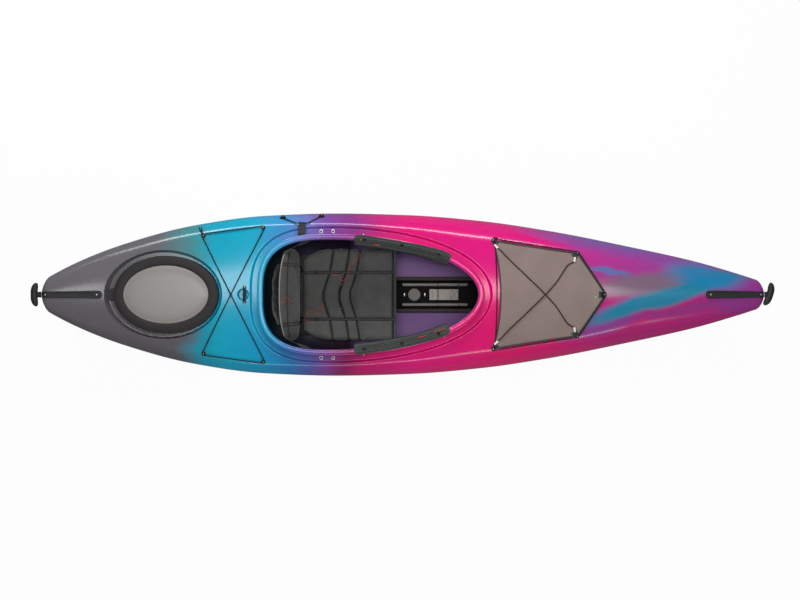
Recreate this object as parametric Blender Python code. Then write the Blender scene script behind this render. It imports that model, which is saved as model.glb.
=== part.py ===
"""Crossover kayak: a rotomoulded sit-inside hull with its deck fittings, seat, braces and drop-down skeg.

Metres, +X to the bow, +Y to port, +Z up. The origin is the middle of the length, on the centreline,
at the flat of the hull bottom.
"""

import math

import bmesh
import bpy
import numpy as np
from mathutils import Matrix, Vector
from mathutils.bvhtree import BVHTree

# Hull
HULL_LENGTH = 3.2
HULL_BEAM = 0.735
HULL_DEPTH = 0.355
WALL = 0.004
END_RADIUS = 0.032
SOLID_END = 0.07
OUTER_STATIONS = 32
STATION_CROWDING = 0.22

# Lines of the hull, as a designer's table of offsets. The first number of each pair is the place along
# the half length, from -1 at the stern to 1 at the bow.
HALF_BREADTH = [
    (-1.0, 0.165), (-0.946, 0.309), (-0.882, 0.448), (-0.785, 0.614), (-0.589, 0.849), (-0.39, 0.969),
    (-0.188, 1.0), (0.016, 0.98), (0.218, 0.91), (0.42, 0.779), (0.62, 0.604), (0.816, 0.409),
    (0.943, 0.239), (1.0, 0.15),
]
SHEER_RISE = [
    (-1.0, 0.8), (-0.9, 0.7), (-0.6, 0.59), (-0.2, 0.54), (0.2, 0.54), (0.6, 0.6), (0.9, 0.73), (1.0, 0.82),
]
KEEL_RISE = [
    (-1.0, 0.56), (-0.95, 0.34), (-0.85, 0.16), (-0.7, 0.055), (-0.45, 0.0), (0.4, 0.0),
    (0.65, 0.04), (0.82, 0.14), (0.94, 0.32), (1.0, 0.56),
]
DECK_RISE = [
    (-1.0, 0.885), (-0.8, 0.81), (-0.6, 0.795), (-0.41, 0.8), (-0.1, 0.86), (0.21, 0.975), (0.3, 0.995),
    (0.4, 1.0), (0.7, 0.965), (0.9, 0.935), (1.0, 0.925),
]
CREASE_BREADTH = [
    (-1.0, 0.6), (-0.946, 0.74), (-0.8, 0.74), (-0.65, 0.8), (-0.38, 0.846), (-0.17, 0.838),
    (0.0, 0.8), (0.22, 0.72), (0.48, 0.688), (0.6, 0.61), (0.67, 0.5), (0.84, 0.39), (1.0, 0.4),
]
CREASE_RISE = [
    (-1.0, 0.75), (-0.6, 0.68), (-0.35, 0.8), (-0.1, 0.85), (0.2, 0.78), (0.5, 0.8), (0.8, 0.85), (1.0, 0.8),
]
FLAT_BREADTH = [(-1.0, 0.1), (-0.7, 0.22), (-0.3, 0.36), (0.3, 0.36), (0.7, 0.2), (1.0, 0.1)]
BILGE_FULLNESS = 2.6
SIDE_BULGE = 0.6
INNER_COUNTS = {"bilge_points": 6, "side_points": 3, "crown_points": 3}

# Cockpit opening and its coaming
COCKPIT_REAR = 0.298
COCKPIT_FRONT = 0.65
SIDE_DECK = 0.126
COCKPIT_HALF_WIDTH = HULL_BEAM / 2 - SIDE_DECK
COCKPIT_CENTRE_X = -0.318
COCKPIT_REAR_FULLNESS = 3.0
RIM_REAR_RISE = 0.0274
RIM_FRONT_RISE = 0.0281
COAMING_WALL = 0.006
COAMING_LIP = 0.027
LIP_THICKNESS = 0.0045
LIP_DROP = 0.008
MOAT_WIDTH = 0.055
MOAT_DEPTH = 0.009
MOAT_SLOPE = 0.006

# Stern hatch
HATCH_CENTRE_X = -1.052
HATCH_MOUTH_LENGTH = 0.39
HATCH_MOUTH_WIDTH = 0.27
HATCH_RIM_WALL = 0.005
HATCH_RIM_HEIGHT = 0.022
HATCH_FLOOR_DROP = 0.0358
HATCH_RECESS_MARGIN = 0.066
HATCH_RECESS_SHIFT = 0.01
HATCH_COVER_MARGIN = 0.038
HATCH_COVER_HEIGHT = 0.0055
HATCH_COVER_CROWN = 0.0085
HATCH_SKIRT = 0.004
HATCH_PLATE_LEDGE = 0.014
HATCH_PLATE_INSET = 0.0045
HATCH_PLATE_EDGE = 0.003
HATCH_PLATE_CROWN = 0.012
HATCH_TAB_THICKNESS = 0.005
HATCH_TAB_WIDTH = 0.05
HATCH_TAB_REACH = 0.017

# Gap left between pieces that touch, and how far a cut reaches past what it cuts
CLEARANCE = 0.0003
OVERCUT = 0.1

# Drop-down skeg and its box under the stern
SKEG_PIVOT_X = -1.06
SKEG_PIVOT_ABOVE_KEEL = 0.026
SKEG_LENGTH = 0.235
SKEG_CHORD = 0.085
SKEG_THICKNESS = 0.006
SKEG_HEAD_RADIUS = 0.018
SKEG_PIN_RADIUS = 0.004
SKEG_BOX_WIDTH = 0.014
SKEG_BOX_HEIGHT = 0.125
SKEG_BOX_MARGIN = 0.03

# Security bar behind the cockpit
BAR_X = -0.702
BAR_HALF_LENGTH = 0.039
BAR_RADIUS = 0.0045
BAR_POCKET_RADIUS = 0.025
BAR_POCKET_DEPTH = 0.02
BAR_POCKET_AFT = 0.006

# Deck cords and the spool-shaped eyes that hold them
CORD_RADIUS = 0.0025
EYE_FLANGE_RADIUS = 0.0085
EYE_NECK_RADIUS = 0.0035
EYE_FLANGE_THICKNESS = 0.002
EYE_CAP_THICKNESS = 0.0028
EYE_GAP = 2 * CORD_RADIUS + 0.0012
EYE_LEAD = 0.007
EYE_SLACK = 0.001
# Each eye's place along the hull, and how far in from the hull's side it is
STERN_EYE_PLACES = [(-0.886, 0.06), (-0.62, 0.0585)]
BOW_EYE_PLACES = [(0.4, 0.0905), (0.768, 0.0885)]
BOW_TIP_X = 0.884
PARK_EYE_PLACES = [(-0.535, 0.019), (-0.362, 0.018)]

# Mesh panel on the bow deck
MESH_INSET = 0.011
MESH_THICKNESS = 0.002
MESH_BOW_IN = 0.022
MESH_RISE = 0.0022
CLIP_LENGTH = 0.022
CLIP_WIDTH = 0.008
CORD_END_LIFT = 0.0014

# Paddle park hook
PARK_HOOK_X = -0.447
PARK_HOOK_WIDTH = 0.031
PARK_HOOK_THICKNESS = 0.003
PARK_HOOK_DROP = 0.0012
PARK_HOOK_CATCH = 0.005
PARK_HOOK_REACH = 0.055
PARK_HOOK_BORE_HEIGHT = 0.0095
PARK_HOOK_LOOP_RADIUS = 0.0058

# End handles
STRAP_LENGTH = 0.262
STRAP_OUTER_WIDTH = 0.036
STRAP_INNER_WIDTH = 0.027
STRAP_THICKNESS = 0.004
GRIP_HALF_LENGTH = 0.052
GRIP_RADIUS = 0.0185
GRIP_HEIGHT = 0.013
STERN_GRIP_REACH = 0.0295
BOW_GRIP_REACH = 0.0207
BOW_GRIP_TWIST = -17.0

# Seat
SEAT_REAR_X = -0.455
BASE_REAR_X = -0.492
SEAT_MARGIN = 0.0295
SEAT_HALF_WIDTH = COCKPIT_HALF_WIDTH - SEAT_MARGIN
SEAT_FLARE = 0.087
SEAT_FOOT_HALF_WIDTH = SEAT_HALF_WIDTH - SEAT_FLARE
SEAT_FOLD_X = -0.195
SEAT_FRONT_X = -0.03
SEAT_TAPER = 0.027
SEAT_REAR_HALF_WIDTH = SEAT_HALF_WIDTH - SEAT_TAPER
SEAT_BASE_HEIGHT = 0.05
SEAT_BASE_WALL = 0.004
SEAT_CUSHION_THICKNESS = 0.045
SEAT_CUSHION_RISE = 0.012
SEAT_GROOVE_Y = 0.112
SEAT_GROOVES_X = (-0.365, -0.291, -0.241)
SEAT_CHEVRON = 0.03
SEAT_FOLD_GAP = 0.003
LIFTER_PLATE_THICKNESS = 0.004
LIFTER_PLATE_INSET = 0.012
LIFTER_RISE = 0.03

# Backrest
BACK_PIVOT_X = -0.475
BACK_PIVOT_Z = 0.082
BACK_EAR_THICKNESS = 0.008
BACK_POCKET_HALF_WIDTH = 0.135
BACK_POCKET_DEPTH = 0.045
BACK_POCKET_THICKNESS = 0.004
BACK_STRAP_WIDTH = 0.025
BACK_PIN_RADIUS = 0.004
BACK_MARGIN = 0.0415
BACK_HALF_WIDTH = COCKPIT_HALF_WIDTH - BACK_MARGIN
BACK_PAD_OVERHANG = 0.005
BACK_HEIGHT = 0.185
BACK_START = 0.055
BACK_LEAN = 17.0
BACK_WRAP = 0.012
BACK_SHELL_THICKNESS = 0.005
BACK_PAD_THICKNESS = 0.036
BACK_GROOVE_Y = 0.128
BACK_LUG_Y = 0.12
BACK_LUG_WIDTH = 0.02

# Thigh braces along the coaming
BRACE_REAR_X = -0.212
BRACE_FRONT_X = 0.202
BRACE_OUTER = 0.013
BRACE_INNER = 0.026
BRACE_DROP = 0.014
BRACE_THICKNESS = 0.004
BRACE_PAD_THICKNESS = 0.011

# Console ahead of the seat
CONSOLE_REAR_X = -0.0394
CONSOLE_FRONT_X = 0.52
CONSOLE_HALF_WIDTH = 0.0835
CONSOLE_FLANGE = 0.02
CONSOLE_HEIGHT = 0.042
CONSOLE_FLOOR = 0.006
RAIL_Y = 0.0465
RAIL_WIDTH = 0.014
RAIL_HEIGHT = 0.012
RAIL_REAR_X = 0.0
RAIL_FRONT_X = 0.304
CAP_X = 0.055
CAP_RADIUS = 0.029
CAP_HEIGHT = 0.01
LIFTER_STRAP_REAR_X = 0.126
LIFTER_STRAP_FRONT_X = 0.258
LIFTER_STRAP_WIDTH = 0.05
PULL_LOOP_LENGTH = 0.08
PULL_LOOP_WIDTH = 0.018
WEBBING = 0.002

# Foot braces
FOOT_RAIL_REAR_X = 0.43
FOOT_RAIL_FRONT_X = 0.83
FOOT_RAIL_Z = 0.125
FOOT_RAIL_HEIGHT = 0.03
FOOT_RAIL_DEPTH = 0.012
PEDAL_X = 0.62
PEDAL_WIDTH = 0.085
PEDAL_THICKNESS = 0.012
PEDAL_SHOE_LENGTH = 0.06
PEDAL_SHOE_DEPTH = 0.012

# Bolts beside the seat
BOLT_REAR_X = -0.362
BOLT_SPACING = 0.053
BOLT_BEYOND_LIP = 0.0125
BOLT_RADIUS = 0.003
BOLT_HEAD_RADIUS = 0.0085
BOLT_HEAD_HEIGHT = 0.0025
BOLT_TAIL = 0.003

# Foam bulkhead between the cockpit and the stern compartment
BULKHEAD_X = -0.765
BULKHEAD_THICKNESS = 0.036

MATERIALS = {}


def material(name, color, roughness, metallic=0.0):
    """A Principled finish, made once for each name."""
    if name not in MATERIALS:
        made = bpy.data.materials.new(name)
        made.use_nodes = True
        shader = made.node_tree.nodes["Principled BSDF"]
        shader.inputs["Base Color"].default_value = (*color, 1.0)
        shader.inputs["Roughness"].default_value = roughness
        shader.inputs["Metallic"].default_value = metallic
        MATERIALS[name] = made
    return MATERIALS[name]


def add_object(name, data, finish=None, parent=None):
    """An object in the scene, placed under a parent empty if one is given."""
    made = bpy.data.objects.new(name, data)
    bpy.context.scene.collection.objects.link(made)
    if finish:
        data.materials.append(finish)
    if parent:
        made.parent = parent
        made.matrix_parent_inverse = parent.matrix_world.inverted()
    return made


def mesh_from(name, points, faces, smooth_angle=35.0):
    """A closed mesh from points and faces, with its faces turned outwards."""
    data = bpy.data.meshes.new(name)
    bm = bmesh.new()
    verts = [bm.verts.new(p) for p in points]
    for face in faces:
        bm.faces.new([verts[i] for i in face])
    bmesh.ops.recalc_face_normals(bm, faces=bm.faces)
    bm.to_mesh(data)
    bm.free()
    data.shade_smooth()
    data.set_sharp_from_angle(angle=math.radians(smooth_angle))
    return data


def loft(name, rings):
    """A body through closed rings of equal point counts, capped at both ends."""
    count = len(rings[0])
    points = [p for ring in rings for p in ring]
    faces = [list(range(count)), [(len(rings) - 1) * count + i for i in range(count)]]
    for r in range(len(rings) - 1):
        for i in range(count):
            j = (i + 1) % count
            a, b = r * count, (r + 1) * count
            faces.append([a + i, a + j, b + j])
            faces.append([a + i, b + j, b + i])
    return mesh_from(name, points, faces)


def closed_sweep(name, profiles):
    """A ring-shaped body: each profile is a closed loop of points, and the last joins the first."""
    count = len(profiles[0])
    points = [p for profile in profiles for p in profile]
    faces = []
    for r in range(len(profiles)):
        a, b = r * count, ((r + 1) % len(profiles)) * count
        for i in range(count):
            j = (i + 1) % count
            faces.append([a + i, a + j, b + j])
            faces.append([a + i, b + j, b + i])
    return mesh_from(name, points, faces)


def cutter(name, data):
    """A hidden guide for a Boolean."""
    made = add_object(name, data)
    made.hide_render = True
    made.display_type = "WIRE"
    return made


def boolean(target, tool, operation):
    """Cuts, joins or intersects the target with the tool."""
    step = target.modifiers.new(operation.title() + " " + tool.name, "BOOLEAN")
    step.operation = operation
    step.solver = "EXACT"
    step.object = tool
    return step


def fair(table, place):
    """A fair curve through the pairs of a table, which never overshoots them."""
    xs = np.array([p[0] for p in table])
    ys = np.array([p[1] for p in table])
    steps = np.diff(xs)
    slopes = np.diff(ys) / steps
    tangents = np.empty(len(xs))
    tangents[0], tangents[-1] = slopes[0], slopes[-1]
    for i in range(1, len(xs) - 1):
        before, after = slopes[i - 1], slopes[i]
        if before * after <= 0:
            tangents[i] = 0.0
        else:
            w1, w2 = 2 * steps[i] + steps[i - 1], steps[i] + 2 * steps[i - 1]
            tangents[i] = (w1 + w2) / (w1 / before + w2 / after)
    i = int(np.clip(np.searchsorted(xs, place) - 1, 0, len(xs) - 2))
    h = steps[i]
    t = (place - xs[i]) / h
    return float(
        (2 * t**3 - 3 * t**2 + 1) * ys[i] + (t**3 - 2 * t**2 + t) * h * tangents[i]
        + (-2 * t**3 + 3 * t**2) * ys[i + 1] + (t**3 - t**2) * h * tangents[i + 1]
    )


def half_breadth(x):
    """Half the hull's width at x, before its ends are rounded."""
    return HULL_BEAM / 2 * fair(HALF_BREADTH, x / (HULL_LENGTH / 2))


def deck_middle(x):
    """The deck's height on the centreline."""
    return HULL_DEPTH * fair(DECK_RISE, x / (HULL_LENGTH / 2))


def end_rounding(x):
    """1 along the hull, falling to 0 round each blunt end."""
    past = abs(x) - (HULL_LENGTH / 2 - END_RADIUS)
    return math.sqrt(max(0.0, 1 - (max(0.0, past) / END_RADIUS) ** 2))


def half_section(x, bilge_points=7, side_points=4, crown_points=4):
    """The hull's section at x, from the keel up round the bilge, sheer and crease to the deck's middle."""
    place = x / (HULL_LENGTH / 2)
    rounding = end_rounding(x)
    breadth = half_breadth(x) * rounding
    sheer = HULL_DEPTH * fair(SHEER_RISE, place)
    keel = sheer + (HULL_DEPTH * fair(KEEL_RISE, place) - sheer) * rounding
    deck = sheer + (deck_middle(x) - sheer) * rounding
    flat = breadth * fair(FLAT_BREADTH, place)
    crease_y = breadth * fair(CREASE_BREADTH, place)
    crease_z = sheer + (deck - sheer) * fair(CREASE_RISE, place)
    points = [(0.0, keel), (flat * 0.6, keel)]
    for i in range(bilge_points):
        angle = math.pi / 2 * i / bilge_points
        points.append((
            flat + (breadth - flat) * math.sin(angle) ** (2 / BILGE_FULLNESS),
            sheer - (sheer - keel) * math.cos(angle) ** (2 / BILGE_FULLNESS),
        ))
    for i in range(side_points):
        angle = math.pi / 2 * (1 - i / side_points)
        share = i / side_points
        straight = (breadth + (crease_y - breadth) * share, sheer + (crease_z - sheer) * share)
        round_y = crease_y + (breadth - crease_y) * math.sin(angle)
        round_z = sheer + (crease_z - sheer) * math.cos(angle)
        points.append((
            straight[0] + (round_y - straight[0]) * SIDE_BULGE,
            straight[1] + (round_z - straight[1]) * SIDE_BULGE,
        ))
    for i in range(crown_points):
        y = crease_y * (1 - i / crown_points)
        points.append((y, deck - (deck - crease_z) * (y / crease_y) ** 2))
    points.append((0.0, deck))
    return points


def inward(points, depth):
    """The section moved in by a depth, square to its own outline."""
    full = np.array(points + [(-y, z) for y, z in points[-2:0:-1]])
    before, after = np.roll(full, 1, axis=0), np.roll(full, -1, axis=0)
    e1, e2 = full - before, after - full
    n1 = np.stack([-e1[:, 1], e1[:, 0]], axis=1) / np.linalg.norm(e1, axis=1)[:, None]
    n2 = np.stack([-e2[:, 1], e2[:, 0]], axis=1) / np.linalg.norm(e2, axis=1)[:, None]
    both = n1 + n2
    both /= np.linalg.norm(both, axis=1)[:, None]
    return full + both * (depth / np.sum(both * n1, axis=1))[:, None]


def wall_in_section(x, step=0.005):
    """The wall measured in the section's plane, which cuts it at a slant where the hull closes in."""
    slope = np.abs(np.array(half_section(x + step)) - np.array(half_section(x))).max() / step
    return WALL * math.hypot(1, slope)


def hull_rings(stations, hollow, gap=0.0, **counts):
    """Rings round the hull's outside, or round its cavity, a gap inside it."""
    rings = []
    for x in stations:
        depth = wall_in_section(x) + gap if hollow else 0.0
        rings.append([(x, y, z) for y, z in inward(half_section(x, **counts), depth)])
    return rings


def outer_stations():
    """Stations that draw closer towards the ends, with more round the blunt ends themselves."""
    straight = HULL_LENGTH / 2 - END_RADIUS
    shares = np.linspace(-1, 1, OUTER_STATIONS)
    inner = straight * ((1 + STATION_CROWDING) * shares - STATION_CROWDING * shares**3)
    ends = [straight + END_RADIUS * math.sin(math.radians(a)) for a in (28, 54, 74, 86)]
    return [-x for x in reversed(ends)] + list(inner) + ends


def cavity_stations():
    """The outer form's own stations, up to where the ends are solid."""
    return [x for x in outer_stations() if abs(x) < HULL_LENGTH / 2 - SOLID_END]


class Outline:
    """A closed outline in plan, sampled evenly, with its outward normals."""

    def __init__(self, points, count):
        dense = np.array(points)
        seg = np.linalg.norm(np.roll(dense, -1, axis=0) - dense, axis=1)
        along = np.concatenate([[0.0], np.cumsum(seg)])
        loop = np.vstack([dense, dense[:1]])
        wanted = (np.arange(count) + 0.5) * along[-1] / count
        self.points = np.stack([np.interp(wanted, along, loop[:, k]) for k in range(2)], axis=1)
        tangent = np.roll(self.points, -1, axis=0) - np.roll(self.points, 1, axis=0)
        tangent /= np.linalg.norm(tangent, axis=1)[:, None]
        self.normals = np.stack([tangent[:, 1], -tangent[:, 0]], axis=1)

    def offset(self, distance):
        return self.points + self.normals * distance


def cockpit_outline(count=48):
    """A broad rounded rear and a long elliptical front, counterclockwise from the bow side."""
    points = []
    for i in range(720):
        angle = 2 * math.pi * i / 720
        c, s = math.cos(angle), math.sin(angle)
        if c >= 0:
            points.append((COCKPIT_CENTRE_X + COCKPIT_FRONT * c, COCKPIT_HALF_WIDTH * s))
        else:
            power = 2 / COCKPIT_REAR_FULLNESS
            points.append((
                COCKPIT_CENTRE_X - COCKPIT_REAR * abs(c) ** power,
                COCKPIT_HALF_WIDTH * math.copysign(abs(s) ** power, s),
            ))
    return Outline(points, count)


def ellipse_outline(centre_x, length, width, count=36):
    angles = [2 * math.pi * i / 720 for i in range(720)]
    return Outline([(centre_x + length / 2 * math.cos(a), width / 2 * math.sin(a)) for a in angles], count)


def rim_height(x):
    """The coaming's top, rising from the back of the cockpit to its front."""
    rear = COCKPIT_CENTRE_X - COCKPIT_REAR
    front = COCKPIT_CENTRE_X + COCKPIT_FRONT
    low, high = deck_middle(rear) + RIM_REAR_RISE, deck_middle(front) + RIM_FRONT_RISE
    return low + (high - low) * (x - rear) / (front - rear)


def hatch_floor():
    """The height of the recess that the hatch lies in."""
    return deck_middle(HATCH_CENTRE_X) - HATCH_FLOOR_DROP


def prism(name, outline, low, high):
    """An upright prism over an outline of plan points."""
    return loft(name, [[(x, y, z) for x, y in outline] for z in (low, high)])


def circle(x, y, radius, count):
    return [
        (x + radius * math.cos(2 * math.pi * i / count), y + radius * math.sin(2 * math.pi * i / count))
        for i in range(count)
    ]


def rod(name, start, end, radius, sides):
    """A straight round bar between two points."""
    axis = (Vector(end) - Vector(start)).normalized()
    turn = axis.to_track_quat("Z", "Y")
    rings = []
    for middle in (Vector(start), Vector(end)):
        rings.append([middle + turn @ Vector((x, y, 0.0)) for x, y in circle(0, 0, radius, sides)])
    return loft(name, rings)


def skeg_pivot():
    """Where the skeg's pin lies, in x and z."""
    return SKEG_PIVOT_X, half_section(SKEG_PIVOT_X)[0][1] + SKEG_PIVOT_ABOVE_KEEL


def skeg_slot(name, grown):
    """The skeg's narrow box, open through the keel; grown by the wall for the housing round it."""
    front = SKEG_PIVOT_X + SKEG_BOX_MARGIN + grown
    rear = SKEG_PIVOT_X - SKEG_LENGTH - SKEG_BOX_MARGIN / 2 - grown
    half = SKEG_BOX_WIDTH / 2 + grown
    top = half_section(SKEG_PIVOT_X)[0][1] + SKEG_BOX_HEIGHT + grown
    plan = [(front, -half), (front, half), (rear, half), (rear, -half)]
    return prism(name, plan, -0.05, top)


def bolt_places():
    """The four bolts in the moat beside the seat, two on each side."""
    places = []
    for x in (BOLT_REAR_X, BOLT_REAR_X + BOLT_SPACING):
        for side in (1, -1):
            places.append((x, side * (opening_half_width(x) + COAMING_LIP + BOLT_BEYOND_LIP)))
    return places


def opening_half_width(x):
    """Half the cockpit opening's width, at a place ahead of its broadest point or just behind it."""
    share = (x - COCKPIT_CENTRE_X) / (COCKPIT_FRONT if x > COCKPIT_CENTRE_X else COCKPIT_REAR)
    power = 2.0 if x > COCKPIT_CENTRE_X else COCKPIT_REAR_FULLNESS
    return COCKPIT_HALF_WIDTH * (1 - abs(share) ** power) ** (1 / power)


class Surface:
    """The faceted hull, asked for its height and its inner or outer side."""

    def __init__(self, data):
        self.tree = BVHTree.FromPolygons(
            [v.co.copy() for v in data.vertices], [tuple(p.vertices) for p in data.polygons]
        )

    def height(self, x, y):
        hit = self.tree.ray_cast(Vector((x, y, 1.0)), Vector((0, 0, -1)))
        return hit[0].z if hit[0] else 0.0

    def floor(self, x, y):
        hit = self.tree.ray_cast(Vector((x, y, -1.0)), Vector((0, 0, 1)))
        return hit[0].z if hit[0] else 0.0

    def side(self, x, z):
        hit = self.tree.ray_cast(Vector((x, 1.0, z)), Vector((0, -1, 0)))
        return hit[0].y if hit[0] else 0.0


def moat_profiles(outline, deck, grown):
    """The spray-skirt moat's cut round the coaming; grown by the wall for the space under it."""
    loops = []
    for (x, y), (nx, ny) in zip(outline.points, outline.normals):
        inner = -0.012 if grown else COAMING_WALL * 0.75
        bottom = [inner, COAMING_LIP, MOAT_WIDTH + (grown and WALL)]
        depth = MOAT_DEPTH + (WALL if grown else 0.0)
        loop = []
        for o in bottom:
            at = (x + nx * max(o, 0.0), y + ny * max(o, 0.0))
            loop.append((x + nx * o, y + ny * o, deck.height(*at) - depth))
        wide = MOAT_WIDTH + MOAT_SLOPE + (WALL if grown else 0.0)
        at = (x + nx * wide, y + ny * wide)
        loop.append((*at, deck.height(*at) + 0.002))
        loop.append((*at, HULL_DEPTH + OVERCUT))
        loop.append((x + nx * inner, y + ny * inner, HULL_DEPTH + OVERCUT))
        loops.append(loop)
    return loops


def coaming_profiles(outline, deck):
    """The coaming's wall and its overhanging lip, with a turned-down edge."""
    loops = []
    for (x, y), (nx, ny) in zip(outline.points, outline.normals):
        base = deck.height(x + nx * COAMING_WALL, y + ny * COAMING_WALL) - MOAT_DEPTH - WALL - 0.004
        top = rim_height(x)
        edge = COAMING_LIP
        inner_edge = COAMING_LIP - LIP_THICKNESS
        profile = [
            (0.0, base), (0.0, top - 0.003), (0.003, top), (edge - 0.003, top), (edge, top - 0.003),
            (edge, top - LIP_DROP - LIP_THICKNESS), (inner_edge, top - LIP_DROP - LIP_THICKNESS),
            (inner_edge, top - LIP_THICKNESS), (COAMING_WALL, top - LIP_THICKNESS), (COAMING_WALL, base),
        ]
        loops.append([(x + nx * o, y + ny * o, z) for o, z in profile])
    return loops


def build_hull():
    """The shell: outer form less its recesses, less the cavity, with the coaming and hatch rim joined on."""
    finish = material("hull_plastic", (0.72, 0.03, 0.32), 0.28)
    outer = loft("hull_shell", hull_rings(outer_stations(), False))
    deck = Surface(outer)
    cavity = cutter("cavity", loft("cavity", hull_rings(cavity_stations(), True, **INNER_COUNTS)))
    inner = Surface(cavity.data)
    hull = add_object("hull_shell", outer, finish)

    opening = cockpit_outline()
    moat = cutter("moat", closed_sweep("moat", moat_profiles(opening, deck, False)))
    under_profiles = moat_profiles(opening, deck, True)
    under_moat = cutter("under_moat", closed_sweep("under_moat", under_profiles))
    recess_shape = ellipse_outline(
        HATCH_CENTRE_X - HATCH_RECESS_SHIFT,
        HATCH_MOUTH_LENGTH + 2 * HATCH_RECESS_MARGIN,
        HATCH_MOUTH_WIDTH + 2 * HATCH_RECESS_MARGIN,
    )
    high = HULL_DEPTH + OVERCUT
    floor = hatch_floor()
    recess = cutter("hatch_recess", loft("hatch_recess", [
        [(x, y, floor) for x, y in recess_shape.offset(-0.012)],
        [(x, y, floor + 0.006) for x, y in recess_shape.offset(-0.006)],
        [(x, y, high) for x, y in recess_shape.offset(0.012)],
    ]))
    under_recess = cutter("under_recess", loft("under_recess", [
        [(x, y, floor - WALL) for x, y in recess_shape.offset(-0.008)],
        [(x, y, floor + 0.003) for x, y in recess_shape.offset(0.0)],
        [(x, y, high) for x, y in recess_shape.offset(0.018)],
    ]))
    bar_deck = deck.height(BAR_X, 0.0)
    pocket_x = BAR_X - BAR_POCKET_AFT
    pocket = cutter("bar_pocket", prism(
        "bar_pocket", circle(pocket_x, 0.0, BAR_POCKET_RADIUS, 18), bar_deck - BAR_POCKET_DEPTH, high))
    under_pocket = cutter("under_pocket", prism(
        "under_pocket", circle(pocket_x, 0.0, BAR_POCKET_RADIUS + WALL, 18),
        bar_deck - BAR_POCKET_DEPTH - WALL, high))
    skeg_box = cutter("skeg_box", skeg_slot("skeg_box", 0.0))
    around_skeg = cutter("around_skeg", skeg_slot("around_skeg", WALL))
    for tool in (under_moat, under_recess, under_pocket, around_skeg):
        boolean(cavity, tool, "DIFFERENCE")
    for tool in (moat, recess, pocket, skeg_box, cavity):
        boolean(hull, tool, "DIFFERENCE")
    pin_x, pin_z = skeg_pivot()
    reach = SKEG_BOX_WIDTH / 2 + WALL + 0.01
    pin_hole = cutter("pin_hole", rod(
        "pin_hole", (pin_x, -reach, pin_z), (pin_x, reach, pin_z), SKEG_PIN_RADIUS + CLEARANCE, 12))
    boolean(hull, pin_hole, "DIFFERENCE")
    for i, (x, y) in enumerate(bolt_places()):
        z = deck.height(x, y)
        hole = cutter(f"bolt_hole_{i}", rod(
            f"bolt_hole_{i}", (x, y, z - 0.04), (x, y, z + 0.02), BOLT_RADIUS + CLEARANCE, 8))
        boolean(hull, hole, "DIFFERENCE")

    below = min(p[2] for loop in under_profiles for p in loop) - 0.02
    cockpit_cut = cutter("cockpit_cut", prism("cockpit_cut", opening.offset(COAMING_WALL / 2), below, high))
    boolean(hull, cockpit_cut, "DIFFERENCE")
    coaming = cutter("coaming", closed_sweep("coaming", coaming_profiles(opening, deck)))
    boolean(hull, coaming, "UNION")

    mouth = ellipse_outline(HATCH_CENTRE_X, HATCH_MOUTH_LENGTH, HATCH_MOUTH_WIDTH)
    mouth_cut = cutter("mouth_cut", prism(
        "mouth_cut", mouth.offset(HATCH_RIM_WALL / 2), floor - WALL - 0.02, high))
    boolean(hull, mouth_cut, "DIFFERENCE")
    low = floor - WALL - 0.003
    top = floor + HATCH_RIM_HEIGHT
    rim = cutter("hatch_rim", closed_sweep("hatch_rim", [
        [
            (x, y, low), (x, y, top),
            (x + nx * HATCH_RIM_WALL, y + ny * HATCH_RIM_WALL, top),
            (x + nx * HATCH_RIM_WALL, y + ny * HATCH_RIM_WALL, low),
        ]
        for (x, y), (nx, ny) in zip(mouth.points, mouth.normals)
    ]))
    boolean(hull, rim, "UNION")
    return deck, inner


def deck_normal(deck, x, y, reach=0.006):
    """The deck's upward normal, taken over the reach of a fitting."""
    along = (deck.height(x + reach, y) - deck.height(x - reach, y)) / (2 * reach)
    across = (deck.height(x, y + reach) - deck.height(x, y - reach)) / (2 * reach)
    return Vector((-along, -across, 1.0)).normalized()


def eye_places(places, sides):
    """Where deck eyes go in plan, from their places along the hull and in from its side."""
    return [(x, side * (half_breadth(x) - inset)) for side in sides for x, inset in places]


class Eye:
    """A spool-shaped deck eye: where it stands, and the circle that a cord follows in its groove."""

    def __init__(self, deck, x, y):
        self.x, self.y = x, y
        self.normal = deck_normal(deck, x, y)
        middle = Vector((x, y, deck.height(x, y)))
        high = 0.0
        for px, py in circle(x, y, EYE_FLANGE_RADIUS, 16):
            high = max(high, (Vector((px, py, deck.height(px, py))) - middle).dot(self.normal))
        self.base = middle + self.normal * (high + CLEARANCE)
        self.groove = self.base + self.normal * (EYE_FLANGE_THICKNESS + EYE_GAP / 2)
        self.radius = EYE_NECK_RADIUS + CORD_RADIUS + EYE_SLACK
        self.ahead = self.flat(Vector((1.0, 0.0, 0.0)))
        self.aside = self.normal.cross(self.ahead)

    def flat(self, direction):
        """A direction laid into the eye's own plane."""
        return (direction - self.normal * direction.dot(self.normal)).normalized()

    def angle(self, direction):
        laid = self.flat(direction)
        return math.atan2(laid.dot(self.aside), laid.dot(self.ahead))

    def spoke(self, angle):
        return self.ahead * math.cos(angle) + self.aside * math.sin(angle)


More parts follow.
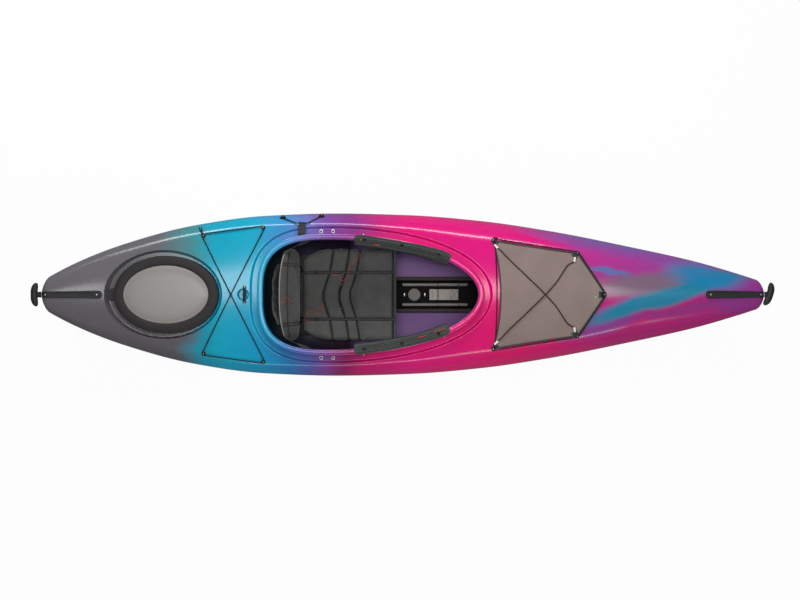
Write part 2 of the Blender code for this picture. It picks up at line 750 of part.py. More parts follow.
def build_eye(name, eye, finish, segments=10):
    top = EYE_FLANGE_THICKNESS + EYE_GAP + EYE_CAP_THICKNESS
    profile = [
        (EYE_FLANGE_RADIUS, 0.0), (EYE_FLANGE_RADIUS, EYE_FLANGE_THICKNESS),
        (EYE_NECK_RADIUS, EYE_FLANGE_THICKNESS), (EYE_NECK_RADIUS, EYE_FLANGE_THICKNESS + EYE_GAP),
        (EYE_FLANGE_RADIUS, EYE_FLANGE_THICKNESS + EYE_GAP),
        (EYE_FLANGE_RADIUS, top - 0.0012), (EYE_FLANGE_RADIUS - 0.002, top),
    ]
    data = loft(name, [[(*p, z) for p in circle(0, 0, r, segments)] for r, z in profile])
    made = add_object(name, data, finish)
    made.location = eye.base
    made.rotation_mode = "QUATERNION"
    made.rotation_quaternion = eye.normal.to_track_quat("Z", "Y")
    return made


def taut_run(start, end, floor, spacing=0.055, over=False):
    """Points of a taut cord between two points, which bends only where the floor lifts it.

    A cord that passes over another one rises by its thickness where it crosses the centreline.
    """
    start, end = Vector(start), Vector(end)
    span = (end - start).length
    fine = max(8, int(span / 0.006))
    shares = [i / fine for i in range(fine + 1)]
    places = [start.lerp(end, t) for t in shares]
    heights = [places[0].z] + [floor(p.x, p.y) for p in places[1:-1]] + [places[-1].z]
    taut = []
    for t, z in zip(shares, heights):
        while len(taut) > 1:
            (t1, z1), (t2, z2) = taut[-2], taut[-1]
            if (z2 - z1) * (t - t1) <= (z - z1) * (t2 - t1):
                taut.pop()
            else:
                break
        taut.append((t, z))
    count = max(2, int(span / spacing))
    kept = [i / count for i in range(count + 1)]
    if over:
        crossing = start.y / (start.y - end.y)
        near = [crossing + d / span for d in (-0.024, -0.012, 0.0, 0.012, 0.024)]
        kept = sorted([t for t in kept if abs(t - crossing) > 0.032 / span] + near)
    zs = np.interp(kept, [h[0] for h in taut], [h[1] for h in taut])
    short = max(0.0, float(np.max(np.array(heights[1:-1]) - np.interp(shares, kept, zs)[1:-1])))
    points = []
    for t, z in zip(kept[1:-1], zs[1:-1]):
        raised = z + short
        if over:
            raised += (2 * CORD_RADIUS + 0.001) * math.exp(-(((t - crossing) * span / 0.022) ** 2))
        points.append((*start.lerp(end, t).xy, float(raised)))
    return points


def cord_floor(*surfaces):
    """The lowest height of a cord's middle over the highest of some surfaces."""

    def floor(x, y):
        lean = deck_normal(surfaces[0], x, y).z
        return max(surface.height(x, y) for surface in surfaces) + (CORD_RADIUS + CLEARANCE) / lean

    return floor


def arc_points(eye, start, end, turn, step=math.radians(44)):
    """A cord's turn round an eye, with its straight lead at each end."""
    sweep = ((end - start) * turn) % (2 * math.pi)
    count = max(1, round(sweep / step))
    points = [eye.groove + eye.spoke(start + turn * sweep * i / count) * eye.radius for i in range(count + 1)]
    lead_in = eye.spoke(start + turn * math.pi / 2) * EYE_LEAD
    lead_out = eye.spoke(end + turn * math.pi / 2) * EYE_LEAD
    return [points[0] - lead_in, *points, points[-1] + lead_out]


def lace(stops, floor, over=None):
    """A loop of cord laced round eyes; each stop is an eye and the way the cord turns round it.

    The loop opens in the middle of its first turn, where the real one is knotted.
    """
    directions = []
    for i, (eye, turn) in enumerate(stops):
        other, other_turn = stops[(i + 1) % len(stops)]
        run = other.groove - eye.groove
        away = math.atan2(run.y, run.x)
        away += math.asin((turn - other_turn) * eye.radius / run.xy.length)
        directions.append(Vector((math.cos(away), math.sin(away), run.z / run.xy.length)))
    arcs = []
    for i, (eye, turn) in enumerate(stops):
        arrive = eye.angle(directions[i - 1]) - turn * math.pi / 2
        leave = eye.angle(directions[i]) - turn * math.pi / 2
        arcs.append(arc_points(eye, arrive, leave, turn))
    middle = len(arcs[0]) // 2
    gap = (arcs[0][middle + 1] - arcs[0][middle]) * 0.3
    points = [arcs[0][middle] + gap, *arcs[0][middle + 1:]]
    for i in range(len(stops)):
        following = arcs[(i + 1) % len(stops)]
        points += taut_run(arcs[i][-1], following[0], floor, over=i == over)
        points += following if i + 1 < len(stops) else following[:middle + 1]
    points[-1] = Vector(points[-1]) - gap
    return points


def build_cord(name, points, finish, radius=CORD_RADIUS):
    data = bpy.data.curves.new(name, "CURVE")
    data.dimensions = "3D"
    data.bevel_depth = radius
    data.bevel_resolution = 2
    data.use_fill_caps = True
    spline = data.splines.new("POLY")
    spline.points.add(len(points) - 1)
    for point, place in zip(spline.points, points):
        point.co = (*place, 1.0)
    return add_object(name, data, finish)


def build_stern_rigging(deck):
    """Four eyes, the figure-eight bungee laced round them, and the bar for a lock."""
    black = material("fitting_black", (0.012, 0.012, 0.013), 0.4)
    eyes = [Eye(deck, x, y) for x, y in eye_places(STERN_EYE_PLACES, (1, -1))]
    for i, eye in enumerate(eyes, 1):
        build_eye(f"stern_deck_eye_{i}", eye, black)
    stops = [(eyes[0], -1), (eyes[1], -1), (eyes[2], 1), (eyes[3], 1)]
    loop = lace(stops, cord_floor(deck), over=3)
    build_cord("stern_bungee", loop, material("cord_black", (0.02, 0.02, 0.02), 0.8))

    stations = [-1.0, -0.86, -0.7, -0.62, 0.62, 0.7, 0.86, 1.0]
    rings = []
    for share in stations:
        y = share * BAR_HALF_LENGTH
        foot = abs(share) > 0.65
        half, height = (BAR_RADIUS * 1.25, BAR_RADIUS * 1.1) if foot else (BAR_RADIUS, BAR_RADIUS * 2)
        if abs(share) == 1.0:
            half *= 0.7
        low = max(deck.height(BAR_X + dx, y) for dx in (-half, 0.0, half)) + CLEARANCE
        low += 0.0 if foot else 0.0006
        ring = [
            (-half, 0.0), (half, 0.0), (half, height * 0.6), (half * 0.6, height),
            (-half * 0.6, height), (-half, height * 0.6),
        ]
        rings.append([(BAR_X + dx, y, low + dz) for dx, dz in ring])
    add_object("security_bar", loft("security_bar", rings), black)


def border(tall, wide):
    """The indices round the edge of a grid of points, in order."""
    edge = list(range(wide)) + [r * wide + wide - 1 for r in range(1, tall)]
    edge += [(tall - 1) * wide + c for c in range(wide - 2, -1, -1)]
    return edge + [r * wide for r in range(tall - 2, 0, -1)]


def grid_faces(tall, wide, first=0):
    faces = []
    for r in range(tall - 1):
        for c in range(wide - 1):
            a, b = first + r * wide + c, first + (r + 1) * wide + c
            faces += [[a, b, b + 1], [a, b + 1, a + 1]]
    return faces


def two_sided(name, tall, wide, front, back, smooth_angle=50.0):
    """A closed body between two grids of points."""
    total = tall * wide
    faces = grid_faces(tall, wide)
    faces += [[a, c, b] for a, b, c in grid_faces(tall, wide, total)]
    edge = border(tall, wide)
    for a, b in zip(edge, edge[1:] + edge[:1]):
        faces += [[a, b, total + b], [a, total + b, total + a]]
    return mesh_from(name, front + back, faces, smooth_angle)


def flat_backed(name, tall, wide, top, under):
    """A closed body with a grid of points for its top and one flat face below."""
    total = tall * wide
    edge = border(tall, wide)
    low = {index: total + i for i, index in enumerate(edge)}
    faces = grid_faces(tall, wide)
    for a, b in zip(edge, edge[1:] + edge[:1]):
        faces += [[a, b, low[b]], [a, low[b], low[a]]]
    faces.append([low[i] for i in edge])
    return mesh_from(name, top + [under[i] for i in edge], faces, 50.0)


def mesh_half_width(x, wide, corner, tip):
    """Half the mesh panel's width at x, drawn in from the lines between three bow eyes."""
    if x < corner[0]:
        share = (x - wide[0]) / (corner[0] - wide[0])
        return wide[1] + (corner[1] - wide[1]) * share - MESH_INSET
    share = (x - corner[0]) / (tip[0] - corner[0])
    return (corner[1] - MESH_INSET) * (1 - share)


def build_bow_rigging(deck):
    """The stretched mesh panel, the bungee round it, and two crossing cords clipped at its corners."""
    black = material("fitting_black", (0.012, 0.012, 0.013), 0.4)
    cord = material("cord_black", (0.02, 0.02, 0.02), 0.8)
    brown = material("cord_brown", (0.035, 0.02, 0.016), 0.8)
    wide, corner = eye_places(BOW_EYE_PLACES, (1,))
    tip = (BOW_TIP_X, 0.0)
    eyes = [Eye(deck, x, y) for x, y in (wide, corner, tip)]
    eyes += [Eye(deck, x, y) for x, y in reversed(eye_places(BOW_EYE_PLACES, (-1,)))]
    for i, eye in enumerate(eyes, 1):
        build_eye(f"bow_deck_eye_{i}", eye, black)
    build_cord("deck_mesh_bungee", lace([(eye, -1) for eye in eyes], cord_floor(deck)), cord)

    rear = wide[0] + MESH_INSET
    front = tip[0] - 0.03
    rows = [rear + (corner[0] - rear) * i / 7 for i in range(8)]
    rows += [corner[0] + (front - corner[0]) * i / 3 for i in (1, 2, 3)]
    columns = [-1.0, -0.72, -0.4, 0.0, 0.4, 0.72, 1.0]
    low = []
    for x in rows:
        half = mesh_half_width(x, wide, corner, tip)
        for v in columns:
            drawn = MESH_BOW_IN * (1 - v * v) * ((rows[-1] - x) / (rows[-1] - rear)) ** 3
            low.append((x + drawn, v * half, deck.height(x + drawn, v * half) + MESH_RISE))
    high = [(x, y, z + MESH_THICKNESS) for x, y, z in low]
    panel = two_sided("deck_mesh_panel", len(rows), len(columns), high, low, 35.0)
    add_object("deck_mesh_panel", panel, material("deck_mesh", (0.25, 0.2, 0.19), 0.85))

    panel_floor = cord_floor(deck, Surface(panel))
    corners = []
    for eye in (eyes[0], eyes[1], eyes[3], eyes[4]):
        forward = 0.012 if eye.x < corner[0] else -0.012
        corners.append((eye.x + forward, eye.y - math.copysign(0.026, eye.y), forward))
    for i, (x, y, forward) in enumerate(corners, 1):
        lean = Vector((forward * 0.9, -math.copysign(0.02, y), 0.0)).normalized()
        across = Vector((-lean.y, lean.x, 0.0))
        ring_points = []
        for along, width in ((-0.5, 0.7), (-0.36, 1.0), (0.36, 1.0), (0.5, 0.7)):
            middle = Vector((x, y, 0.0)) + lean * along * CLIP_LENGTH
            half = CLIP_WIDTH / 2 * width
            sides = [middle - across * half, middle + across * half]
            low_z = max(deck.height(p.x, p.y) for p in [*sides, middle]) + MESH_RISE + MESH_THICKNESS + 0.0005
            height = 2 * CORD_RADIUS + 0.0005
            ring_points.append([
                (*sides[0].xy, low_z), (*sides[1].xy, low_z), (*sides[1].xy, low_z + height * 0.7),
                (*(middle + across * half * 0.5).xy, low_z + height),
                (*(middle - across * half * 0.5).xy, low_z + height), (*sides[0].xy, low_z + height * 0.7),
            ])
        add_object(f"deck_cord_clip_{i}", loft(f"deck_cord_clip_{i}", ring_points),
                   material("clip_white", (0.75, 0.75, 0.74), 0.4))
    for name, a, b, lifted in (("deck_cross_cord_1", 0, 2, False), ("deck_cross_cord_2", 3, 1, True)):
        ends = []
        for clip in (corners[a], corners[b]):
            lean = Vector((clip[2] * 0.9, -math.copysign(0.02, clip[1]), 0.0)).normalized()
            place = Vector((clip[0], clip[1], 0.0)) + lean * (CLIP_LENGTH / 2 + 2 * CLEARANCE + 0.001)
            ends.append((place.x, place.y, panel_floor(place.x, place.y) + CORD_END_LIFT))
        build_cord(name, [ends[0], *taut_run(ends[0], ends[1], panel_floor, over=lifted), ends[1]], brown)


def extruded(name, outline, low, high, place):
    """A bar whose cross-section is an outline, run between two distances that place() turns into points."""
    return loft(name, [[place(a, b, along) for a, b in outline] for along in (low, high)])


def build_paddle_park(deck):
    """A hook caught under the coaming's lip, and the bungee that pulls it outboard to two eyes."""
    black = material("fitting_black", (0.012, 0.012, 0.013), 0.4)
    eyes = [Eye(deck, x, y) for x, y in eye_places(PARK_EYE_PLACES, (1,))]
    for i, eye in enumerate(eyes, 1):
        build_eye(f"paddle_park_eye_{i}", eye, black)

    edge = opening_half_width(PARK_HOOK_X)
    top = min(rim_height(PARK_HOOK_X - PARK_HOOK_WIDTH / 2), rim_height(PARK_HOOK_X + PARK_HOOK_WIDTH / 2))
    under = top - LIP_DROP - LIP_THICKNESS - PARK_HOOK_DROP
    behind = edge + COAMING_LIP - LIP_THICKNESS
    catch = behind - 0.0025
    bore_y = edge + COAMING_LIP + PARK_HOOK_REACH
    bore_z = deck.height(PARK_HOOK_X, bore_y) + PARK_HOOK_BORE_HEIGHT
    loop = PARK_HOOK_LOOP_RADIUS
    corner = loop * math.sqrt(0.5)
    thick = PARK_HOOK_THICKNESS
    nose = under + PARK_HOOK_CATCH
    outline = [
        (catch - thick, nose), (catch, nose), (catch, under), (behind + 0.012, under),
        (bore_y - loop / 2, bore_z + loop * 0.9), (bore_y, bore_z + loop), (bore_y + corner, bore_z + corner),
        (bore_y + loop, bore_z), (bore_y + corner, bore_z - corner), (bore_y, bore_z - loop),
        (bore_y - loop * 0.8, bore_z - loop * 0.6), (behind + 0.012, under - thick),
        (catch - thick, under - thick),
    ]
    slope = (opening_half_width(PARK_HOOK_X + 0.01) - opening_half_width(PARK_HOOK_X - 0.01)) / 0.02

    def along_rim(y, z, x):
        follows = (bore_y - y) / (bore_y - catch) if y < bore_y - 0.02 else 0.0
        return (x, y + slope * (x - PARK_HOOK_X) * follows, z)

    hook = add_object("paddle_park_hook", extruded(
        "paddle_park_hook", outline, PARK_HOOK_X - PARK_HOOK_WIDTH / 2, PARK_HOOK_X + PARK_HOOK_WIDTH / 2,
        along_rim), black)
    bore = cutter("hook_bore", rod(
        "hook_bore", (PARK_HOOK_X - PARK_HOOK_WIDTH, bore_y, bore_z),
        (PARK_HOOK_X + PARK_HOOK_WIDTH, bore_y, bore_z), CORD_RADIUS + 2 * CLEARANCE, 10))
    boolean(hook, bore, "DIFFERENCE")

    half = PARK_HOOK_WIDTH / 2 + 0.004
    inner = [Vector((PARK_HOOK_X - half, bore_y, bore_z)), Vector((PARK_HOOK_X + half, bore_y, bore_z))]
    floor = cord_floor(deck)
    points = []
    for eye, near, turn in ((eyes[0], inner[0], -1), (eyes[1], inner[1], 1)):
        side = eye.angle(near - eye.groove) + turn * math.pi / 2
        arc = arc_points(eye, side + turn * math.radians(200), side, -turn)
        leg = arc + taut_run(arc[-1], near, floor) + [near]
        points += leg if turn < 0 else list(reversed(leg))
    build_cord("paddle_park_bungee", points, material("cord_black", (0.02, 0.02, 0.02), 0.8))


def build_handle(end, deck, name, reach, twist):
    """A strap screwed along the deck's end, and the grip hinged at its tip. end is 1 at the bow."""
    black = material("handle_black", (0.015, 0.015, 0.016), 0.5)
    tip = HULL_LENGTH / 2 - END_RADIUS * 0.2
    inner = tip - STRAP_LENGTH
    rounding = STRAP_INNER_WIDTH / 2
    rows = sorted({tip, inner, inner + rounding * 0.15, inner + rounding * 0.5, inner + rounding}
                  | {abs(x) for x in outer_stations() if inner + rounding < abs(x) < tip}
                  | {tip - 0.012, tip - 0.035})
    rings = []
    for x in rows:
        share = (x - inner) / (tip - inner)
        half = (STRAP_INNER_WIDTH + (STRAP_OUTER_WIDTH - STRAP_INNER_WIDTH) * share) / 2
        if x < inner + rounding:
            half *= 0.35 + 0.65 * math.sqrt(max(0.0, 1 - ((inner + rounding - x) / rounding) ** 2))
        low = max(deck.height(end * x, y) for y in (0.0, half * 0.5, half)) + CLEARANCE
        t = STRAP_THICKNESS
        flat = half - t / 2
        ring = [(-half, 0), (half, 0), (half, t * 0.6), (flat, t), (-flat, t), (-half, t * 0.6)]
        rings.append([(end * x, y, low + z) for y, z in ring])
    add_object(f"{name}_handle_strap", loft(f"{name}_handle_strap", rings), black)

    radius = STRAP_THICKNESS / 2
    axis_x = end * (tip + CLEARANCE + radius)
    axis_z = deck.height(end * tip, 0.0) + CLEARANCE + radius
    pivot = bpy.data.objects.new(f"{name}_grip_pivot", None)
    bpy.context.scene.collection.objects.link(pivot)
    pivot.location = (axis_x, 0.0, axis_z)
    bpy.context.view_layer.update()

    grip_x = end * (HULL_LENGTH / 2 + reach)
    grip_z = axis_z - 0.002
    turn = Matrix.Rotation(math.radians(twist), 3, "Z")
    rings = []
    for share in (-1.0, -0.93, -0.75, -0.4, 0.0, 0.4, 0.75, 0.93, 1.0):
        fullness = math.sqrt(max(0.0, 1 - abs(share) ** 3.5)) * 0.85 + 0.15
        ring = []
        for x, z in circle(0, 0, 1.0, 14):
            local = Vector((
                x * GRIP_RADIUS * fullness * 0.9 - end * 0.009 * share * share,
                share * GRIP_HALF_LENGTH,
                z * GRIP_HEIGHT * fullness,
            ))
            ring.append(turn @ local + Vector((grip_x, 0.0, grip_z)))
        rings.append(ring)
    grip = add_object(f"{name}_handle_grip", loft(f"{name}_handle_grip", rings), black, pivot)
    span = grip_x - axis_x
    tongue = [(0.0, -radius), (span, -radius), (span, radius)]
    tongue += [
        (-end * radius * math.sin(math.radians(a)), radius * math.cos(math.radians(a)))
        for a in (0, 30, 60, 90, 120, 150)
    ]
    half = STRAP_OUTER_WIDTH / 2 - 0.003
    stem = cutter(f"{name}_stem", extruded(
        f"{name}_stem", tongue, -half, half, lambda x, z, y: (axis_x + x, y, axis_z + z)))
    boolean(grip, stem, "UNION")


def build_hatch_cover():
    """A rubber ring that snaps over the hatch rim, with a stiff cover plate in its middle."""
    rim_top = hatch_floor() + HATCH_RIM_HEIGHT
    mouth = ellipse_outline(HATCH_CENTRE_X, HATCH_MOUTH_LENGTH, HATCH_MOUTH_WIDTH)
    wide = HATCH_COVER_MARGIN
    under = rim_top + CLEARANCE
    seat = rim_top + HATCH_COVER_HEIGHT
    crest = rim_top + HATCH_COVER_HEIGHT + HATCH_COVER_CROWN
    foot = hatch_floor() + CLEARANCE
    plug = HATCH_RIM_WALL + CLEARANCE
    profile = [
        (-HATCH_PLATE_LEDGE, under + 0.001), (-HATCH_PLATE_LEDGE, seat), (-HATCH_PLATE_INSET, seat),
        (-HATCH_PLATE_INSET, crest - 0.0035), (0.006, crest), (0.022, crest - 0.0005),
        (wide - 0.004, crest - 0.0045), (wide, seat - 0.003), (wide, foot), (wide - HATCH_SKIRT, foot),
        (wide - HATCH_SKIRT, under), (-CLEARANCE, under), (-CLEARANCE, under - 0.007), (-plug, under - 0.007),
        (-plug, under + 0.001),
    ]
    rubber = material("hatch_rubber", (0.02, 0.018, 0.018), 0.75)
    ring = add_object("hatch_cover_rim", closed_sweep("hatch_cover_rim", [
        [(x + nx * o, y + ny * o, z) for o, z in profile]
        for (x, y), (nx, ny) in zip(mouth.points, mouth.normals)
    ]), rubber)
    rear = HATCH_CENTRE_X - HATCH_MOUTH_LENGTH / 2 - wide
    half = HATCH_TAB_WIDTH / 2
    plan = [(rear + 0.003, -half * 1.2), (rear + 0.003, half * 1.2), (rear - HATCH_TAB_REACH * 0.6, half),
            (rear - HATCH_TAB_REACH, half * 0.6), (rear - HATCH_TAB_REACH, -half * 0.6),
            (rear - HATCH_TAB_REACH * 0.6, -half)]
    tab_top = seat - 0.004
    tab = cutter("pull_tab", prism("pull_tab", plan, tab_top - HATCH_TAB_THICKNESS, tab_top))
    boolean(ring, tab, "UNION")

    edge = -HATCH_PLATE_INSET - CLEARANCE
    low = seat + CLEARANCE
    layers = [
        (edge, low), (edge, low + HATCH_PLATE_EDGE), (edge - 0.004, low + HATCH_PLATE_EDGE * 1.8),
        (edge - 0.05, low + HATCH_PLATE_CROWN * 0.88), (edge - 0.1, low + HATCH_PLATE_CROWN),
    ]
    rings = [[(x, y, z) for x, y in mouth.offset(inset)] for inset, z in layers]
    add_object("hatch_cover_plate", loft("hatch_cover_plate", rings),
               material("hatch_plate", (0.3, 0.285, 0.28), 0.5))


def build_bulkhead():
    """A foam plate cut to the inside of the hull, between the cockpit and the stern compartment."""
    rings = hull_rings(cavity_stations(), True, CLEARANCE, **INNER_COUNTS)
    inside = cutter("inside_form", loft("inside_form", rings))
    half = BULKHEAD_THICKNESS / 2
    plan = [(BULKHEAD_X - half, -HULL_BEAM), (BULKHEAD_X + half, -HULL_BEAM),
            (BULKHEAD_X + half, HULL_BEAM), (BULKHEAD_X - half, HULL_BEAM)]
    plate = add_object("rear_bulkhead", prism("rear_bulkhead", plan, -OVERCUT, HULL_DEPTH + OVERCUT),
                       material("foam_grey", (0.06, 0.06, 0.065), 0.95))
    boolean(plate, inside, "INTERSECT")


def build_skeg():
    """The fin that swings down out of its box on a cross pin."""
    pin_x, pin_z = skeg_pivot()
    reach = SKEG_BOX_WIDTH / 2 + WALL + 0.004
    steel = material("steel", (0.55, 0.55, 0.56), 0.3, 1.0)
    pin = add_object("skeg_pin", rod(
        "skeg_pin", (0, -reach, 0), (0, reach, 0), SKEG_PIN_RADIUS, 12), steel)
    pin.location = (pin_x, 0.0, pin_z)

    outline = [
        (SKEG_HEAD_RADIUS * math.cos(math.radians(a)), SKEG_HEAD_RADIUS * math.sin(math.radians(a)))
        for a in (-90, -45, 0, 45, 80)
    ]
    crest = SKEG_CHORD - SKEG_HEAD_RADIUS
    for share in (0.25, 0.5, 0.72, 0.88, 0.97):
        outline.append((-SKEG_LENGTH * share, SKEG_HEAD_RADIUS + (crest - SKEG_HEAD_RADIUS) * math.sin(
            math.pi * min(1.0, share * 1.08)) ** 0.7))
    outline += [(-SKEG_LENGTH, SKEG_HEAD_RADIUS * 0.4), (-SKEG_LENGTH * 0.97, -SKEG_HEAD_RADIUS * 0.5),
                (-SKEG_LENGTH * 0.8, -SKEG_HEAD_RADIUS)]
    half = SKEG_THICKNESS / 2
    mx, mz = -SKEG_LENGTH * 0.42, SKEG_HEAD_RADIUS * 0.8
    rings = []
    for y, shrink in ((-half, 0.93), (-half * 0.4, 1.0), (half * 0.4, 1.0), (half, 0.93)):
        rings.append([(mx + (x - mx) * shrink, y, mz + (z - mz) * shrink) for x, z in outline])
    grey = material("skeg_grey", (0.05, 0.05, 0.055), 0.5)
    blade = add_object("skeg_blade", loft("skeg_blade", rings), grey)
    blade.location = (pin_x, 0.0, pin_z)
    bore = SKEG_PIN_RADIUS + CLEARANCE
    hole = cutter("blade_hole", rod("blade_hole", (0, -0.02, 0), (0, 0.02, 0), bore, 12))
    hole.location = blade.location
    boolean(blade, hole, "DIFFERENCE")


def grooved(lines, grooves, width=0.007, depth=0.62):
    """Grid lines with a narrow valley at each groove. Each line is a place and a share of full height."""
    kept = [(place, 1.0) for place in lines if all(abs(place - g) > width * 1.5 for g in grooves)]
    for g in grooves:
        kept += [(g - width, 0.97), (g, depth), (g + width, 0.97)]
    return sorted(kept)


def chevron(y):
    """How far forward of the seat's middle a seam lies at y: the seams point aft."""
    return SEAT_CHEVRON * min(1.0, max(0.0, abs(y) - 0.018) / (SEAT_GROOVE_Y - 0.018))


def seat_top(x):
    """The height of the seat's padding above its base."""
    share = (x - SEAT_REAR_X) / (SEAT_FRONT_X - SEAT_REAR_X)
    dip = 0.008 * math.sin(math.pi * min(1.0, max(0.0, share * 1.5)))
    lift = LIFTER_RISE * max(0.0, (x - SEAT_FOLD_X) / (SEAT_FRONT_X - SEAT_FOLD_X))
    return SEAT_BASE_HEIGHT + SEAT_CUSHION_THICKNESS + SEAT_CUSHION_RISE * share - dip + lift


def build_seat(inner):
    """A moulded base on the hull floor, the quilted cushion, and the hinged thigh support at its front."""
    moulded = material("seat_plastic", (0.02, 0.02, 0.022), 0.5)
    fabric = material("seat_fabric", (0.035, 0.035, 0.037), 0.9)
    foot = max(inner.floor(x, y) for x in (BASE_REAR_X, SEAT_FRONT_X) for y in (0.0, SEAT_FOOT_HALF_WIDTH))
    foot += CLEARANCE
    rear, front = BASE_REAR_X, SEAT_FRONT_X - 0.01

    def plan(half, inset):
        """The base's outline, narrower at the rear and rounded at its four corners."""
        corner, bevel = 0.03, 0.009
        a, b = rear + inset, front - inset
        w, n = half - inset, (half - inset) * 0.92
        port = [
            (b, w - corner), (b - bevel, w - bevel), (b - corner, w),
            (a + corner, n), (a + bevel, n - bevel), (a, n - corner),
        ]
        return port + [(x, -y) for x, y in reversed(port)]

    def tray(name, inset, low, high):
        wide = SEAT_HALF_WIDTH - 0.012
        rings = []
        for share in (0.0, 0.55, 0.9, 1.0):
            half = SEAT_FOOT_HALF_WIDTH + (wide - SEAT_FOOT_HALF_WIDTH) * min(1.0, share * 1.12)
            rings.append([(x, y, low + (high - low) * share) for x, y in plan(half, inset)])
        return loft(name, rings)

    base = add_object("seat_base", tray("seat_base", 0.0, foot, SEAT_BASE_HEIGHT), moulded)
    hollow = cutter("seat_hollow", tray(
        "seat_hollow", SEAT_BASE_WALL, foot - 0.002, SEAT_BASE_HEIGHT - SEAT_BASE_WALL))
    boolean(base, hollow, "DIFFERENCE")
    ear_outer = BACK_LUG_Y - BACK_LUG_WIDTH / 2 - CLEARANCE
    for side in (1, -1):
        ears = cutter(f"ear_{side}", extruded(
            f"ear_{side}", ear_outline(), side * ear_outer, side * (ear_outer - BACK_EAR_THICKNESS),
            lambda x, z, y: (x, y, z)))
        boolean(base, ears, "UNION")
    ear_hole = cutter("ear_hole", rod(
        "ear_hole", (BACK_PIVOT_X, -0.2, BACK_PIVOT_Z), (BACK_PIVOT_X, 0.2, BACK_PIVOT_Z),
        BACK_PIN_RADIUS + CLEARANCE, 12))
    boolean(base, ear_hole, "DIFFERENCE")

    low = SEAT_BASE_HEIGHT + CLEARANCE
    columns = grooved(
        [-1.0, -0.95, -0.84, -0.7, -0.4, -0.2, 0.0, 0.2, 0.4, 0.7, 0.84, 0.95, 1.0],
        [-SEAT_GROOVE_Y / SEAT_HALF_WIDTH, SEAT_GROOVE_Y / SEAT_HALF_WIDTH], 0.035)
    columns = [(v, h * (0.45 if abs(v) == 1.0 else 0.85 if abs(v) == 0.95 else 1.0)) for v, h in columns]

    fold = SEAT_FOLD_X - SEAT_CHEVRON - SEAT_FOLD_GAP

    def cushion_point(x, v):
        """Where a line of the quilting at x, in the seat's middle, comes to at a share of its width."""
        share = min(1.0, (x - SEAT_REAR_X) / (SEAT_GROOVES_X[0] - SEAT_REAR_X))
        wider = (SEAT_HALF_WIDTH - SEAT_REAR_HALF_WIDTH) * math.sin(share * math.pi / 2)
        shoulder = SEAT_HALF_WIDTH * 0.6
        y = abs(v) * SEAT_HALF_WIDTH
        if y > shoulder:
            y = shoulder + (SEAT_REAR_HALF_WIDTH + wider - shoulder) * (abs(v) - 0.6) / 0.4
        bend = min(1.0, 3 * (x - SEAT_REAR_X) / (fold - SEAT_REAR_X))
        return x + chevron(y) * bend, math.copysign(y, v)

    lines = grooved([SEAT_REAR_X + 0.012, SEAT_REAR_X + 0.04, -0.4, -0.33, -0.265], list(SEAT_GROOVES_X))
    lines = [(x, h) for x, h in lines if x < fold - 0.008]
    lines = [(SEAT_REAR_X, 0.5), *lines, (fold - 0.008, 0.97), (fold, 0.72)]
    top, under = [], []
    for x, hx in lines:
        for v, hy in columns:
            px, py = cushion_point(x, v)
            top.append((px, py, low + (seat_top(x) - low) * min(hx, hy)))
            under.append((px, py * 0.985, low))
    add_object("seat_cushion", flat_backed("seat_cushion", len(lines), len(columns), top, under), fabric)

    hinge = bpy.data.objects.new("leg_lifter_pivot", None)
    bpy.context.scene.collection.objects.link(hinge)
    hinge.location = (SEAT_FOLD_X - SEAT_CHEVRON, 0.0, seat_top(SEAT_FOLD_X) - 0.008)
    bpy.context.view_layer.update()
    start = SEAT_FOLD_X - SEAT_CHEVRON
    plate_half = SEAT_HALF_WIDTH - 0.03
    rear, side, front = start + LIFTER_PLATE_INSET, SEAT_FOLD_X + LIFTER_PLATE_INSET, SEAT_FRONT_X - 0.008
    plate_plan = [
        (rear, -0.02), (side, -SEAT_GROOVE_Y), (side, -plate_half), (front, -plate_half),
        (front, plate_half), (side, plate_half), (side, SEAT_GROOVE_Y), (rear, 0.02),
    ]
    add_object("leg_lifter_plate", prism("leg_lifter_plate", plate_plan, low, low + LIFTER_PLATE_THICKNESS),
               moulded, hinge)
    pad_low = low + LIFTER_PLATE_THICKNESS + CLEARANCE
    step = (SEAT_FRONT_X - start) / 6
    pad_lines = [(start, 0.72), (start + 0.008, 0.97)] + [(start + step * i, 1.0) for i in range(1, 6)]
    pad_lines += [(SEAT_FRONT_X - 0.012, 0.97), (SEAT_FRONT_X, 0.8)]

    top, under = [], []
    for x, hx in pad_lines:
        for v, hy in columns:
            y = v * SEAT_HALF_WIDTH
            px = x + chevron(y) * (1 - (x - start) / (SEAT_FRONT_X - start)) ** 1.5
            top.append((px, y, pad_low + (seat_top(x) - pad_low) * min(hx, hy)))
            under.append((px, y * 0.985, pad_low))
    add_object("leg_lifter_pad", flat_backed("leg_lifter_pad", len(pad_lines), len(columns), top, under),
               fabric, hinge)


def ear_outline():
    """A seat-base ear, from the base up round the backrest's pin."""
    radius = BACK_PIN_RADIUS + 0.008
    low = SEAT_BASE_HEIGHT - SEAT_BASE_WALL / 2
    outline = [(BACK_PIVOT_X + radius + 0.004, low), (BACK_PIVOT_X - radius - 0.001, low)]
    outline += [
        (BACK_PIVOT_X - radius * math.cos(math.radians(a)), BACK_PIVOT_Z + radius * math.sin(math.radians(a)))
        for a in (0, 36, 72, 108, 144, 180)
    ]
    return outline


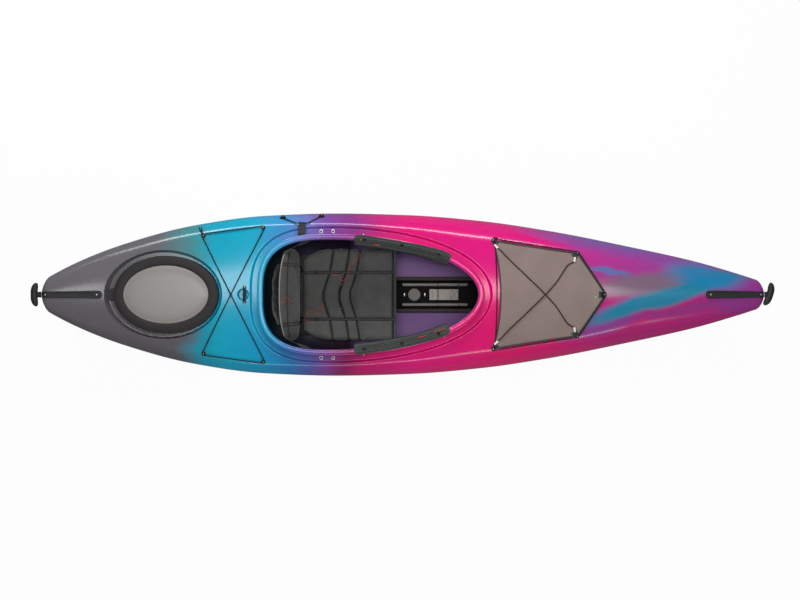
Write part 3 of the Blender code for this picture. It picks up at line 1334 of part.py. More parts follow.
def build_backrest():
    """A moulded back with its pad and rear pocket, pivoting on a cross rod in the seat base's ears."""
    moulded = material("seat_plastic", (0.02, 0.02, 0.022), 0.5)
    fabric = material("seat_fabric", (0.035, 0.035, 0.037), 0.9)
    rod_half = BACK_LUG_Y + BACK_LUG_WIDTH / 2 + 0.005
    pin = add_object("backrest_pivot_rod", rod(
        "backrest_pivot_rod", (0, -rod_half, 0), (0, rod_half, 0), BACK_PIN_RADIUS, 12),
        material("steel", (0.55, 0.55, 0.56), 0.3, 1.0))
    pin.location = (BACK_PIVOT_X, 0.0, BACK_PIVOT_Z)
    pivot = bpy.data.objects.new("backrest_pivot", None)
    bpy.context.scene.collection.objects.link(pivot)
    pivot.location = (BACK_PIVOT_X, 0.0, BACK_PIVOT_Z)
    bpy.context.view_layer.update()

    lean = math.radians(BACK_LEAN)

    def world(f, y, u):
        """A point f ahead of the pivot and u up, along the leaning back."""
        return (BACK_PIVOT_X + f * math.cos(lean) - u * math.sin(lean), y,
                BACK_PIVOT_Z + f * math.sin(lean) + u * math.cos(lean))

    groove = BACK_GROOVE_Y / BACK_HALF_WIDTH
    shares = [0.2, 0.45, 0.8, 0.93, 1.0]
    columns = grooved([-v for v in shares] + [0.0] + shares, [-groove, groove], 0.03)
    column_ys = [v * (BACK_HALF_WIDTH + BACK_PAD_OVERHANG) for v, _ in columns]
    column_fs = [BACK_WRAP * v * v for v, _ in columns]

    def shell_front(y):
        return float(np.interp(y, column_ys, column_fs))

    def span(v):
        """The back's low and high edges, drawn in towards its rounded ends."""
        drawn = BACK_HEIGHT * 0.24 * abs(v) ** 3
        return BACK_START + drawn * 0.6, BACK_START + BACK_HEIGHT - drawn

    rings = []
    for y in [-BACK_HALF_WIDTH, *column_ys[1:-1], BACK_HALF_WIDTH]:
        low, high = span(y / BACK_HALF_WIDTH)
        f = shell_front(y)
        behind = f - BACK_SHELL_THICKNESS
        middle = (low + high) / 2
        rings.append([
            world(f, y, low), world(f, y, middle), world(f, y, high),
            world(behind, y, high), world(behind, y, middle), world(behind, y, low),
        ])
    shell = add_object("backrest_shell", loft("backrest_shell", rings), moulded, pivot)
    radius = BACK_PIN_RADIUS + 0.007
    lug = [(0.0, BACK_START + 0.02), (-BACK_SHELL_THICKNESS, BACK_START + 0.02), (-radius, 0.012)]
    for a in (0, 36, 72, 108, 144, 180):
        lug.append((-radius * math.cos(math.radians(a)), -radius * math.sin(math.radians(a))))
    lug.append((radius * 0.7, 0.02))
    for side in (1, -1):
        a = side * (BACK_LUG_Y - BACK_LUG_WIDTH / 2)
        b = side * (BACK_LUG_Y + BACK_LUG_WIDTH / 2)
        bracket = cutter(f"lug_{side}", extruded(f"lug_{side}", lug, a, b, lambda f, u, y: world(f, y, u)))
        boolean(shell, bracket, "UNION")
    hole = cutter("lug_hole", rod(
        "lug_hole", (BACK_PIVOT_X, -0.2, BACK_PIVOT_Z), (BACK_PIVOT_X, 0.2, BACK_PIVOT_Z),
        BACK_PIN_RADIUS + CLEARANCE, 12))
    boolean(shell, hole, "DIFFERENCE")

    rows = [(0.0, 0.45), (0.08, 0.8), (0.25, 1.0), (0.5, 1.0), (0.75, 0.95), (0.92, 0.7), (1.0, 0.4)]

    front, back = [], []
    for share, hu in rows:
        for v, hv in columns:
            y = v * (BACK_HALF_WIDTH + BACK_PAD_OVERHANG)
            low, high = span(v)
            up = low - 0.004 + (high - low + 0.012) * share
            crown = 1 - 0.45 * abs(v) ** 2.5
            seat = shell_front(y) + CLEARANCE
            front.append(world(seat + BACK_PAD_THICKNESS * min(hu, hv) * crown, y, up))
            back.append(world(seat, y, up))
    add_object("backrest_pad", two_sided("backrest_pad", len(rows), len(columns), front, back), fabric, pivot)

    pocket = []
    behind = -BACK_SHELL_THICKNESS - CLEARANCE
    top, low = BACK_START + BACK_HEIGHT - 0.012, BACK_START + 0.02
    middle = low + (top - low) * 0.45
    thick = BACK_POCKET_THICKNESS
    for v in (-1.0, -0.6, 0.0, 0.6, 1.0):
        y = v * BACK_POCKET_HALF_WIDTH
        out = behind - BACK_POCKET_DEPTH * (1 - 0.25 * v * v)
        belly = behind + (out - behind) * 0.7
        pocket.append([
            world(behind, y, top), world(out, y, low), world(out - thick, y, low),
            world(belly - thick, y, middle), world(behind - thick, y, top),
        ])
    add_object("backrest_rear_panel", loft("backrest_rear_panel", pocket), fabric, pivot)


def build_back_straps(deck):
    """A webbing strap on each side, from the backrest's end to a bracket under the seat bolts."""
    webbing = material("webbing", (0.02, 0.02, 0.02), 0.9)
    lean = math.radians(BACK_LEAN)
    up = BACK_START + BACK_HEIGHT * 0.5
    for side, word in ((1, "port"), (-1, "starboard")):
        x0 = BACK_PIVOT_X - up * math.sin(lean) + BACK_WRAP
        z0 = BACK_PIVOT_Z + up * math.cos(lean)
        y0 = BACK_HALF_WIDTH + BACK_PAD_OVERHANG + WEBBING / 2 + CLEARANCE
        end_y = abs(bolt_places()[0][1])
        end_x = BOLT_REAR_X - 0.012
        under = min(
            deck.height(end_x + dx, end_y + dy) for dx in (0.0, 0.035, 0.075) for dy in (-0.012, 0.0, 0.012)
        )
        z_end = under - MOAT_DEPTH - WALL - BOLT_TAIL - 2 * CLEARANCE - WEBBING
        half = BACK_STRAP_WIDTH / 2
        path = [((x0, y0, z0), 1.0), ((x0 + 0.03, y0 + 0.012, z0 + 0.002), 1.0),
                ((x0 + 0.075, y0 + 0.034, (z0 + z_end) / 2), 0.6),
                ((end_x, end_y, z_end), 0.0), ((end_x + 0.075, end_y, z_end), 0.0)]
        rings = []
        for (x, y, z), upright in path:
            a = math.radians(90 * upright)
            across = Vector((0.0, -math.cos(a), math.sin(a))) * half
            thick = Vector((0.0, math.sin(a), math.cos(a))) * (WEBBING / 2)
            corners = [-across - thick, across - thick, across + thick, thick - across]
            rings.append([(x + p.x, side * (y + p.y), z + p.z) for p in corners])
        add_object(f"backrest_strap_{word}", loft(f"backrest_strap_{word}", rings), webbing)


def build_seat_bolts(deck):
    """Four bolts through the moat beside the seat."""
    steel = material("steel", (0.55, 0.55, 0.56), 0.3, 1.0)
    for i, (x, y) in enumerate(bolt_places(), 1):
        seat = max(
            deck.height(px, py) for px, py in [(x, y), *circle(x, y, BOLT_HEAD_RADIUS, 12)]
        ) - MOAT_DEPTH + CLEARANCE
        tail = deck.height(x, y) - MOAT_DEPTH - WALL - BOLT_TAIL - seat
        profile = [(BOLT_RADIUS, tail), (BOLT_RADIUS, 0.0), (BOLT_HEAD_RADIUS, 0.0),
                   (BOLT_HEAD_RADIUS, BOLT_HEAD_HEIGHT * 0.5), (BOLT_HEAD_RADIUS * 0.7, BOLT_HEAD_HEIGHT)]
        data = loft(f"seat_bolt_{i}", [[(*p, z) for p in circle(0, 0, r, 12)] for r, z in profile])
        bolt = add_object(f"seat_bolt_{i}", data, steel)
        bolt.location = (x, y, seat)


def build_thigh_braces():
    """A bent plate bolted along each side of the coaming, with a pad over it."""
    moulded = material("seat_plastic", (0.02, 0.02, 0.022), 0.5)
    fabric = material("seat_fabric", (0.035, 0.035, 0.037), 0.9)
    count = 11
    for side, word in ((1, "port"), (-1, "starboard")):
        plate_rings, pad_rings = [], []
        for i in range(count):
            share = i / (count - 1)
            x = BRACE_REAR_X + (BRACE_FRONT_X - BRACE_REAR_X) * share
            y = opening_half_width(x)
            slope = (opening_half_width(x + 0.002) - opening_half_width(x - 0.002)) / 0.004
            nx, ny = -slope / math.hypot(1, slope), 1 / math.hypot(1, slope)
            ends = math.sqrt(1 - abs(2 * share - 1) ** 8)
            draw = 0.72 + 0.28 * ends

            def put(o, z):
                middle = (BRACE_OUTER - BRACE_INNER) / 2
                o = middle + (o - middle) * draw
                return (x + nx * o, side * (y + ny * o), rim_height(x + nx * o) + z)

            base = 2 * CLEARANCE
            t = BRACE_THICKNESS
            plate_rings.append([
                put(BRACE_OUTER, base), put(0.0, base), put(-BRACE_INNER, -BRACE_DROP),
                put(-BRACE_INNER, -BRACE_DROP + t), put(0.001, base + t), put(BRACE_OUTER, base + t),
            ])
            gap = 3 * CLEARANCE
            low = base + t + gap
            p = BRACE_PAD_THICKNESS * (0.55 + 0.45 * ends)
            pad_rings.append([
                put(-BRACE_INNER, -BRACE_DROP + t + gap), put(0.001, low), put(BRACE_OUTER, low),
                put(BRACE_OUTER + 0.0015, low + p * 0.5), put(BRACE_OUTER - 0.005, low + p * 0.9),
                put(-0.004, low + p * 0.96), put(-BRACE_INNER + 0.005, -BRACE_DROP + t + p + 0.002),
                put(-BRACE_INNER - 0.002, -BRACE_DROP + t + p * 0.6),
            ])
        add_object(f"thigh_brace_{word}", loft(f"thigh_brace_{word}", plate_rings), moulded)
        add_object(f"thigh_pad_{word}", loft(f"thigh_pad_{word}", pad_rings), fabric)


def build_console(inner):
    """The keel console ahead of the seat: its tray, two rails, the round cap and the lifter's strap."""
    ends = (CONSOLE_REAR_X, CONSOLE_FRONT_X)
    low = max(inner.floor(x, y) for x in ends for y in (0.0, CONSOLE_HALF_WIDTH)) + CLEARANCE
    wide, rib = CONSOLE_HALF_WIDTH, CONSOLE_HALF_WIDTH - CONSOLE_FLANGE
    floor, top = low + CONSOLE_FLOOR, low + CONSOLE_HEIGHT
    outline = [(-wide, low), (wide, low), (wide - 0.003, top), (rib + 0.003, top), (rib, floor),
               (-rib, floor), (-rib - 0.003, top), (-wide + 0.003, top)]

    def along(y, z, x):
        return (x, y, z)

    add_object("floor_console", extruded("floor_console", outline, CONSOLE_REAR_X, CONSOLE_FRONT_X, along),
               material("console_black", (0.02, 0.02, 0.02), 0.45))
    bed = floor + CLEARANCE
    half, tall = RAIL_WIDTH / 2, RAIL_HEIGHT
    slot = RAIL_WIDTH * 0.18
    for side, word in ((1, "port"), (-1, "starboard")):
        profile = [
            (-half, 0.0), (half, 0.0), (half, tall), (slot, tall), (slot, tall * 0.45),
            (-slot, tall * 0.45), (-slot, tall), (-half, tall),
        ]
        profile = [(y + side * RAIL_Y, z + bed) for y, z in profile]
        name = f"console_rail_{word}"
        add_object(name, extruded(name, profile, RAIL_REAR_X, RAIL_FRONT_X, along),
                   material("rail_grey", (0.35, 0.34, 0.32), 0.4, 0.9))
    layers = [(CAP_RADIUS, 0.0), (CAP_RADIUS, CAP_HEIGHT * 0.6), (CAP_RADIUS * 0.9, CAP_HEIGHT),
              (CAP_RADIUS * 0.5, CAP_HEIGHT * 0.92)]
    cap = loft("console_cap", [[(*p, z) for p in circle(0, 0, r, 24)] for r, z in layers])
    add_object("console_cap", cap, material("cap_grey", (0.3, 0.28, 0.26), 0.5)).location = (CAP_X, 0.0, bed)
    w, tail = LIFTER_STRAP_WIDTH / 2, PULL_LOOP_WIDTH / 2
    a, b = LIFTER_STRAP_REAR_X, LIFTER_STRAP_FRONT_X
    plan = [(a, -w), (b, -w), (b + 0.008, -tail), (b + PULL_LOOP_LENGTH - tail, -tail),
            (b + PULL_LOOP_LENGTH, -tail * 0.4), (b + PULL_LOOP_LENGTH, tail * 0.4),
            (b + PULL_LOOP_LENGTH - tail, tail), (b + 0.008, tail), (b, w), (a, w)]
    add_object("leg_lifter_strap", prism("leg_lifter_strap", plan, bed, bed + WEBBING),
               material("webbing_grey", (0.12, 0.115, 0.11), 0.9))


def build_foot_braces(inner):
    """A rail along each side of the hull under the foredeck, and the pedal that slides on it."""
    moulded = material("brace_black", (0.015, 0.015, 0.016), 0.45)
    half = FOOT_RAIL_HEIGHT / 2
    ends = []
    for x in (FOOT_RAIL_REAR_X, FOOT_RAIL_FRONT_X):
        near = min(inner.side(x, FOOT_RAIL_Z + dz) for dz in (-half, 0.0, half))
        ends.append(Vector((x, near - 2 * CLEARANCE, 0.0)))
    forward = (ends[1] - ends[0]).normalized()
    inboard = Vector((forward.y, -forward.x, 0.0))
    length = (ends[1] - ends[0]).length
    middle = (PEDAL_X - ends[0].x) / forward.x
    depth = FOOT_RAIL_DEPTH
    rib = FOOT_RAIL_HEIGHT * 0.2
    gap = 2 * CLEARANCE
    web = depth / 3
    rail = [
        (0.0, -half), (0.0, half), (web, half), (web, rib),
        (depth, rib), (depth, -rib), (web, -rib), (web, -half),
    ]
    near, far = web + gap, depth + gap
    back = depth + PEDAL_SHOE_DEPTH
    shoe = [
        (near, -half), (near, -rib - gap), (far, -rib - gap), (far, rib + gap),
        (near, rib + gap), (near, half), (back, half), (back, -half),
    ]
    reach = depth + PEDAL_WIDTH
    plate = [
        (depth + 0.004, 0.05), (depth + 0.004, -0.018), (0.045, -0.06), (0.045 + PEDAL_WIDTH * 0.6, -0.062),
        (reach, -0.045), (reach, 0.05), (depth + PEDAL_WIDTH * 0.75, 0.068), (0.035, 0.066),
    ]
    for side, word in ((1, "port"), (-1, "starboard")):
        def place(a, b, along, side=side):
            p = ends[0] + forward * along + inboard * a
            return (p.x, side * p.y, FOOT_RAIL_Z + b)

        add_object(f"foot_rail_{word}", extruded(f"foot_rail_{word}", rail, 0.0, length, place),
                   material("rail_black", (0.03, 0.03, 0.03), 0.4))
        start = middle - PEDAL_SHOE_LENGTH / 2
        pedal = add_object(f"foot_pedal_{word}", extruded(
            f"foot_pedal_{word}", shoe, start, start + PEDAL_SHOE_LENGTH, place), moulded)
        tread = cutter(f"tread_{word}", extruded(
            f"tread_{word}", plate, start + 0.008, start + 0.008 + PEDAL_THICKNESS, place))
        boolean(pedal, tread, "UNION")


for old in list(bpy.data.objects):
    bpy.data.objects.remove(old)
deck_surface, inner_surface = build_hull()
build_hatch_cover()
build_bulkhead()
build_skeg()
build_stern_rigging(deck_surface)
build_bow_rigging(deck_surface)
build_paddle_park(deck_surface)
build_handle(-1, deck_surface, "stern", STERN_GRIP_REACH, 0.0)
build_handle(1, deck_surface, "bow", BOW_GRIP_REACH, BOW_GRIP_TWIST)
build_seat(inner_surface)
build_backrest()
build_back_straps(deck_surface)
build_seat_bolts(deck_surface)
build_thigh_braces()
build_console(inner_surface)
build_foot_braces(inner_surface)
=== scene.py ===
"""Looks for a crossover kayak: a rotomoulded sit-inside hull with its deck fittings and outfitted cockpit."""

import math

import bmesh
import bpy
import numpy as np
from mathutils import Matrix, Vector
from mathutils.geometry import delaunay_2d_cdt


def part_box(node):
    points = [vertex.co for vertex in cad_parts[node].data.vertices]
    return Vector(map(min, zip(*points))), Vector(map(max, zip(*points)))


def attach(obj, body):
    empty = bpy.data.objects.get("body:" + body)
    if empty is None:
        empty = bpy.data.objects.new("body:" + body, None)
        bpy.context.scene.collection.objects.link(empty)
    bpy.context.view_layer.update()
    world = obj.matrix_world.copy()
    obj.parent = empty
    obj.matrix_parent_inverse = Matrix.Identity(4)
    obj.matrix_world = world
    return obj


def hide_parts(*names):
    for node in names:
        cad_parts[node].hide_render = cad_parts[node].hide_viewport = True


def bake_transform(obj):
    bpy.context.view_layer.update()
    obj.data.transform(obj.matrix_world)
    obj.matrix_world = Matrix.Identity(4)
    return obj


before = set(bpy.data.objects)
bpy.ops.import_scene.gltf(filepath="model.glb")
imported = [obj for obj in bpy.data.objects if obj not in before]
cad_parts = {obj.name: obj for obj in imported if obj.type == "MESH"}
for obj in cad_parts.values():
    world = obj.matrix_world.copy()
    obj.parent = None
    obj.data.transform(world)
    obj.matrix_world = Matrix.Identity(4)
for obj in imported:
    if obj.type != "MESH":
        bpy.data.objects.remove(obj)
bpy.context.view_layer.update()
scene = bpy.context.scene


# ----------
# Studio: a long lens straight above a white sweep, with a large soft light on the port side and
# weaker fill from the other side, as for a catalogue plan view.
CAMERA_HEIGHT = 5.2
LENS = 49.85
AXIS_X, AXIS_Y = 402.5, 294.6
FLOOR_HALF, FLOOR_Z = 30, -0.001

camera_data = bpy.data.cameras.new("plan_camera")
camera_data.lens = LENS
camera_data.sensor_width = 36.0
camera_data.shift_x = (400 - AXIS_X) / 800
camera_data.shift_y = (AXIS_Y - 300) / 800
camera_data.clip_end = 60.0
camera = bpy.data.objects.new("plan_camera", camera_data)
camera.location = (0.0, 0.0, CAMERA_HEIGHT)
scene.collection.objects.link(camera)
scene.camera = camera


def soft_light(name, place, target, size, power):
    """A wide lamp that looks at a target."""
    data = bpy.data.lights.new(name, "AREA")
    data.shape = "RECTANGLE"
    data.size, data.size_y = size
    data.energy = power
    lamp = bpy.data.objects.new(name, data)
    lamp.location = place
    lamp.rotation_euler = (Vector(target) - Vector(place)).to_track_quat("-Z", "Y").to_euler()
    scene.collection.objects.link(lamp)


soft_light("key", (-0.6, 3.5, 2.5), (0, 0, 0.1), (4.2, 0.5), 110.0)
soft_light("fill", (0.4, -3.2, 2.4), (0, 0, 0.1), (4.2, 0.4), 34.0)
soft_light("top", (0.0, 0.3, 4.6), (0, 0, 0), (4.2, 0.9), 78.0)


def fed(tree, node, values):
    """Gives a node's inputs their values, by place or by name, as numbers or as links."""
    for key, value in values.items() if isinstance(values, dict) else enumerate(values):
        if isinstance(value, bpy.types.NodeSocket):
            tree.links.new(value, node.inputs[key])
        else:
            node.inputs[key].default_value = value
    return node.outputs


def put(tree, kind, values=(), out=0, **settings):
    """Adds a shader node and feeds it."""
    node = tree.nodes.new("ShaderNode" + kind)
    for key, value in settings.items():
        setattr(node, key, value)
    return fed(tree, node, values)[out]


def maths(tree, operation, *values):
    return put(tree, "Math", values, operation=operation)


world = bpy.data.worlds.new("studio")
world.use_nodes = True
scene.world = world
tree = world.node_tree
sky = put(tree, "Background", ((0.62, 0.63, 0.65, 1.0), 0.36))
white = put(tree, "Background", ((1.0, 1.0, 1.0, 1.0), 1.0))
seen = put(tree, "LightPath", out="Is Camera Ray")
through = put(tree, "LightPath", out="Is Transmission Ray")
seen = maths(tree, "MAXIMUM", seen, through)
tree.links.new(put(tree, "MixShader", (seen, sky, white)), tree.nodes["World Output"].inputs["Surface"])

floor_data = bpy.data.meshes.new("studio_floor")
corners = [(FLOOR_HALF * a, FLOOR_HALF * b, FLOOR_Z) for a, b in ((-1, -1), (1, -1), (1, 1), (-1, 1))]
floor_data.from_pydata(corners, [], [(0, 1, 2, 3)])
floor = bpy.data.objects.new("studio_floor", floor_data)
scene.collection.objects.link(floor)
floor_finish = bpy.data.materials.new("studio_floor")
floor_finish.use_nodes = True
tree = floor_finish.node_tree
matte = tree.nodes["Principled BSDF"]
matte.inputs["Base Color"].default_value = (0.85, 0.85, 0.85, 1.0)
matte.inputs["Roughness"].default_value = 0.9
matte.inputs["Specular IOR Level"].default_value = 0.1
bright = put(tree, "Emission", ((1.0, 1.0, 1.0, 1.0), 1.0))
share = maths(tree, "MULTIPLY", put(tree, "LightPath", out="Is Camera Ray"), 0.955)
blend = put(tree, "MixShader", (share, matte.outputs[0], bright))
dark = put(tree, "Emission", ((0.0, 0.0, 0.0, 1.0), 0.0))
glossy = maths(tree, "MULTIPLY", put(tree, "LightPath", out="Is Glossy Ray"), 0.8)
blend = put(tree, "MixShader", (glossy, blend, dark))
tree.links.new(blend, tree.nodes["Material Output"].inputs["Surface"])
floor_data.materials.append(floor_finish)

scene.view_settings.view_transform = "Standard"


# ----------
# Hull: one rotomoulded polyethylene shell, 4 mm thick. Its deck has a spray-skirt moat round the
# coaming, a sunken tray for the hatch and a finger pocket under the security bar. The pigment is
# shaken into the mould by hand, so the colours run into each other with streaks at the bow.
LENGTH, BEAM, DEPTH, WALL, TIP = 3.2, 0.735, 0.355, 0.004, 0.032
HALF_BREADTH = [
    (-1.0, 0.165), (-0.946, 0.309), (-0.882, 0.448), (-0.785, 0.614), (-0.589, 0.849), (-0.39, 0.969),
    (-0.188, 1.0), (0.016, 0.98), (0.218, 0.91), (0.42, 0.779), (0.62, 0.604), (0.816, 0.409),
    (0.943, 0.239), (1.0, 0.15),
]
SHEER_RISE = [
    (-1.0, 0.8), (-0.9, 0.7), (-0.6, 0.59), (-0.2, 0.54), (0.2, 0.54), (0.6, 0.6), (0.9, 0.73), (1.0, 0.82),
]
KEEL_RISE = [
    (-1.0, 0.56), (-0.95, 0.34), (-0.85, 0.16), (-0.7, 0.055), (-0.45, 0.0), (0.4, 0.0),
    (0.65, 0.04), (0.82, 0.14), (0.94, 0.32), (1.0, 0.56),
]
DECK_RISE = [
    (-1.0, 0.885), (-0.8, 0.81), (-0.6, 0.795), (-0.41, 0.8), (-0.1, 0.86), (0.21, 0.975), (0.3, 0.995),
    (0.4, 1.0), (0.7, 0.965), (0.9, 0.935), (1.0, 0.925),
]
CREASE_BREADTH = [
    (-1.0, 0.6), (-0.946, 0.74), (-0.8, 0.74), (-0.65, 0.8), (-0.38, 0.846), (-0.17, 0.838),
    (0.0, 0.8), (0.22, 0.72), (0.48, 0.688), (0.6, 0.61), (0.67, 0.5), (0.84, 0.39), (1.0, 0.4),
]
CREASE_RISE = [
    (-1.0, 0.75), (-0.6, 0.68), (-0.35, 0.8), (-0.1, 0.85), (0.2, 0.78), (0.5, 0.8), (0.8, 0.85), (1.0, 0.8),
]
FLAT_BREADTH = [(-1.0, 0.1), (-0.7, 0.22), (-0.3, 0.36), (0.3, 0.36), (0.7, 0.2), (1.0, 0.1)]
OPENING_X, OPENING_REAR, OPENING_FRONT, OPENING_HALF, OPENING_FULLNESS = -0.318, 0.298, 0.65, 0.2415, 3.0
RIM_RISES = (0.0274, 0.0281)
MOAT_DEPTH, MOAT_WIDTH = 0.009, 0.055
HATCH_X, HATCH_LENGTH, HATCH_WIDTH, HATCH_DROP, HATCH_RIM = -1.052, 0.39, 0.27, 0.0358, 0.022
TRAY_X, TRAY_LENGTH, TRAY_WIDTH = -1.062, 0.522, 0.402
TRAY_INSET, TRAY_CURVE, TRAY_CLIMB = 0.014, 0.016, 0.06
POCKET_X, POCKET_RADIUS, POCKET_DEPTH = -0.708, 0.025, 0.02
SKEG_FRONT, SKEG_REAR, SKEG_HALF, SKEG_ROOF = -1.03, -1.31, 0.007, 0.14
STEP = 0.002


def fair(table, places):
    """A fair curve through the pairs of a table, which never overshoots them."""
    xs, ys = np.array(table).T
    steps = np.diff(xs)
    slopes = np.diff(ys) / steps
    tangents = np.concatenate([slopes[:1], np.zeros(len(xs) - 2), slopes[-1:]])
    for i in range(1, len(xs) - 1):
        before, after = slopes[i - 1], slopes[i]
        if before * after > 0:
            w1, w2 = 2 * steps[i] + steps[i - 1], steps[i] + 2 * steps[i - 1]
            tangents[i] = (w1 + w2) / (w1 / before + w2 / after)
    i = np.clip(np.searchsorted(xs, places) - 1, 0, len(xs) - 2)
    h, t = steps[i], (places - xs[i]) / steps[i]
    return (
        (2 * t**3 - 3 * t**2 + 1) * ys[i] + (t**3 - 2 * t**2 + t) * h * tangents[i]
        + (3 * t**2 - 2 * t**3) * ys[i + 1] + (t**3 - t**2) * h * tangents[i + 1]
    )


def smoothed(values, sigma):
    """Values along the last axis, blurred; their ends carry straight on."""
    reach = int(3 * sigma) + 1
    weights = np.exp(-0.5 * (np.arange(-reach, reach + 1) / sigma) ** 2)
    weights /= weights.sum()
    steps = np.arange(reach, 0, -1)
    first = values[..., :1] - (values[..., 1:2] - values[..., :1]) * steps
    last = values[..., -1:] + (values[..., -1:] - values[..., -2:-1]) * steps[::-1]
    padded = np.concatenate([first, values, last], axis=-1)
    return np.apply_along_axis(lambda row: np.convolve(row, weights, "valid"), -1, padded)


# A table of the whole side: the row is the place along the hull, and the column the place round it
# (keel, 0; sheer, 0.5; crease, 0.75; middle of the deck, 1)
line_x = np.linspace(-LENGTH / 2, LENGTH / 2, 801)
tables = (HALF_BREADTH, SHEER_RISE, KEEL_RISE, DECK_RISE, CREASE_BREADTH, CREASE_RISE, FLAT_BREADTH)
lines = [smoothed(fair(table, line_x / (LENGTH / 2)), 7) for table in tables]
straight = LENGTH / 2 - TIP
reach_p = straight + TIP * math.pi / 2
row_p = np.linspace(-reach_p, reach_p, int(2 * reach_p / STEP) + 1)
turn = np.clip((np.abs(row_p) - straight) / TIP, 0, math.pi / 2)
row_x = np.where(turn > 0, np.sign(row_p) * (straight + TIP * np.sin(turn)), row_p)
breadth, sheer, keel, deck, crease_y, crease_z, flat = [np.interp(row_x, line_x, line) for line in lines]
breadth = breadth * BEAM / 2 * np.cos(turn)
sheer = sheer * DEPTH
keel = sheer + (keel * DEPTH - sheer) * np.cos(turn)
deck = sheer + (deck * DEPTH - sheer) * np.cos(turn)
flat, crease_y = breadth * flat, breadth * crease_y
crease_z = sheer + (deck - sheer) * crease_z
COLUMNS = 121
half_hull = np.zeros((len(row_p), COLUMNS, 3))
for i in range(len(row_p)):
    b, s, k, d, cy, cz, f = breadth[i], sheer[i], keel[i], deck[i], crease_y[i], crease_z[i], flat[i]
    angle = np.linspace(0, math.pi / 2, 40)
    bilge = np.stack([f + (b - f) * np.sin(angle) ** (2 / 2.6), s - (s - k) * np.cos(angle) ** (2 / 2.6)], 1)
    bilge = np.vstack([[(0, k)], bilge])
    share = angle / (math.pi / 2)
    chord = np.stack([b + (cy - b) * share, s + (cz - s) * share], 1)
    bulge = np.stack([cy + (b - cy) * np.cos(angle), s + (cz - s) * np.sin(angle)], 1)
    flank = chord + (bulge - chord) * 0.6
    ys = cy * (1 - share)
    crown = np.stack([ys, d - (d - cz) * (ys / max(cy, 1e-9)) ** 2], 1)
    for part, low, high in ((bilge, 0, 60), (flank, 60, 90), (crown, 90, 120)):
        gone = np.concatenate([[0], np.cumsum(np.linalg.norm(np.diff(part, axis=0), axis=1))])
        wanted = np.linspace(0, gone[-1], high - low + 1)
        half_hull[i, low:high + 1, 1] = np.interp(wanted, gone, part[:, 0])
        half_hull[i, low:high + 1, 2] = np.interp(wanted, gone, part[:, 1])
mirrored = np.concatenate([half_hull[:, 6:0:-1] * (1, -1, 1), half_hull, half_hull[:, -2:-8:-1] * (1, -1, 1)], axis=1)
for k in (1, 2):
    half_hull[..., k] = smoothed(mirrored[..., k], 1.6)[:, 6:-6]
half_hull[..., 0] = row_x[:, None]
half_hull[:, (0, -1), 1] = 0.0
half_hull = np.concatenate([
    half_hull, np.gradient(half_hull, STEP, axis=0), np.gradient(half_hull, 1 / (COLUMNS - 1), axis=1)], axis=2)


def section_at(p):
    """The rows of the table at places along the hull."""
    at = np.clip((p + reach_p) / (row_p[1] - row_p[0]), 0, len(row_p) - 1.001)
    i = at.astype(int)
    t = (at - i)[:, None, None]
    return half_hull[i] * (1 - t) + half_hull[i + 1] * t


def on_side(p, r):
    """Points of the table, each with its run along the hull and round it."""
    at, round_at = (p + reach_p) / (row_p[1] - row_p[0]), r * (COLUMNS - 1)
    i = np.clip(at.astype(int), 0, len(row_p) - 2)
    j = np.clip(round_at.astype(int), 0, COLUMNS - 2)
    t, u = (at - i)[:, None], (round_at - j)[:, None]
    low = half_hull[i, j] * (1 - t) + half_hull[i + 1, j] * t
    high = half_hull[i, j + 1] * (1 - t) + half_hull[i + 1, j + 1] * t
    return low * (1 - u) + high * u


def along_hull(x):
    """The place along the table of an x."""
    past = np.clip((np.abs(x) - straight) / TIP, 0, 1)
    return np.where(past > 0, np.sign(x) * (straight + TIP * np.arcsin(past)), x)


def ring_outline(points, count):
    """A closed outline in plan, sampled evenly, with its outward normals."""
    loop = np.vstack([points, points[:1]])
    gone = np.concatenate([[0.0], np.cumsum(np.linalg.norm(np.diff(loop, axis=0), axis=1))])
    wanted = (np.arange(count) + 0.5) * gone[-1] / count
    at = np.stack([np.interp(wanted, gone, loop[:, k]) for k in range(2)], axis=1)
    run = np.roll(at, -1, axis=0) - np.roll(at, 1, axis=0)
    run /= np.linalg.norm(run, axis=1)[:, None]
    return at, np.stack([run[:, 1], -run[:, 0]], axis=1)


def opening_outline(count):
    """The cockpit's opening: an egg with a square rear and a long front."""
    angle = np.linspace(0, 2 * math.pi, 1441)[:-1]
    c, s = np.cos(angle), np.sin(angle)
    power = 2 / OPENING_FULLNESS
    x = np.where(c >= 0, OPENING_FRONT * c, -OPENING_REAR * np.abs(c) ** power)
    y = np.where(c >= 0, s, np.sign(s) * np.abs(s) ** power) * OPENING_HALF
    return ring_outline(np.stack([OPENING_X + x, y], axis=1), count)


def ellipse_outline(x, length, width, count):
    angle = np.linspace(0, 2 * math.pi, 1441)[:-1]
    points = np.stack([x + length / 2 * np.cos(angle), width / 2 * np.sin(angle)], axis=1)
    return ring_outline(points, count)


opening = opening_outline(720)
tray = ellipse_outline(TRAY_X, TRAY_LENGTH, TRAY_WIDTH, 360)
pocket = ellipse_outline(POCKET_X, 2 * POCKET_RADIUS, 2 * POCKET_RADIUS, 90)
tray_floor = np.interp(HATCH_X, row_x, deck) - HATCH_DROP


def beyond(outline, plan):
    """How far points in plan are outside an outline, and which way that is."""
    at, normals = outline
    away, facing = np.empty(len(plan)), np.empty((len(plan), 2))
    for i in range(0, len(plan), 4000):
        part = plan[i:i + 4000]
        near = np.argmin(((part[:, None] - at[None]) ** 2).sum(axis=2), axis=1)
        facing[i:i + 4000] = normals[near]
        away[i:i + 4000] = ((part - at[near]) * normals[near]).sum(axis=1)
    return away, facing


def ease(t):
    t = np.clip(t, 0, 1)
    return t * t * (3 - 2 * t)


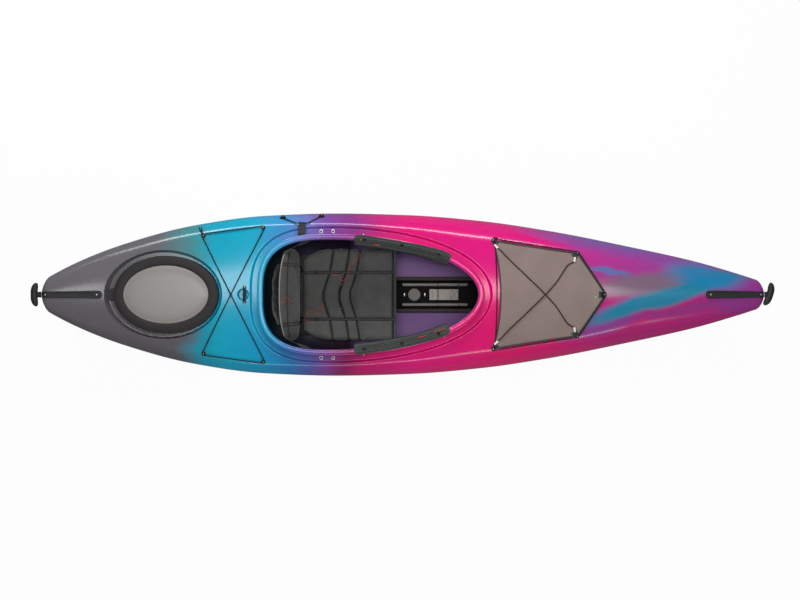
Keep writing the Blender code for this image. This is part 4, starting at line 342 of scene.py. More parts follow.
def ease_slope(t):
    return np.where((t > 0) & (t < 1), 6 * t * (1 - t), 0)


def deck_features(points, along, around):
    """Sinks the moat, the hatch's tray and the pocket into points of the deck and their runs."""
    plan = points[:, :2]
    slope = np.zeros((len(points), 2))
    gain = np.ones(len(points))
    z = points[:, 2].copy()
    for outline, near, start, ramp, depth in (
        (opening, (plan[:, 0] > -0.75) & (plan[:, 0] < 0.47), MOAT_WIDTH - 0.004, 0.014, MOAT_DEPTH),
        (pocket, np.abs(plan[:, 0] - POCKET_X) < 0.04, -0.0055, 0.0075, POCKET_DEPTH),
    ):
        away, facing = beyond(outline, plan[near])
        t = (away - start) / ramp
        z[near] -= depth * (1 - ease(t))
        slope[near] += (depth * ease_slope(t) / ramp)[:, None] * facing
    near = plan[:, 0] < -0.72
    away, facing = beyond(tray, plan[near])
    climb = np.clip((away + TRAY_INSET) / TRAY_CURVE, 0, 2.2)
    bowl = tray_floor + TRAY_CLIMB * climb**3
    rise = 3 * TRAY_CLIMB * climb**2 / TRAY_CURVE
    soft = 0.005
    h = np.clip(0.5 + 0.5 * (bowl - z[near]) / soft, 0, 1)
    z[near] = bowl * (1 - h) + z[near] * h - soft * h * (1 - h)
    gain[near] = h
    slope[near] += ((1 - h) * rise)[:, None] * facing
    points[:, 2] = z
    for run in (along, around):
        run[:, 2] = gain * run[:, 2] + (slope * run[:, :2]).sum(axis=1)


def hull_surface(p, v, deck_side):
    """Points of the moulding and their outward normals. v runs from -1 to 1 across the deck or bottom."""
    r = 1 - np.abs(v) / 2 if deck_side else np.abs(v) / 2
    found = on_side(p, r)
    points, along, around = found[:, :3], found[:, 3:6], found[:, 6:9]
    if deck_side:
        deck_features(points, along, around)
    normals = np.cross(around, along)
    normals[np.abs(v) < 1e-9, 1] = 0.0
    length = np.linalg.norm(normals, axis=1)
    tips = length < 1e-9
    normals[tips] = np.stack([np.sign(p[tips]), 0 * p[tips], 0 * p[tips]], axis=1)
    normals /= np.maximum(length, 1e-9)[:, None] + tips[:, None]
    port = np.where(v < 0, -1.0, 1.0)[:, None] * (0, 1, 0) + (1, 0, 1)
    return points * port, normals * port


def hull_place(plan, deck_side):
    """Where a point in plan lies in the table, as p and v."""
    p = along_hull(plan[:, 0])
    wide = np.abs(plan[:, 1])
    half = (COLUMNS - 1) // 2
    ys = section_at(p)[..., 1]
    ys = ys[:, :half - 1:-1] if deck_side else ys[:, :half + 1]
    i = np.clip((ys < wide[:, None]).sum(axis=1) - 1, 0, half - 1)
    rows = np.arange(len(p))
    t = (wide - ys[rows, i]) / np.maximum(ys[rows, i + 1] - ys[rows, i], 1e-9)
    return p, np.sign(plan[:, 1]) * (i + np.clip(t, 0, 1)) / half


def within(ring, places):
    """Which places lie inside a closed ring, by counting crossings."""
    inside = np.zeros(len(places), bool)
    for (ax, ay), (bx, by) in zip(ring, np.roll(ring, -1, axis=0)):
        crosses = (places[:, 1] < ay) != (places[:, 1] < by)
        if by != ay:
            inside ^= crosses & (places[:, 0] < ax + (places[:, 1] - ay) * (bx - ax) / (by - ay))
    return inside


GIRTH = 0.44


def sheet_of_hull(deck_side, columns, rows, bands, holes, depth=0.0):
    """Triangulates the deck or the bottom, with extra rings of points in some bands and with holes.

    A band is an outline with the offsets of its rings, one for each or one for each point; a hole is
    a ring of points in plan.
    """
    grid_p, grid_v = [a.ravel() for a in np.meshgrid(columns, rows, indexing="ij")]
    keep = np.ones(len(grid_p), bool)
    plan = hull_surface(grid_p, grid_v, deck_side)[0][:, :2]
    extra = []
    for outline, offsets, spacing in bands:
        away = beyond(outline, plan)[0]
        keep &= (away < np.min(offsets) - spacing * 0.6) | (away > np.max(offsets) + spacing * 0.6)
        at, normals = outline
        for o in offsets:
            extra.append(at + normals * np.reshape(o, (-1, 1)))
    extra += holes
    inner = np.abs(grid_v) < 0.999
    places = [np.stack([grid_p, grid_v * GIRTH], 1)[keep | ~inner]]
    edges, start = [], len(places[0])
    first_hole = len(extra) - len(holes)
    rings = []
    for n, plan_ring in enumerate(extra):
        p, v = hull_place(plan_ring, deck_side)
        places.append(np.stack([p, v * GIRTH], 1))
        if n >= first_hole:
            rings.append(places[-1])
        edges += [(start + i, start + (i + 1) % len(p)) for i in range(len(p))]
        start += len(p)
    places = np.vstack(places)
    for ring in rings:
        inside = within(ring, places)
        inside[-sum(len(r) for r in rings):] = False
        places[inside] = (9.0, 9.0)
    found, _, faces, _, _, _ = delaunay_2d_cdt([Vector(q) for q in places], edges, [], 0, 1e-6, True)
    found = np.array([tuple(q) for q in found])
    faces = np.array([tuple(f) for f in faces])
    centres = found[faces].mean(axis=1)
    good = found[faces][..., 0].max(axis=1) < 5
    for ring in rings:
        good &= ~within(ring, centres)
    faces = faces[good]
    points, normals = hull_surface(found[:, 0], found[:, 1] / GIRTH, deck_side)
    if depth:
        points, normals = points - normals * depth, -normals
    return points, normals, faces, [hull_ring(ring, deck_side, depth) for ring in rings]


def hull_ring(ring, deck_side, depth):
    points, normals = hull_surface(ring[:, 0], ring[:, 1] / GIRTH, deck_side)
    return (points - normals * depth, -normals) if depth else (points, normals)


blocks = []


def add_block(points, normals, faces, inside):
    blocks.append((points, normals, np.asarray(faces), np.broadcast_to(inside, len(points))))


def sweep(first, rest, last, inside):
    """Joins a ring to another through rings of points between them; all have equal counts."""
    rings = [first[0], *rest] + ([last[0]] if last else [])
    grid = np.stack(rings)
    around = np.roll(grid, -1, axis=1) - np.roll(grid, 1, axis=1)
    across = np.gradient(grid, axis=0)
    normals = np.cross(around, across)
    normals /= np.maximum(np.linalg.norm(normals, axis=2), 1e-12)[..., None]
    if (normals[0] * first[1]).sum() < 0:
        normals = -normals
    normals[0] = first[1]
    if last:
        normals[-1] = last[1]
    count = grid.shape[1]
    i, j = np.meshgrid(np.arange(len(rings) - 1), np.arange(count), indexing="ij")
    a, b = i * count + j, i * count + (j + 1) % count
    faces = np.concatenate([np.stack([a, b, b + count], -1), np.stack([a, b + count, a + count], -1)])
    inside = np.repeat(np.asarray(inside, float), count)
    add_block(grid.reshape(-1, 3), normals.reshape(-1, 3), faces.reshape(-1, 3), inside)


ends = straight + TIP * np.radians([10, 20, 30, 40, 50, 60, 70, 80, 90])
columns = np.concatenate([-ends[::-1], np.linspace(-straight, straight, 225), ends])
deck_rows = np.linspace(-1, 1, 93)
creases = [s * c for s in (-1, 1) for c in (0.485, 0.495, 0.505, 0.515)]
deck_rows = np.unique(np.concatenate([deck_rows[(np.abs(np.abs(deck_rows) - 0.5) > 0.022)], creases]))
RING = 264
opening_ring = opening_outline(RING)
mouth_ring = ellipse_outline(HATCH_X, HATCH_LENGTH, HATCH_WIDTH, 120)
tray_ring = ellipse_outline(TRAY_X, TRAY_LENGTH, TRAY_WIDTH, 240)
brink = np.zeros(240)
for _ in range(12):
    plan = tray_ring[0] + tray_ring[1] * brink[:, None]
    p, v = hull_place(plan, True)
    above = on_side(p, 1 - np.abs(v) / 2)[:, 2] - tray_floor
    brink += 0.5 * (np.cbrt(np.maximum(above, 1e-5) / TRAY_CLIMB) * TRAY_CURVE - TRAY_INSET - brink)
moat_band = (opening_ring, (17, 22, 28, 35, 42, 48, 50.5, 53, 55.5, 58, 60.5, 63, 66, 71), 0.011)
tray_steps = (-14, -10, -7.5, -5.6, -4.2, -3.1, -2.3, -1.6, -1.1, -0.7, -0.4, -0.15, 0.1, 0.35, 0.7, 1.3, 2.4,
              4.2, 7.5, 12)
tray_band = (tray_ring, [brink * 1000 + o for o in tray_steps], 0.009)
pocket_band = (ellipse_outline(POCKET_X, 2 * POCKET_RADIUS, 2 * POCKET_RADIUS, 40),
               (-20, -15, -10, -7, -5.5, -4.5, -3.5, -2.5, -1.5, -0.5, 0.5, 1.5, 2.5, 5), 0.004)
bands = [(o, [np.asarray(x) / 1000 for x in offsets], s) for o, offsets, s in (moat_band, tray_band, pocket_band)]


def grown(outline, distance):
    """The points of an outline, moved outwards."""
    return outline[0] + outline[1] * distance


deck_sheet = sheet_of_hull(True, columns, deck_rows, bands, [grown(opening_ring, 0.012), grown(mouth_ring, 0.009)])
slot_plan = []
for x, y, start in ((SKEG_FRONT - 0.004, SKEG_HALF - 0.004, 0), (SKEG_REAR + 0.004, SKEG_HALF - 0.004, 90),
                    (SKEG_REAR + 0.004, 0.004 - SKEG_HALF, 180), (SKEG_FRONT - 0.004, 0.004 - SKEG_HALF, 270)):
    for a in np.radians(np.linspace(start, start + 90, 5)):
        slot_plan.append((x + 0.004 * math.cos(a), y + 0.004 * math.sin(a)))
slot_outline = ring_outline(np.array(slot_plan), 60)
bottom_rows = np.unique(np.concatenate([np.linspace(-1, 1, 61), [-0.005, 0.005]]))
bottom_sheet = sheet_of_hull(False, columns, bottom_rows, [], [slot_outline[0]])
hollow = 1.53
inner_columns = np.linspace(-hollow, hollow, 111)
inner_bands = [(bands[0][0], bands[0][1][::2], 0.016), (bands[1][0], bands[1][1][::2], 0.012),
               (bands[2][0], bands[2][1][::2], 0.006)]
under_deck = sheet_of_hull(True, inner_columns, np.linspace(-1, 1, 47), inner_bands,
                           [grown(opening_ring, 0.004), grown(mouth_ring, 0.002)], WALL)
inner_bottom = sheet_of_hull(False, inner_columns, np.linspace(-1, 1, 33), [],
                             [grown(slot_outline, WALL)], WALL)
for sheet, inside in ((deck_sheet, 0), (bottom_sheet, 0), (under_deck, 1), (inner_bottom, 1)):
    add_block(sheet[0], sheet[1], sheet[2], inside)

# The coaming: a wall that stands out of the moat, with a broad rounded lip turned down at its edge
rear_x, front_x = OPENING_X - OPENING_REAR, OPENING_X + OPENING_FRONT
rim_ends = [np.interp(x, row_x, deck) + rise for x, rise in zip((rear_x, front_x), RIM_RISES)]


def rim_height(x):
    return rim_ends[0] + (rim_ends[1] - rim_ends[0]) * (x - rear_x) / (front_x - rear_x)


outer, inner = deck_sheet[3][0], under_deck[3][0]
base, top = outer[0][:, 2], rim_height(opening_ring[0][:, 0])
shape = [
    (9.4, 0.3, 0), (7.6, 1.6, 0), (6.4, 4.0, 0), (6.0, 7.5, 0), (6.0, -12, 1), (6.2, -8, 1), (7.0, -6.2, 1),
    (8.8, -5.3, 1), (13, -5, 1), (18.5, -5, 1), (21, -5.4, 1), (22.2, -6.6, 1), (22.6, -8.8, 1),
    (22.7, -11.4, 1), (23.2, -12.4, 1), (24.4, -12.8, 1), (25.8, -12.5, 1), (26.7, -11.5, 1), (27, -9.8, 1),
    (27, -6.4, 1), (26.6, -4.9, 1), (25.5, -3.3, 1), (23.4, -1.8, 1), (20.4, -0.6, 1), (16.8, 0.1, 1),
    (13, 0.25, 1), (9, -0.2, 1), (5.6, -1.2, 1), (2.8, -2.8, 1), (0.9, -5, 1), (0, -8.4, 1), (0, -14, 1),
]
rings = []
for o, lift, from_top in shape:
    z = (top if from_top else base) + lift / 1000
    if from_top and lift < -12.9 or (o, lift) == (6.0, -12):
        z = np.maximum(z, base + 0.009)
    rings.append(np.column_stack([grown(opening_ring, o / 1000), z]))
low = inner[0][:, 2]
for o, rise in ((0.0, 0.004), (0.0005, 0.0016), (0.0018, 0.0003)):
    rings.append(np.column_stack([grown(opening_ring, o), low + rise]))
sweep(outer, rings, inner, [0] * 29 + [0.15, 0.4, 0.7, 0.9, 1, 1, 1, 1])

# The hatch's own rim, which the rubber cover grips
outer, inner = deck_sheet[3][1], under_deck[3][1]
base, top = outer[0][:, 2], tray_floor + HATCH_RIM
rings = [np.column_stack([grown(mouth_ring, o / 1000), base + z / 1000])
         for o, z in ((7, 0.3), (5.6, 1.4), (5, 3.5))]
for o, z in ((5, -2.5), (4.5, -0.9), (3.2, 0), (1.8, 0), (0.5, -0.9), (0, -2.5)):
    rings.append(np.column_stack([grown(mouth_ring, o / 1000), np.full(120, top + z / 1000)]))
rings += [np.column_stack([grown(mouth_ring, o), inner[0][:, 2] + z]) for o, z in ((0, 0.003), (0.0006, 0.0008))]
sweep(outer, rings, inner, [0] * 8 + [0.5] + [1] * 4)

# The skeg's box, moulded up into the stern from the slot in the keel
for sheet, roof, inside in ((bottom_sheet, SKEG_ROOF, 0), (inner_bottom, SKEG_ROOF + WALL, 1)):
    ring = sheet[3][0]
    out = slot_outline if sheet is bottom_sheet else (grown(slot_outline, WALL), slot_outline[1])
    sign = 1 if sheet is bottom_sheet else -1
    walls = [np.column_stack([out[0] - sign * out[1] * o, z + ring[0][:, 2] * part])
             for o, z, part in ((0.0002, 0.0015, 1), (0.0004, 0.004, 1), (0.0004, roof - 0.003, 0))]
    walls += [np.column_stack([out[0] - out[1] * 0.0012, np.full(60, roof)])]
    sweep(ring, walls, None, [inside] * 5)
    middle = np.array([[(SKEG_FRONT + SKEG_REAR) / 2, 0, roof]])
    cap = np.vstack([walls[-1], middle])
    add_block(cap, np.tile([0, 0, 1.0 - 2 * (sign > 0)], (61, 1)),
              [(i, (i + 1) % 60, 60) for i in range(60)], inside)

# Closes the hollow in front of the solid tips
for end in (-1, 1):
    p = np.full(33, end * hollow)
    lower = hull_surface(p, np.linspace(-1, 1, 33), False)
    p = np.full(47, end * hollow)
    upper = hull_surface(p, np.linspace(-1, 1, 47), True)
    ring = np.vstack([lower[0] - lower[1] * WALL, (upper[0] - upper[1] * WALL)[::-1]])
    cap = np.vstack([ring, ring.mean(axis=0)[None]])
    count = len(ring)
    add_block(cap, np.tile([-end, 0.0, 0.0], (count + 1, 1)),
              [(i, (i + 1) % count, count) for i in range(count)], 1)


def marked(data, name, values):
    """Keeps a value for each point of a mesh, for its material to read."""
    data.attributes.new(name, "FLOAT", "POINT").data.foreach_set("value", values.astype(np.float32))


def joined(name, parts):
    """One smooth mesh from blocks of points, with their own normals; points that meet are merged."""
    merge = 2e-6
    points = np.vstack([b[0] for b in parts])
    normals = np.vstack([b[1] for b in parts])
    inside = np.concatenate([b[3] for b in parts])
    starts = np.cumsum([0] + [len(b[0]) for b in parts])
    faces = np.vstack([b[2] + s for b, s in zip(parts, starts)])
    _, first, merged = np.unique(np.round(points / merge).astype(np.int64), axis=0,
                                 return_index=True, return_inverse=True)
    faces = merged.ravel()[faces]
    points, normals, inside = points[first], normals[first], inside[first]
    ok = (faces[:, 0] != faces[:, 1]) & (faces[:, 1] != faces[:, 2]) & (faces[:, 2] != faces[:, 0])
    faces = faces[ok]
    a, b, c = points[faces[:, 0]], points[faces[:, 1]], points[faces[:, 2]]
    wrong = (np.cross(b - a, c - a) * normals[faces].sum(axis=1)).sum(axis=1) < 0
    faces[wrong] = faces[wrong][:, ::-1]
    used, faces = np.unique(faces, return_inverse=True)
    points, normals, inside, faces = points[used], normals[used], inside[used], faces.reshape(-1, 3)
    data = bpy.data.meshes.new(name)
    data.from_pydata(points.tolist(), [], faces.tolist())
    data.shade_smooth()
    marked(data, "inside", inside)
    data.normals_split_custom_set_from_vertices(normals.tolist())
    made = bpy.data.objects.new(name, data)
    scene.collection.objects.link(made)
    return made


hull = joined("hull_moulding", blocks)
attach(hull, "hull")
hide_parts("hull_shell")


def colour(code):
    """A linear colour from a hexadecimal one."""
    values = [int(code[i:i + 2], 16) / 255 for i in (0, 2, 4)]
    return (*[v / 12.92 if v <= 0.04045 else ((v + 0.055) / 1.055) ** 2.4 for v in values], 1.0)


def finish(name, roughness, **constants):
    """A material with its nodes, its shader and its own object coordinates."""
    made = bpy.data.materials.new(name)
    made.use_nodes = True
    tree = made.node_tree
    shader = tree.nodes["Principled BSDF"]
    shader.inputs["Roughness"].default_value = roughness
    for key, value in constants.items():
        shader.inputs[key.replace("_", " ")].default_value = value
    return made, tree, shader.inputs, put(tree, "TexCoord", out="Object")


def shaded(tree, base, shade, socket):
    """Leads a colour, made lighter or darker by a value, to a socket."""
    tree.links.new(put(tree, "VectorMath", {0: base, "Scale": shade}, operation="SCALE"), socket)


def embossed(tree, height, strength, distance, socket):
    """Leads the normals of a raised pattern to a socket."""
    tree.links.new(put(tree, "Bump", {"Height": height, "Strength": strength, "Distance": distance}), socket)


def parted(tree, vector):
    """The three values of a vector."""
    return fed(tree, tree.nodes.new("ShaderNodeSeparateXYZ"), [vector])


# Hull finish: grey, turquoise, violet and pink pigments that run into each other along the hull,
# with long diagonal streaks of blue, grey and violet at the bow, under a satin skin. Painted shade
# darkens parts of the starboard side and makes the inside near black aft of the seat's middle.
hull_finish, tree, inputs, place = finish("hull_plastic", 0.3, Coat_Weight=0.9, Coat_Roughness=0.17,
                                         Specular_IOR_Level=0.1)
swirl = put(tree, "TexNoise", {"Vector": place, "Scale": 2.2, "Detail": 3.0, "Roughness": 0.55}, out="Color")
swirl = put(tree, "VectorMath", (swirl, (0.5, 0.5, 0.5)), operation="SUBTRACT")
stretched = put(tree, "Mapping", {"Vector": place, "Rotation": (0, 0, -0.3), "Scale": (3.2, 17.0, 6.0)})
streak = put(tree, "TexNoise", {"Vector": stretched, "Scale": 1.0, "Detail": 3.0, "Roughness": 0.6})
streak = maths(tree, "SUBTRACT", streak, 0.5)
apart, drift = parted(tree, place), parted(tree, swirl)
x = maths(tree, "MULTIPLY_ADD", drift[0], 0.22, apart[0])
x = maths(tree, "MULTIPLY_ADD", streak, 0.16, x)
y = maths(tree, "MULTIPLY_ADD", drift[1], 0.07, apart[1])
y = maths(tree, "MULTIPLY_ADD", streak, 0.05, y)


def blended(factor, stops):
    """A colour from the place along the hull: pairs of a place in metres and a colour."""
    at = put(tree, "MapRange", (factor, -LENGTH / 2, LENGTH / 2, 0.0, 1.0))
    node = tree.nodes.new("ShaderNodeValToRGB")
    ramp = node.color_ramp
    for i, (spot, code) in enumerate(stops):
        share = (spot + LENGTH / 2) / LENGTH
        stop = ramp.elements[i] if i < 2 else ramp.elements.new(share)
        stop.position, stop.color = share, colour(code)
    tree.links.new(at, node.inputs[0])
    return node.outputs[0]


def layered(under, over, mask):
    """One colour over another where the mask is 1."""
    return put(tree, "Mix", {0: mask, 6: under, 7: over}, out=2, data_type="RGBA")


def patch(centre, size, lean):
    """A mask, 1 inside a slanted ellipse of the deck and falling to 0 over its soft edge."""
    soft = 0.45
    dx = maths(tree, "SUBTRACT", x, centre[0])
    dy = maths(tree, "MULTIPLY_ADD", dx, -lean, maths(tree, "SUBTRACT", y, centre[1]))
    a = maths(tree, "POWER", maths(tree, "DIVIDE", dx, size[0]), 2.0)
    b = maths(tree, "POWER", maths(tree, "DIVIDE", dy, size[1]), 2.0)
    away = maths(tree, "POWER", maths(tree, "ADD", a, b), 0.5)
    return put(tree, "MapRange", (away, 1 + soft, 1 - soft, 0.0, 1.0), interpolation_type="SMOOTHSTEP")


# The two sides have ramps of their own: partly the pigments' own difference between them and partly painted shade, as
# the starboard ramp is darker at the stern and through the blues and violets, the side that lies away from the key
# light
port = blended(x, [
    (-1.6, "6a676b"), (-1.08, "67656a"), (-0.93, "3d8f97"), (-0.84, "00a3c0"), (-0.66, "02a7c6"),
    (-0.55, "3d92cf"), (-0.45, "7472c0"), (-0.34, "7c479f"), (-0.22, "8f2f8b"), (-0.1, "c61a7d"),
    (0.04, "e4007b"), (0.62, "dc0a7e"), (0.85, "bb2c8e"), (1.15, "a13b97"), (1.6, "8d3c8f")])
starboard = blended(x, [
    (-1.6, "5f5b60"), (-0.98, "5b575c"), (-0.88, "118fa8"), (-0.8, "009fbd"), (-0.62, "0092bd"),
    (-0.52, "2374b2"), (-0.43, "5358a4"), (-0.34, "82408f"), (-0.26, "90125e"), (-0.18, "c4046a"),
    (0.05, "e2067c"), (0.5, "e00468"), (0.95, "c41278"), (1.6, "a01c78")])
across = put(tree, "MapRange", (y, -0.1, 0.16, 0.0, 1.0), interpolation_type="SMOOTHSTEP")
skin = layered(starboard, port, across)
for code, strength, centre, size, lean in (
    ("8b4aa0", 0.85, (0.98, 0.22), (0.42, 0.045), -0.2), ("6660b0", 0.55, (1.05, 0.21), (0.28, 0.018), -0.2),
    ("7d4b95", 0.45, (0.93, 0.09), (0.14, 0.03), -0.1), ("3f78b4", 0.75, (0.95, 0.098), (0.1, 0.012), -0.12),
    ("8c3390", 0.7, (1.5, 0.0), (0.11, 0.1), 0.0),
    ("7b6579", 0.95, (1.1, 0.045), (0.26, 0.048), 0.12), ("7c4397", 0.8, (0.88, -0.12), (0.16, 0.06), 0.25),
    ("0282a2", 0.97, (1.16, -0.012), (0.39, 0.04), 0.3), ("1480b0", 0.92, (1.36, 0.08), (0.16, 0.055), -0.1),
    ("b21a70", 0.75, (1.3, -0.16), (0.45, 0.05), 0.12),
    ("8a3385", 0.6, (1.2, -0.075), (0.3, 0.018), 0.2),
):
    mask = maths(tree, "MULTIPLY", patch(centre, size, lean), strength)
    skin = layered(skin, colour(code), mask)
inside = put(tree, "Attribute", attribute_name="inside", out="Fac")
# The inside: violet in front, and near black from the seat's middle aft, which is painted shade where the rear of the
# cockpit and the stern lie in deep shadow
inner = layered(colour("0d090e"), colour("7f63a4"), put(tree, "MapRange", (apart[0], -0.25, -0.17, 0.0, 1.0)))
skin = layered(skin, inner, maths(tree, "MULTIPLY", inside, 0.92))
tree.links.new(put(tree, "MapRange", (inside, 0.0, 1.0, 0.9, 0.05)), inputs["Coat Weight"])
cloud = put(tree, "TexNoise", {"Vector": place, "Scale": 30.0, "Detail": 4.0})
peel = put(tree, "TexNoise", {"Vector": place, "Scale": 110.0, "Detail": 1.0})
shade = put(tree, "MapRange", (cloud, 0.0, 1.0, 0.95, 1.05))
shaded(tree, skin, shade, inputs["Base Color"])
tree.links.new(put(tree, "MapRange", (cloud, 0.0, 1.0, 0.22, 0.4)), inputs["Roughness"])
embossed(tree, peel, 0.03, 0.0006, inputs["Normal"])
hull.data.materials.append(hull_finish)


# ----------
# Hatch cover: a black rubber ring, moulded with a groove that grips the hatch rim and a pull tab at
# its rear, bonded round a stiff domed plate of grey thermoplastic.


def effect(name, inputs, outputs):
    """An empty shared node group; it takes and gives the sockets that are named."""
    group = bpy.data.node_groups.new(name, "ShaderNodeTree")
    for socket, kind, value in inputs:
        made = group.interface.new_socket(socket, in_out="INPUT", socket_type="NodeSocket" + kind)
        if value is not None:
            made.default_value = value
    for socket, kind in outputs:
        group.interface.new_socket(socket, in_out="OUTPUT", socket_type="NodeSocket" + kind)
    given = group.nodes.new("NodeGroupInput")
    result = group.nodes.new("NodeGroupOutput")
    return group, given.outputs, result.inputs


def use(tree, group, values):
    """Places a shared group in a material; its inputs get the values."""
    node = tree.nodes.new("ShaderNodeGroup")
    node.node_tree = group
    return fed(tree, node, values)


# The faint mottle and pebbled skin of a moulded piece: two sizes of noise, one in its colour and
# one raised
moulded_skin, given, result = effect(
    "moulded_skin", [("Place", "Vector", None), ("Colour", "Color", None), ("Grain", "Float", 400.0),
                     ("Mottle", "Float", 0.12), ("Raised", "Float", 0.1)],
    [("Colour", "Color"), ("Shine", "Float"), ("Normal", "Vector")])
tree = moulded_skin
cloud = put(tree, "TexNoise", {"Vector": given["Place"], "Scale": 14.0, "Detail": 4.0})
grains = put(tree, "TexNoise", {"Vector": given["Place"], "Scale": given["Grain"], "Detail": 3.0})
swing = maths(tree, "SUBTRACT", cloud, 0.5)
swing = maths(tree, "MULTIPLY_ADD", swing, given["Mottle"], 1.0)
shaded(tree, given["Colour"], swing, result["Colour"])
tree.links.new(maths(tree, "MULTIPLY_ADD", grains, 0.16, -0.08), result["Shine"])
embossed(tree, grains, given["Raised"], 0.0006, result["Normal"])


def moulded(name, code, roughness, grain, mottle, raised, slot=None, **constants):
    """A moulded or cast finish in one colour, as its slot and its material."""
    made, tree, inputs, place = finish(name, roughness, **constants)
    skin = use(tree, moulded_skin, {"Place": place, "Colour": colour(code), "Grain": grain,
                                    "Mottle": mottle, "Raised": raised})
    tree.links.new(skin["Colour"], inputs["Base Color"])
    tree.links.new(maths(tree, "ADD", skin["Shine"], roughness), inputs["Roughness"])
    tree.links.new(skin["Normal"], inputs["Normal"])
    return slot or name, made


def solid(name, rings, body, nodes_of, slot, material, looped=False, sharp=38):
    """A smooth piece from rings of equal counts; it is joined end to end when it is looped."""
    count = len(rings[0])
    points = [tuple(p) for ring in rings for p in ring]
    pairs = list(zip(range(len(rings)), range(1, len(rings)))) + ([(len(rings) - 1, 0)] if looped else [])
    faces = [(a * count + i, a * count + (i + 1) % count, b * count + (i + 1) % count, b * count + i)
             for a, b in pairs for i in range(count)]
    if not looped:
        faces += [tuple(range(count))[::-1], tuple(range(len(points) - count, len(points)))]
    data = bpy.data.meshes.new(name)
    data.from_pydata(points, [], faces)
    return settled(name, data, body, nodes_of, material, sharp)


def settled(name, data, body, nodes_of, material, sharp=38):
    """Turns the faces outwards, smooths them up to an angle, and puts the piece on its body."""
    work = bmesh.new()
    work.from_mesh(data)
    bmesh.ops.remove_doubles(work, verts=work.verts, dist=1e-6)
    bmesh.ops.recalc_face_normals(work, faces=work.faces)
    work.to_mesh(data)
    work.free()
    data.shade_smooth()
    data.set_sharp_from_angle(angle=math.radians(sharp))
    data.materials.clear()
    data.materials.append(material)
    made = bpy.data.objects.new(name, data)
    scene.collection.objects.link(made)
    if body:
        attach(made, body)
    if nodes_of:
        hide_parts(*nodes_of)
    return made


def lathe(profile, origin, axis=(0, 0, 1), count=32):
    """Rings of a turned piece from its pairs of radius and height."""
    turn = Vector(axis).to_track_quat("Z", "Y")
    return [[Vector(origin) + turn @ Vector((r * math.cos(a), r * math.sin(a), z))
             for a in (2 * math.pi * i / count for i in range(count))] for r, z in profile]


RUBBER_MARGIN = 0.038
rubber = moulded("hatch_rubber", "262324", 0.62, 900.0, 0.22, 0.25, Specular_IOR_Level=0.35)
rubber_top = tray_floor + HATCH_RIM + 0.0055
ring_profile = [
    (-14, -5.5), (-14, -0.4), (-13.2, 0), (-6.5, 0), (-5, 0.5), (-4.5, 2), (-4.5, 4.6), (-3.7, 5.9), (-2.2, 6.9),
    (1, 7.9), (6, 8.5), (14, 8.45), (22, 7.9), (29, 6.6), (33, 5), (34.6, 4.4), (35.8, 4.8), (37, 4.3), (37.8, 2.8),
    (38, -1), (37.4, -6), (37.4, -20), (38, -25.5), (36.8, -27), (34.6, -27), (34, -25.5), (34, -8), (33, -5.4),
    (8, -5.2), (-0.2, -5.2), (-0.4, -12), (-4.4, -12.4), (-5.2, -11.6), (-5.3, -6)]


def hatch_loop(outward, height, share=1):
    """A loop of points that follows the hatch's mouth, so many millimetres outside and above it."""
    plan = (grown(mouth_ring, outward / 1000) - (HATCH_X, 0)) * share + (HATCH_X, 0)
    return np.column_stack([plan, np.full(len(plan), rubber_top + height / 1000)])


rings = [hatch_loop(o, z) for o, z in ring_profile]
solid("hatch_ring", rings, "hatch_cover", ["hatch_cover_rim"], *rubber, looped=True)
tab_rear = HATCH_X - HATCH_LENGTH / 2 - RUBBER_MARGIN
rings = []
for share in np.linspace(0, 1, 12):
    across = 0.0255 * math.sqrt(max(0.0, 1 - max(0.0, (share - 0.4) / 0.6) ** 2.6)) + 0.003
    x = tab_rear + 0.0035 - share * 0.0265
    lift = rubber_top - 0.0066 + 0.0016 * share ** 2
    thick = 0.0021 + 0.0006 * (share > 0.7)
    rings.append([(x, across * a, lift + thick * b) for a, b in (
        (-1, 0), (-0.94, 0.8), (-0.8, 1), (-0.4, 1), (0, 1), (0.4, 1), (0.8, 1), (0.94, 0.8), (1, 0), (0.94, -0.8),
        (0.8, -1), (0, -1), (-0.8, -1), (-0.94, -0.8))])
solid("hatch_pull_tab", rings, "hatch_cover", [], *rubber, sharp=50)

plate_finish = moulded("hatch_plate", "8b8683", 0.38, 500.0, 0.05, 0.05, Coat_Weight=0.15, Coat_Roughness=0.2)
rings = [hatch_loop(o, z) for o, z in (
    (-60, 0.3), (-6, 0.3), (-4.9, 0.3), (-4.9, 1.8), (-5.3, 2.9), (-6.3, 3.9), (-8, 4.9), (-12, 6.2), (-13, 6.3),
    (-14.2, 5.9), (-15.4, 6.5), (-22, 8.2), (-34, 10))]
rings += [hatch_loop(-34, z, share) for share, z in (
    (0.82, 10.9), (0.64, 11.5), (0.46, 11.9), (0.28, 12.15), (0.1, 12.28), (0.01, 12.3))]
solid("hatch_plate", rings, "hatch_cover", ["hatch_cover_plate"], *plate_finish)


# ----------
# Carry handles: a tapered strap of black rubbery plastic held by two screws, ribbed between them, and
# a rounded grip that hangs over the tip of the hull on the strap's turned end.
HANDLE_LENGTH, HANDLE_BEND, HANDLE_WIDE, HANDLE_NARROW, HANDLE_THICK = 0.262, 0.018, 0.036, 0.027, 0.0042
GRIP_HALF, GRIP_WIDE, GRIP_THICK, RIB = 0.052, 0.0185, 0.013, 0.0035
handle_finish = moulded("handle_black", "1f1e20", 0.5, 700.0, 0.2, 0.2, Specular_IOR_Level=0.35)
screw_finish = moulded("screw_steel", "b9b9bb", 0.28, 900.0, 0.1, 0.03, Metallic=1.0, slot="steel")


def deck_point(x, y):
    """A point of the deck over a place in plan, and the deck's normal there."""
    point, normal = hull_surface(*hull_place(np.array([[x, y]]), True), True)
    return Vector(point[0]), Vector(normal[0])


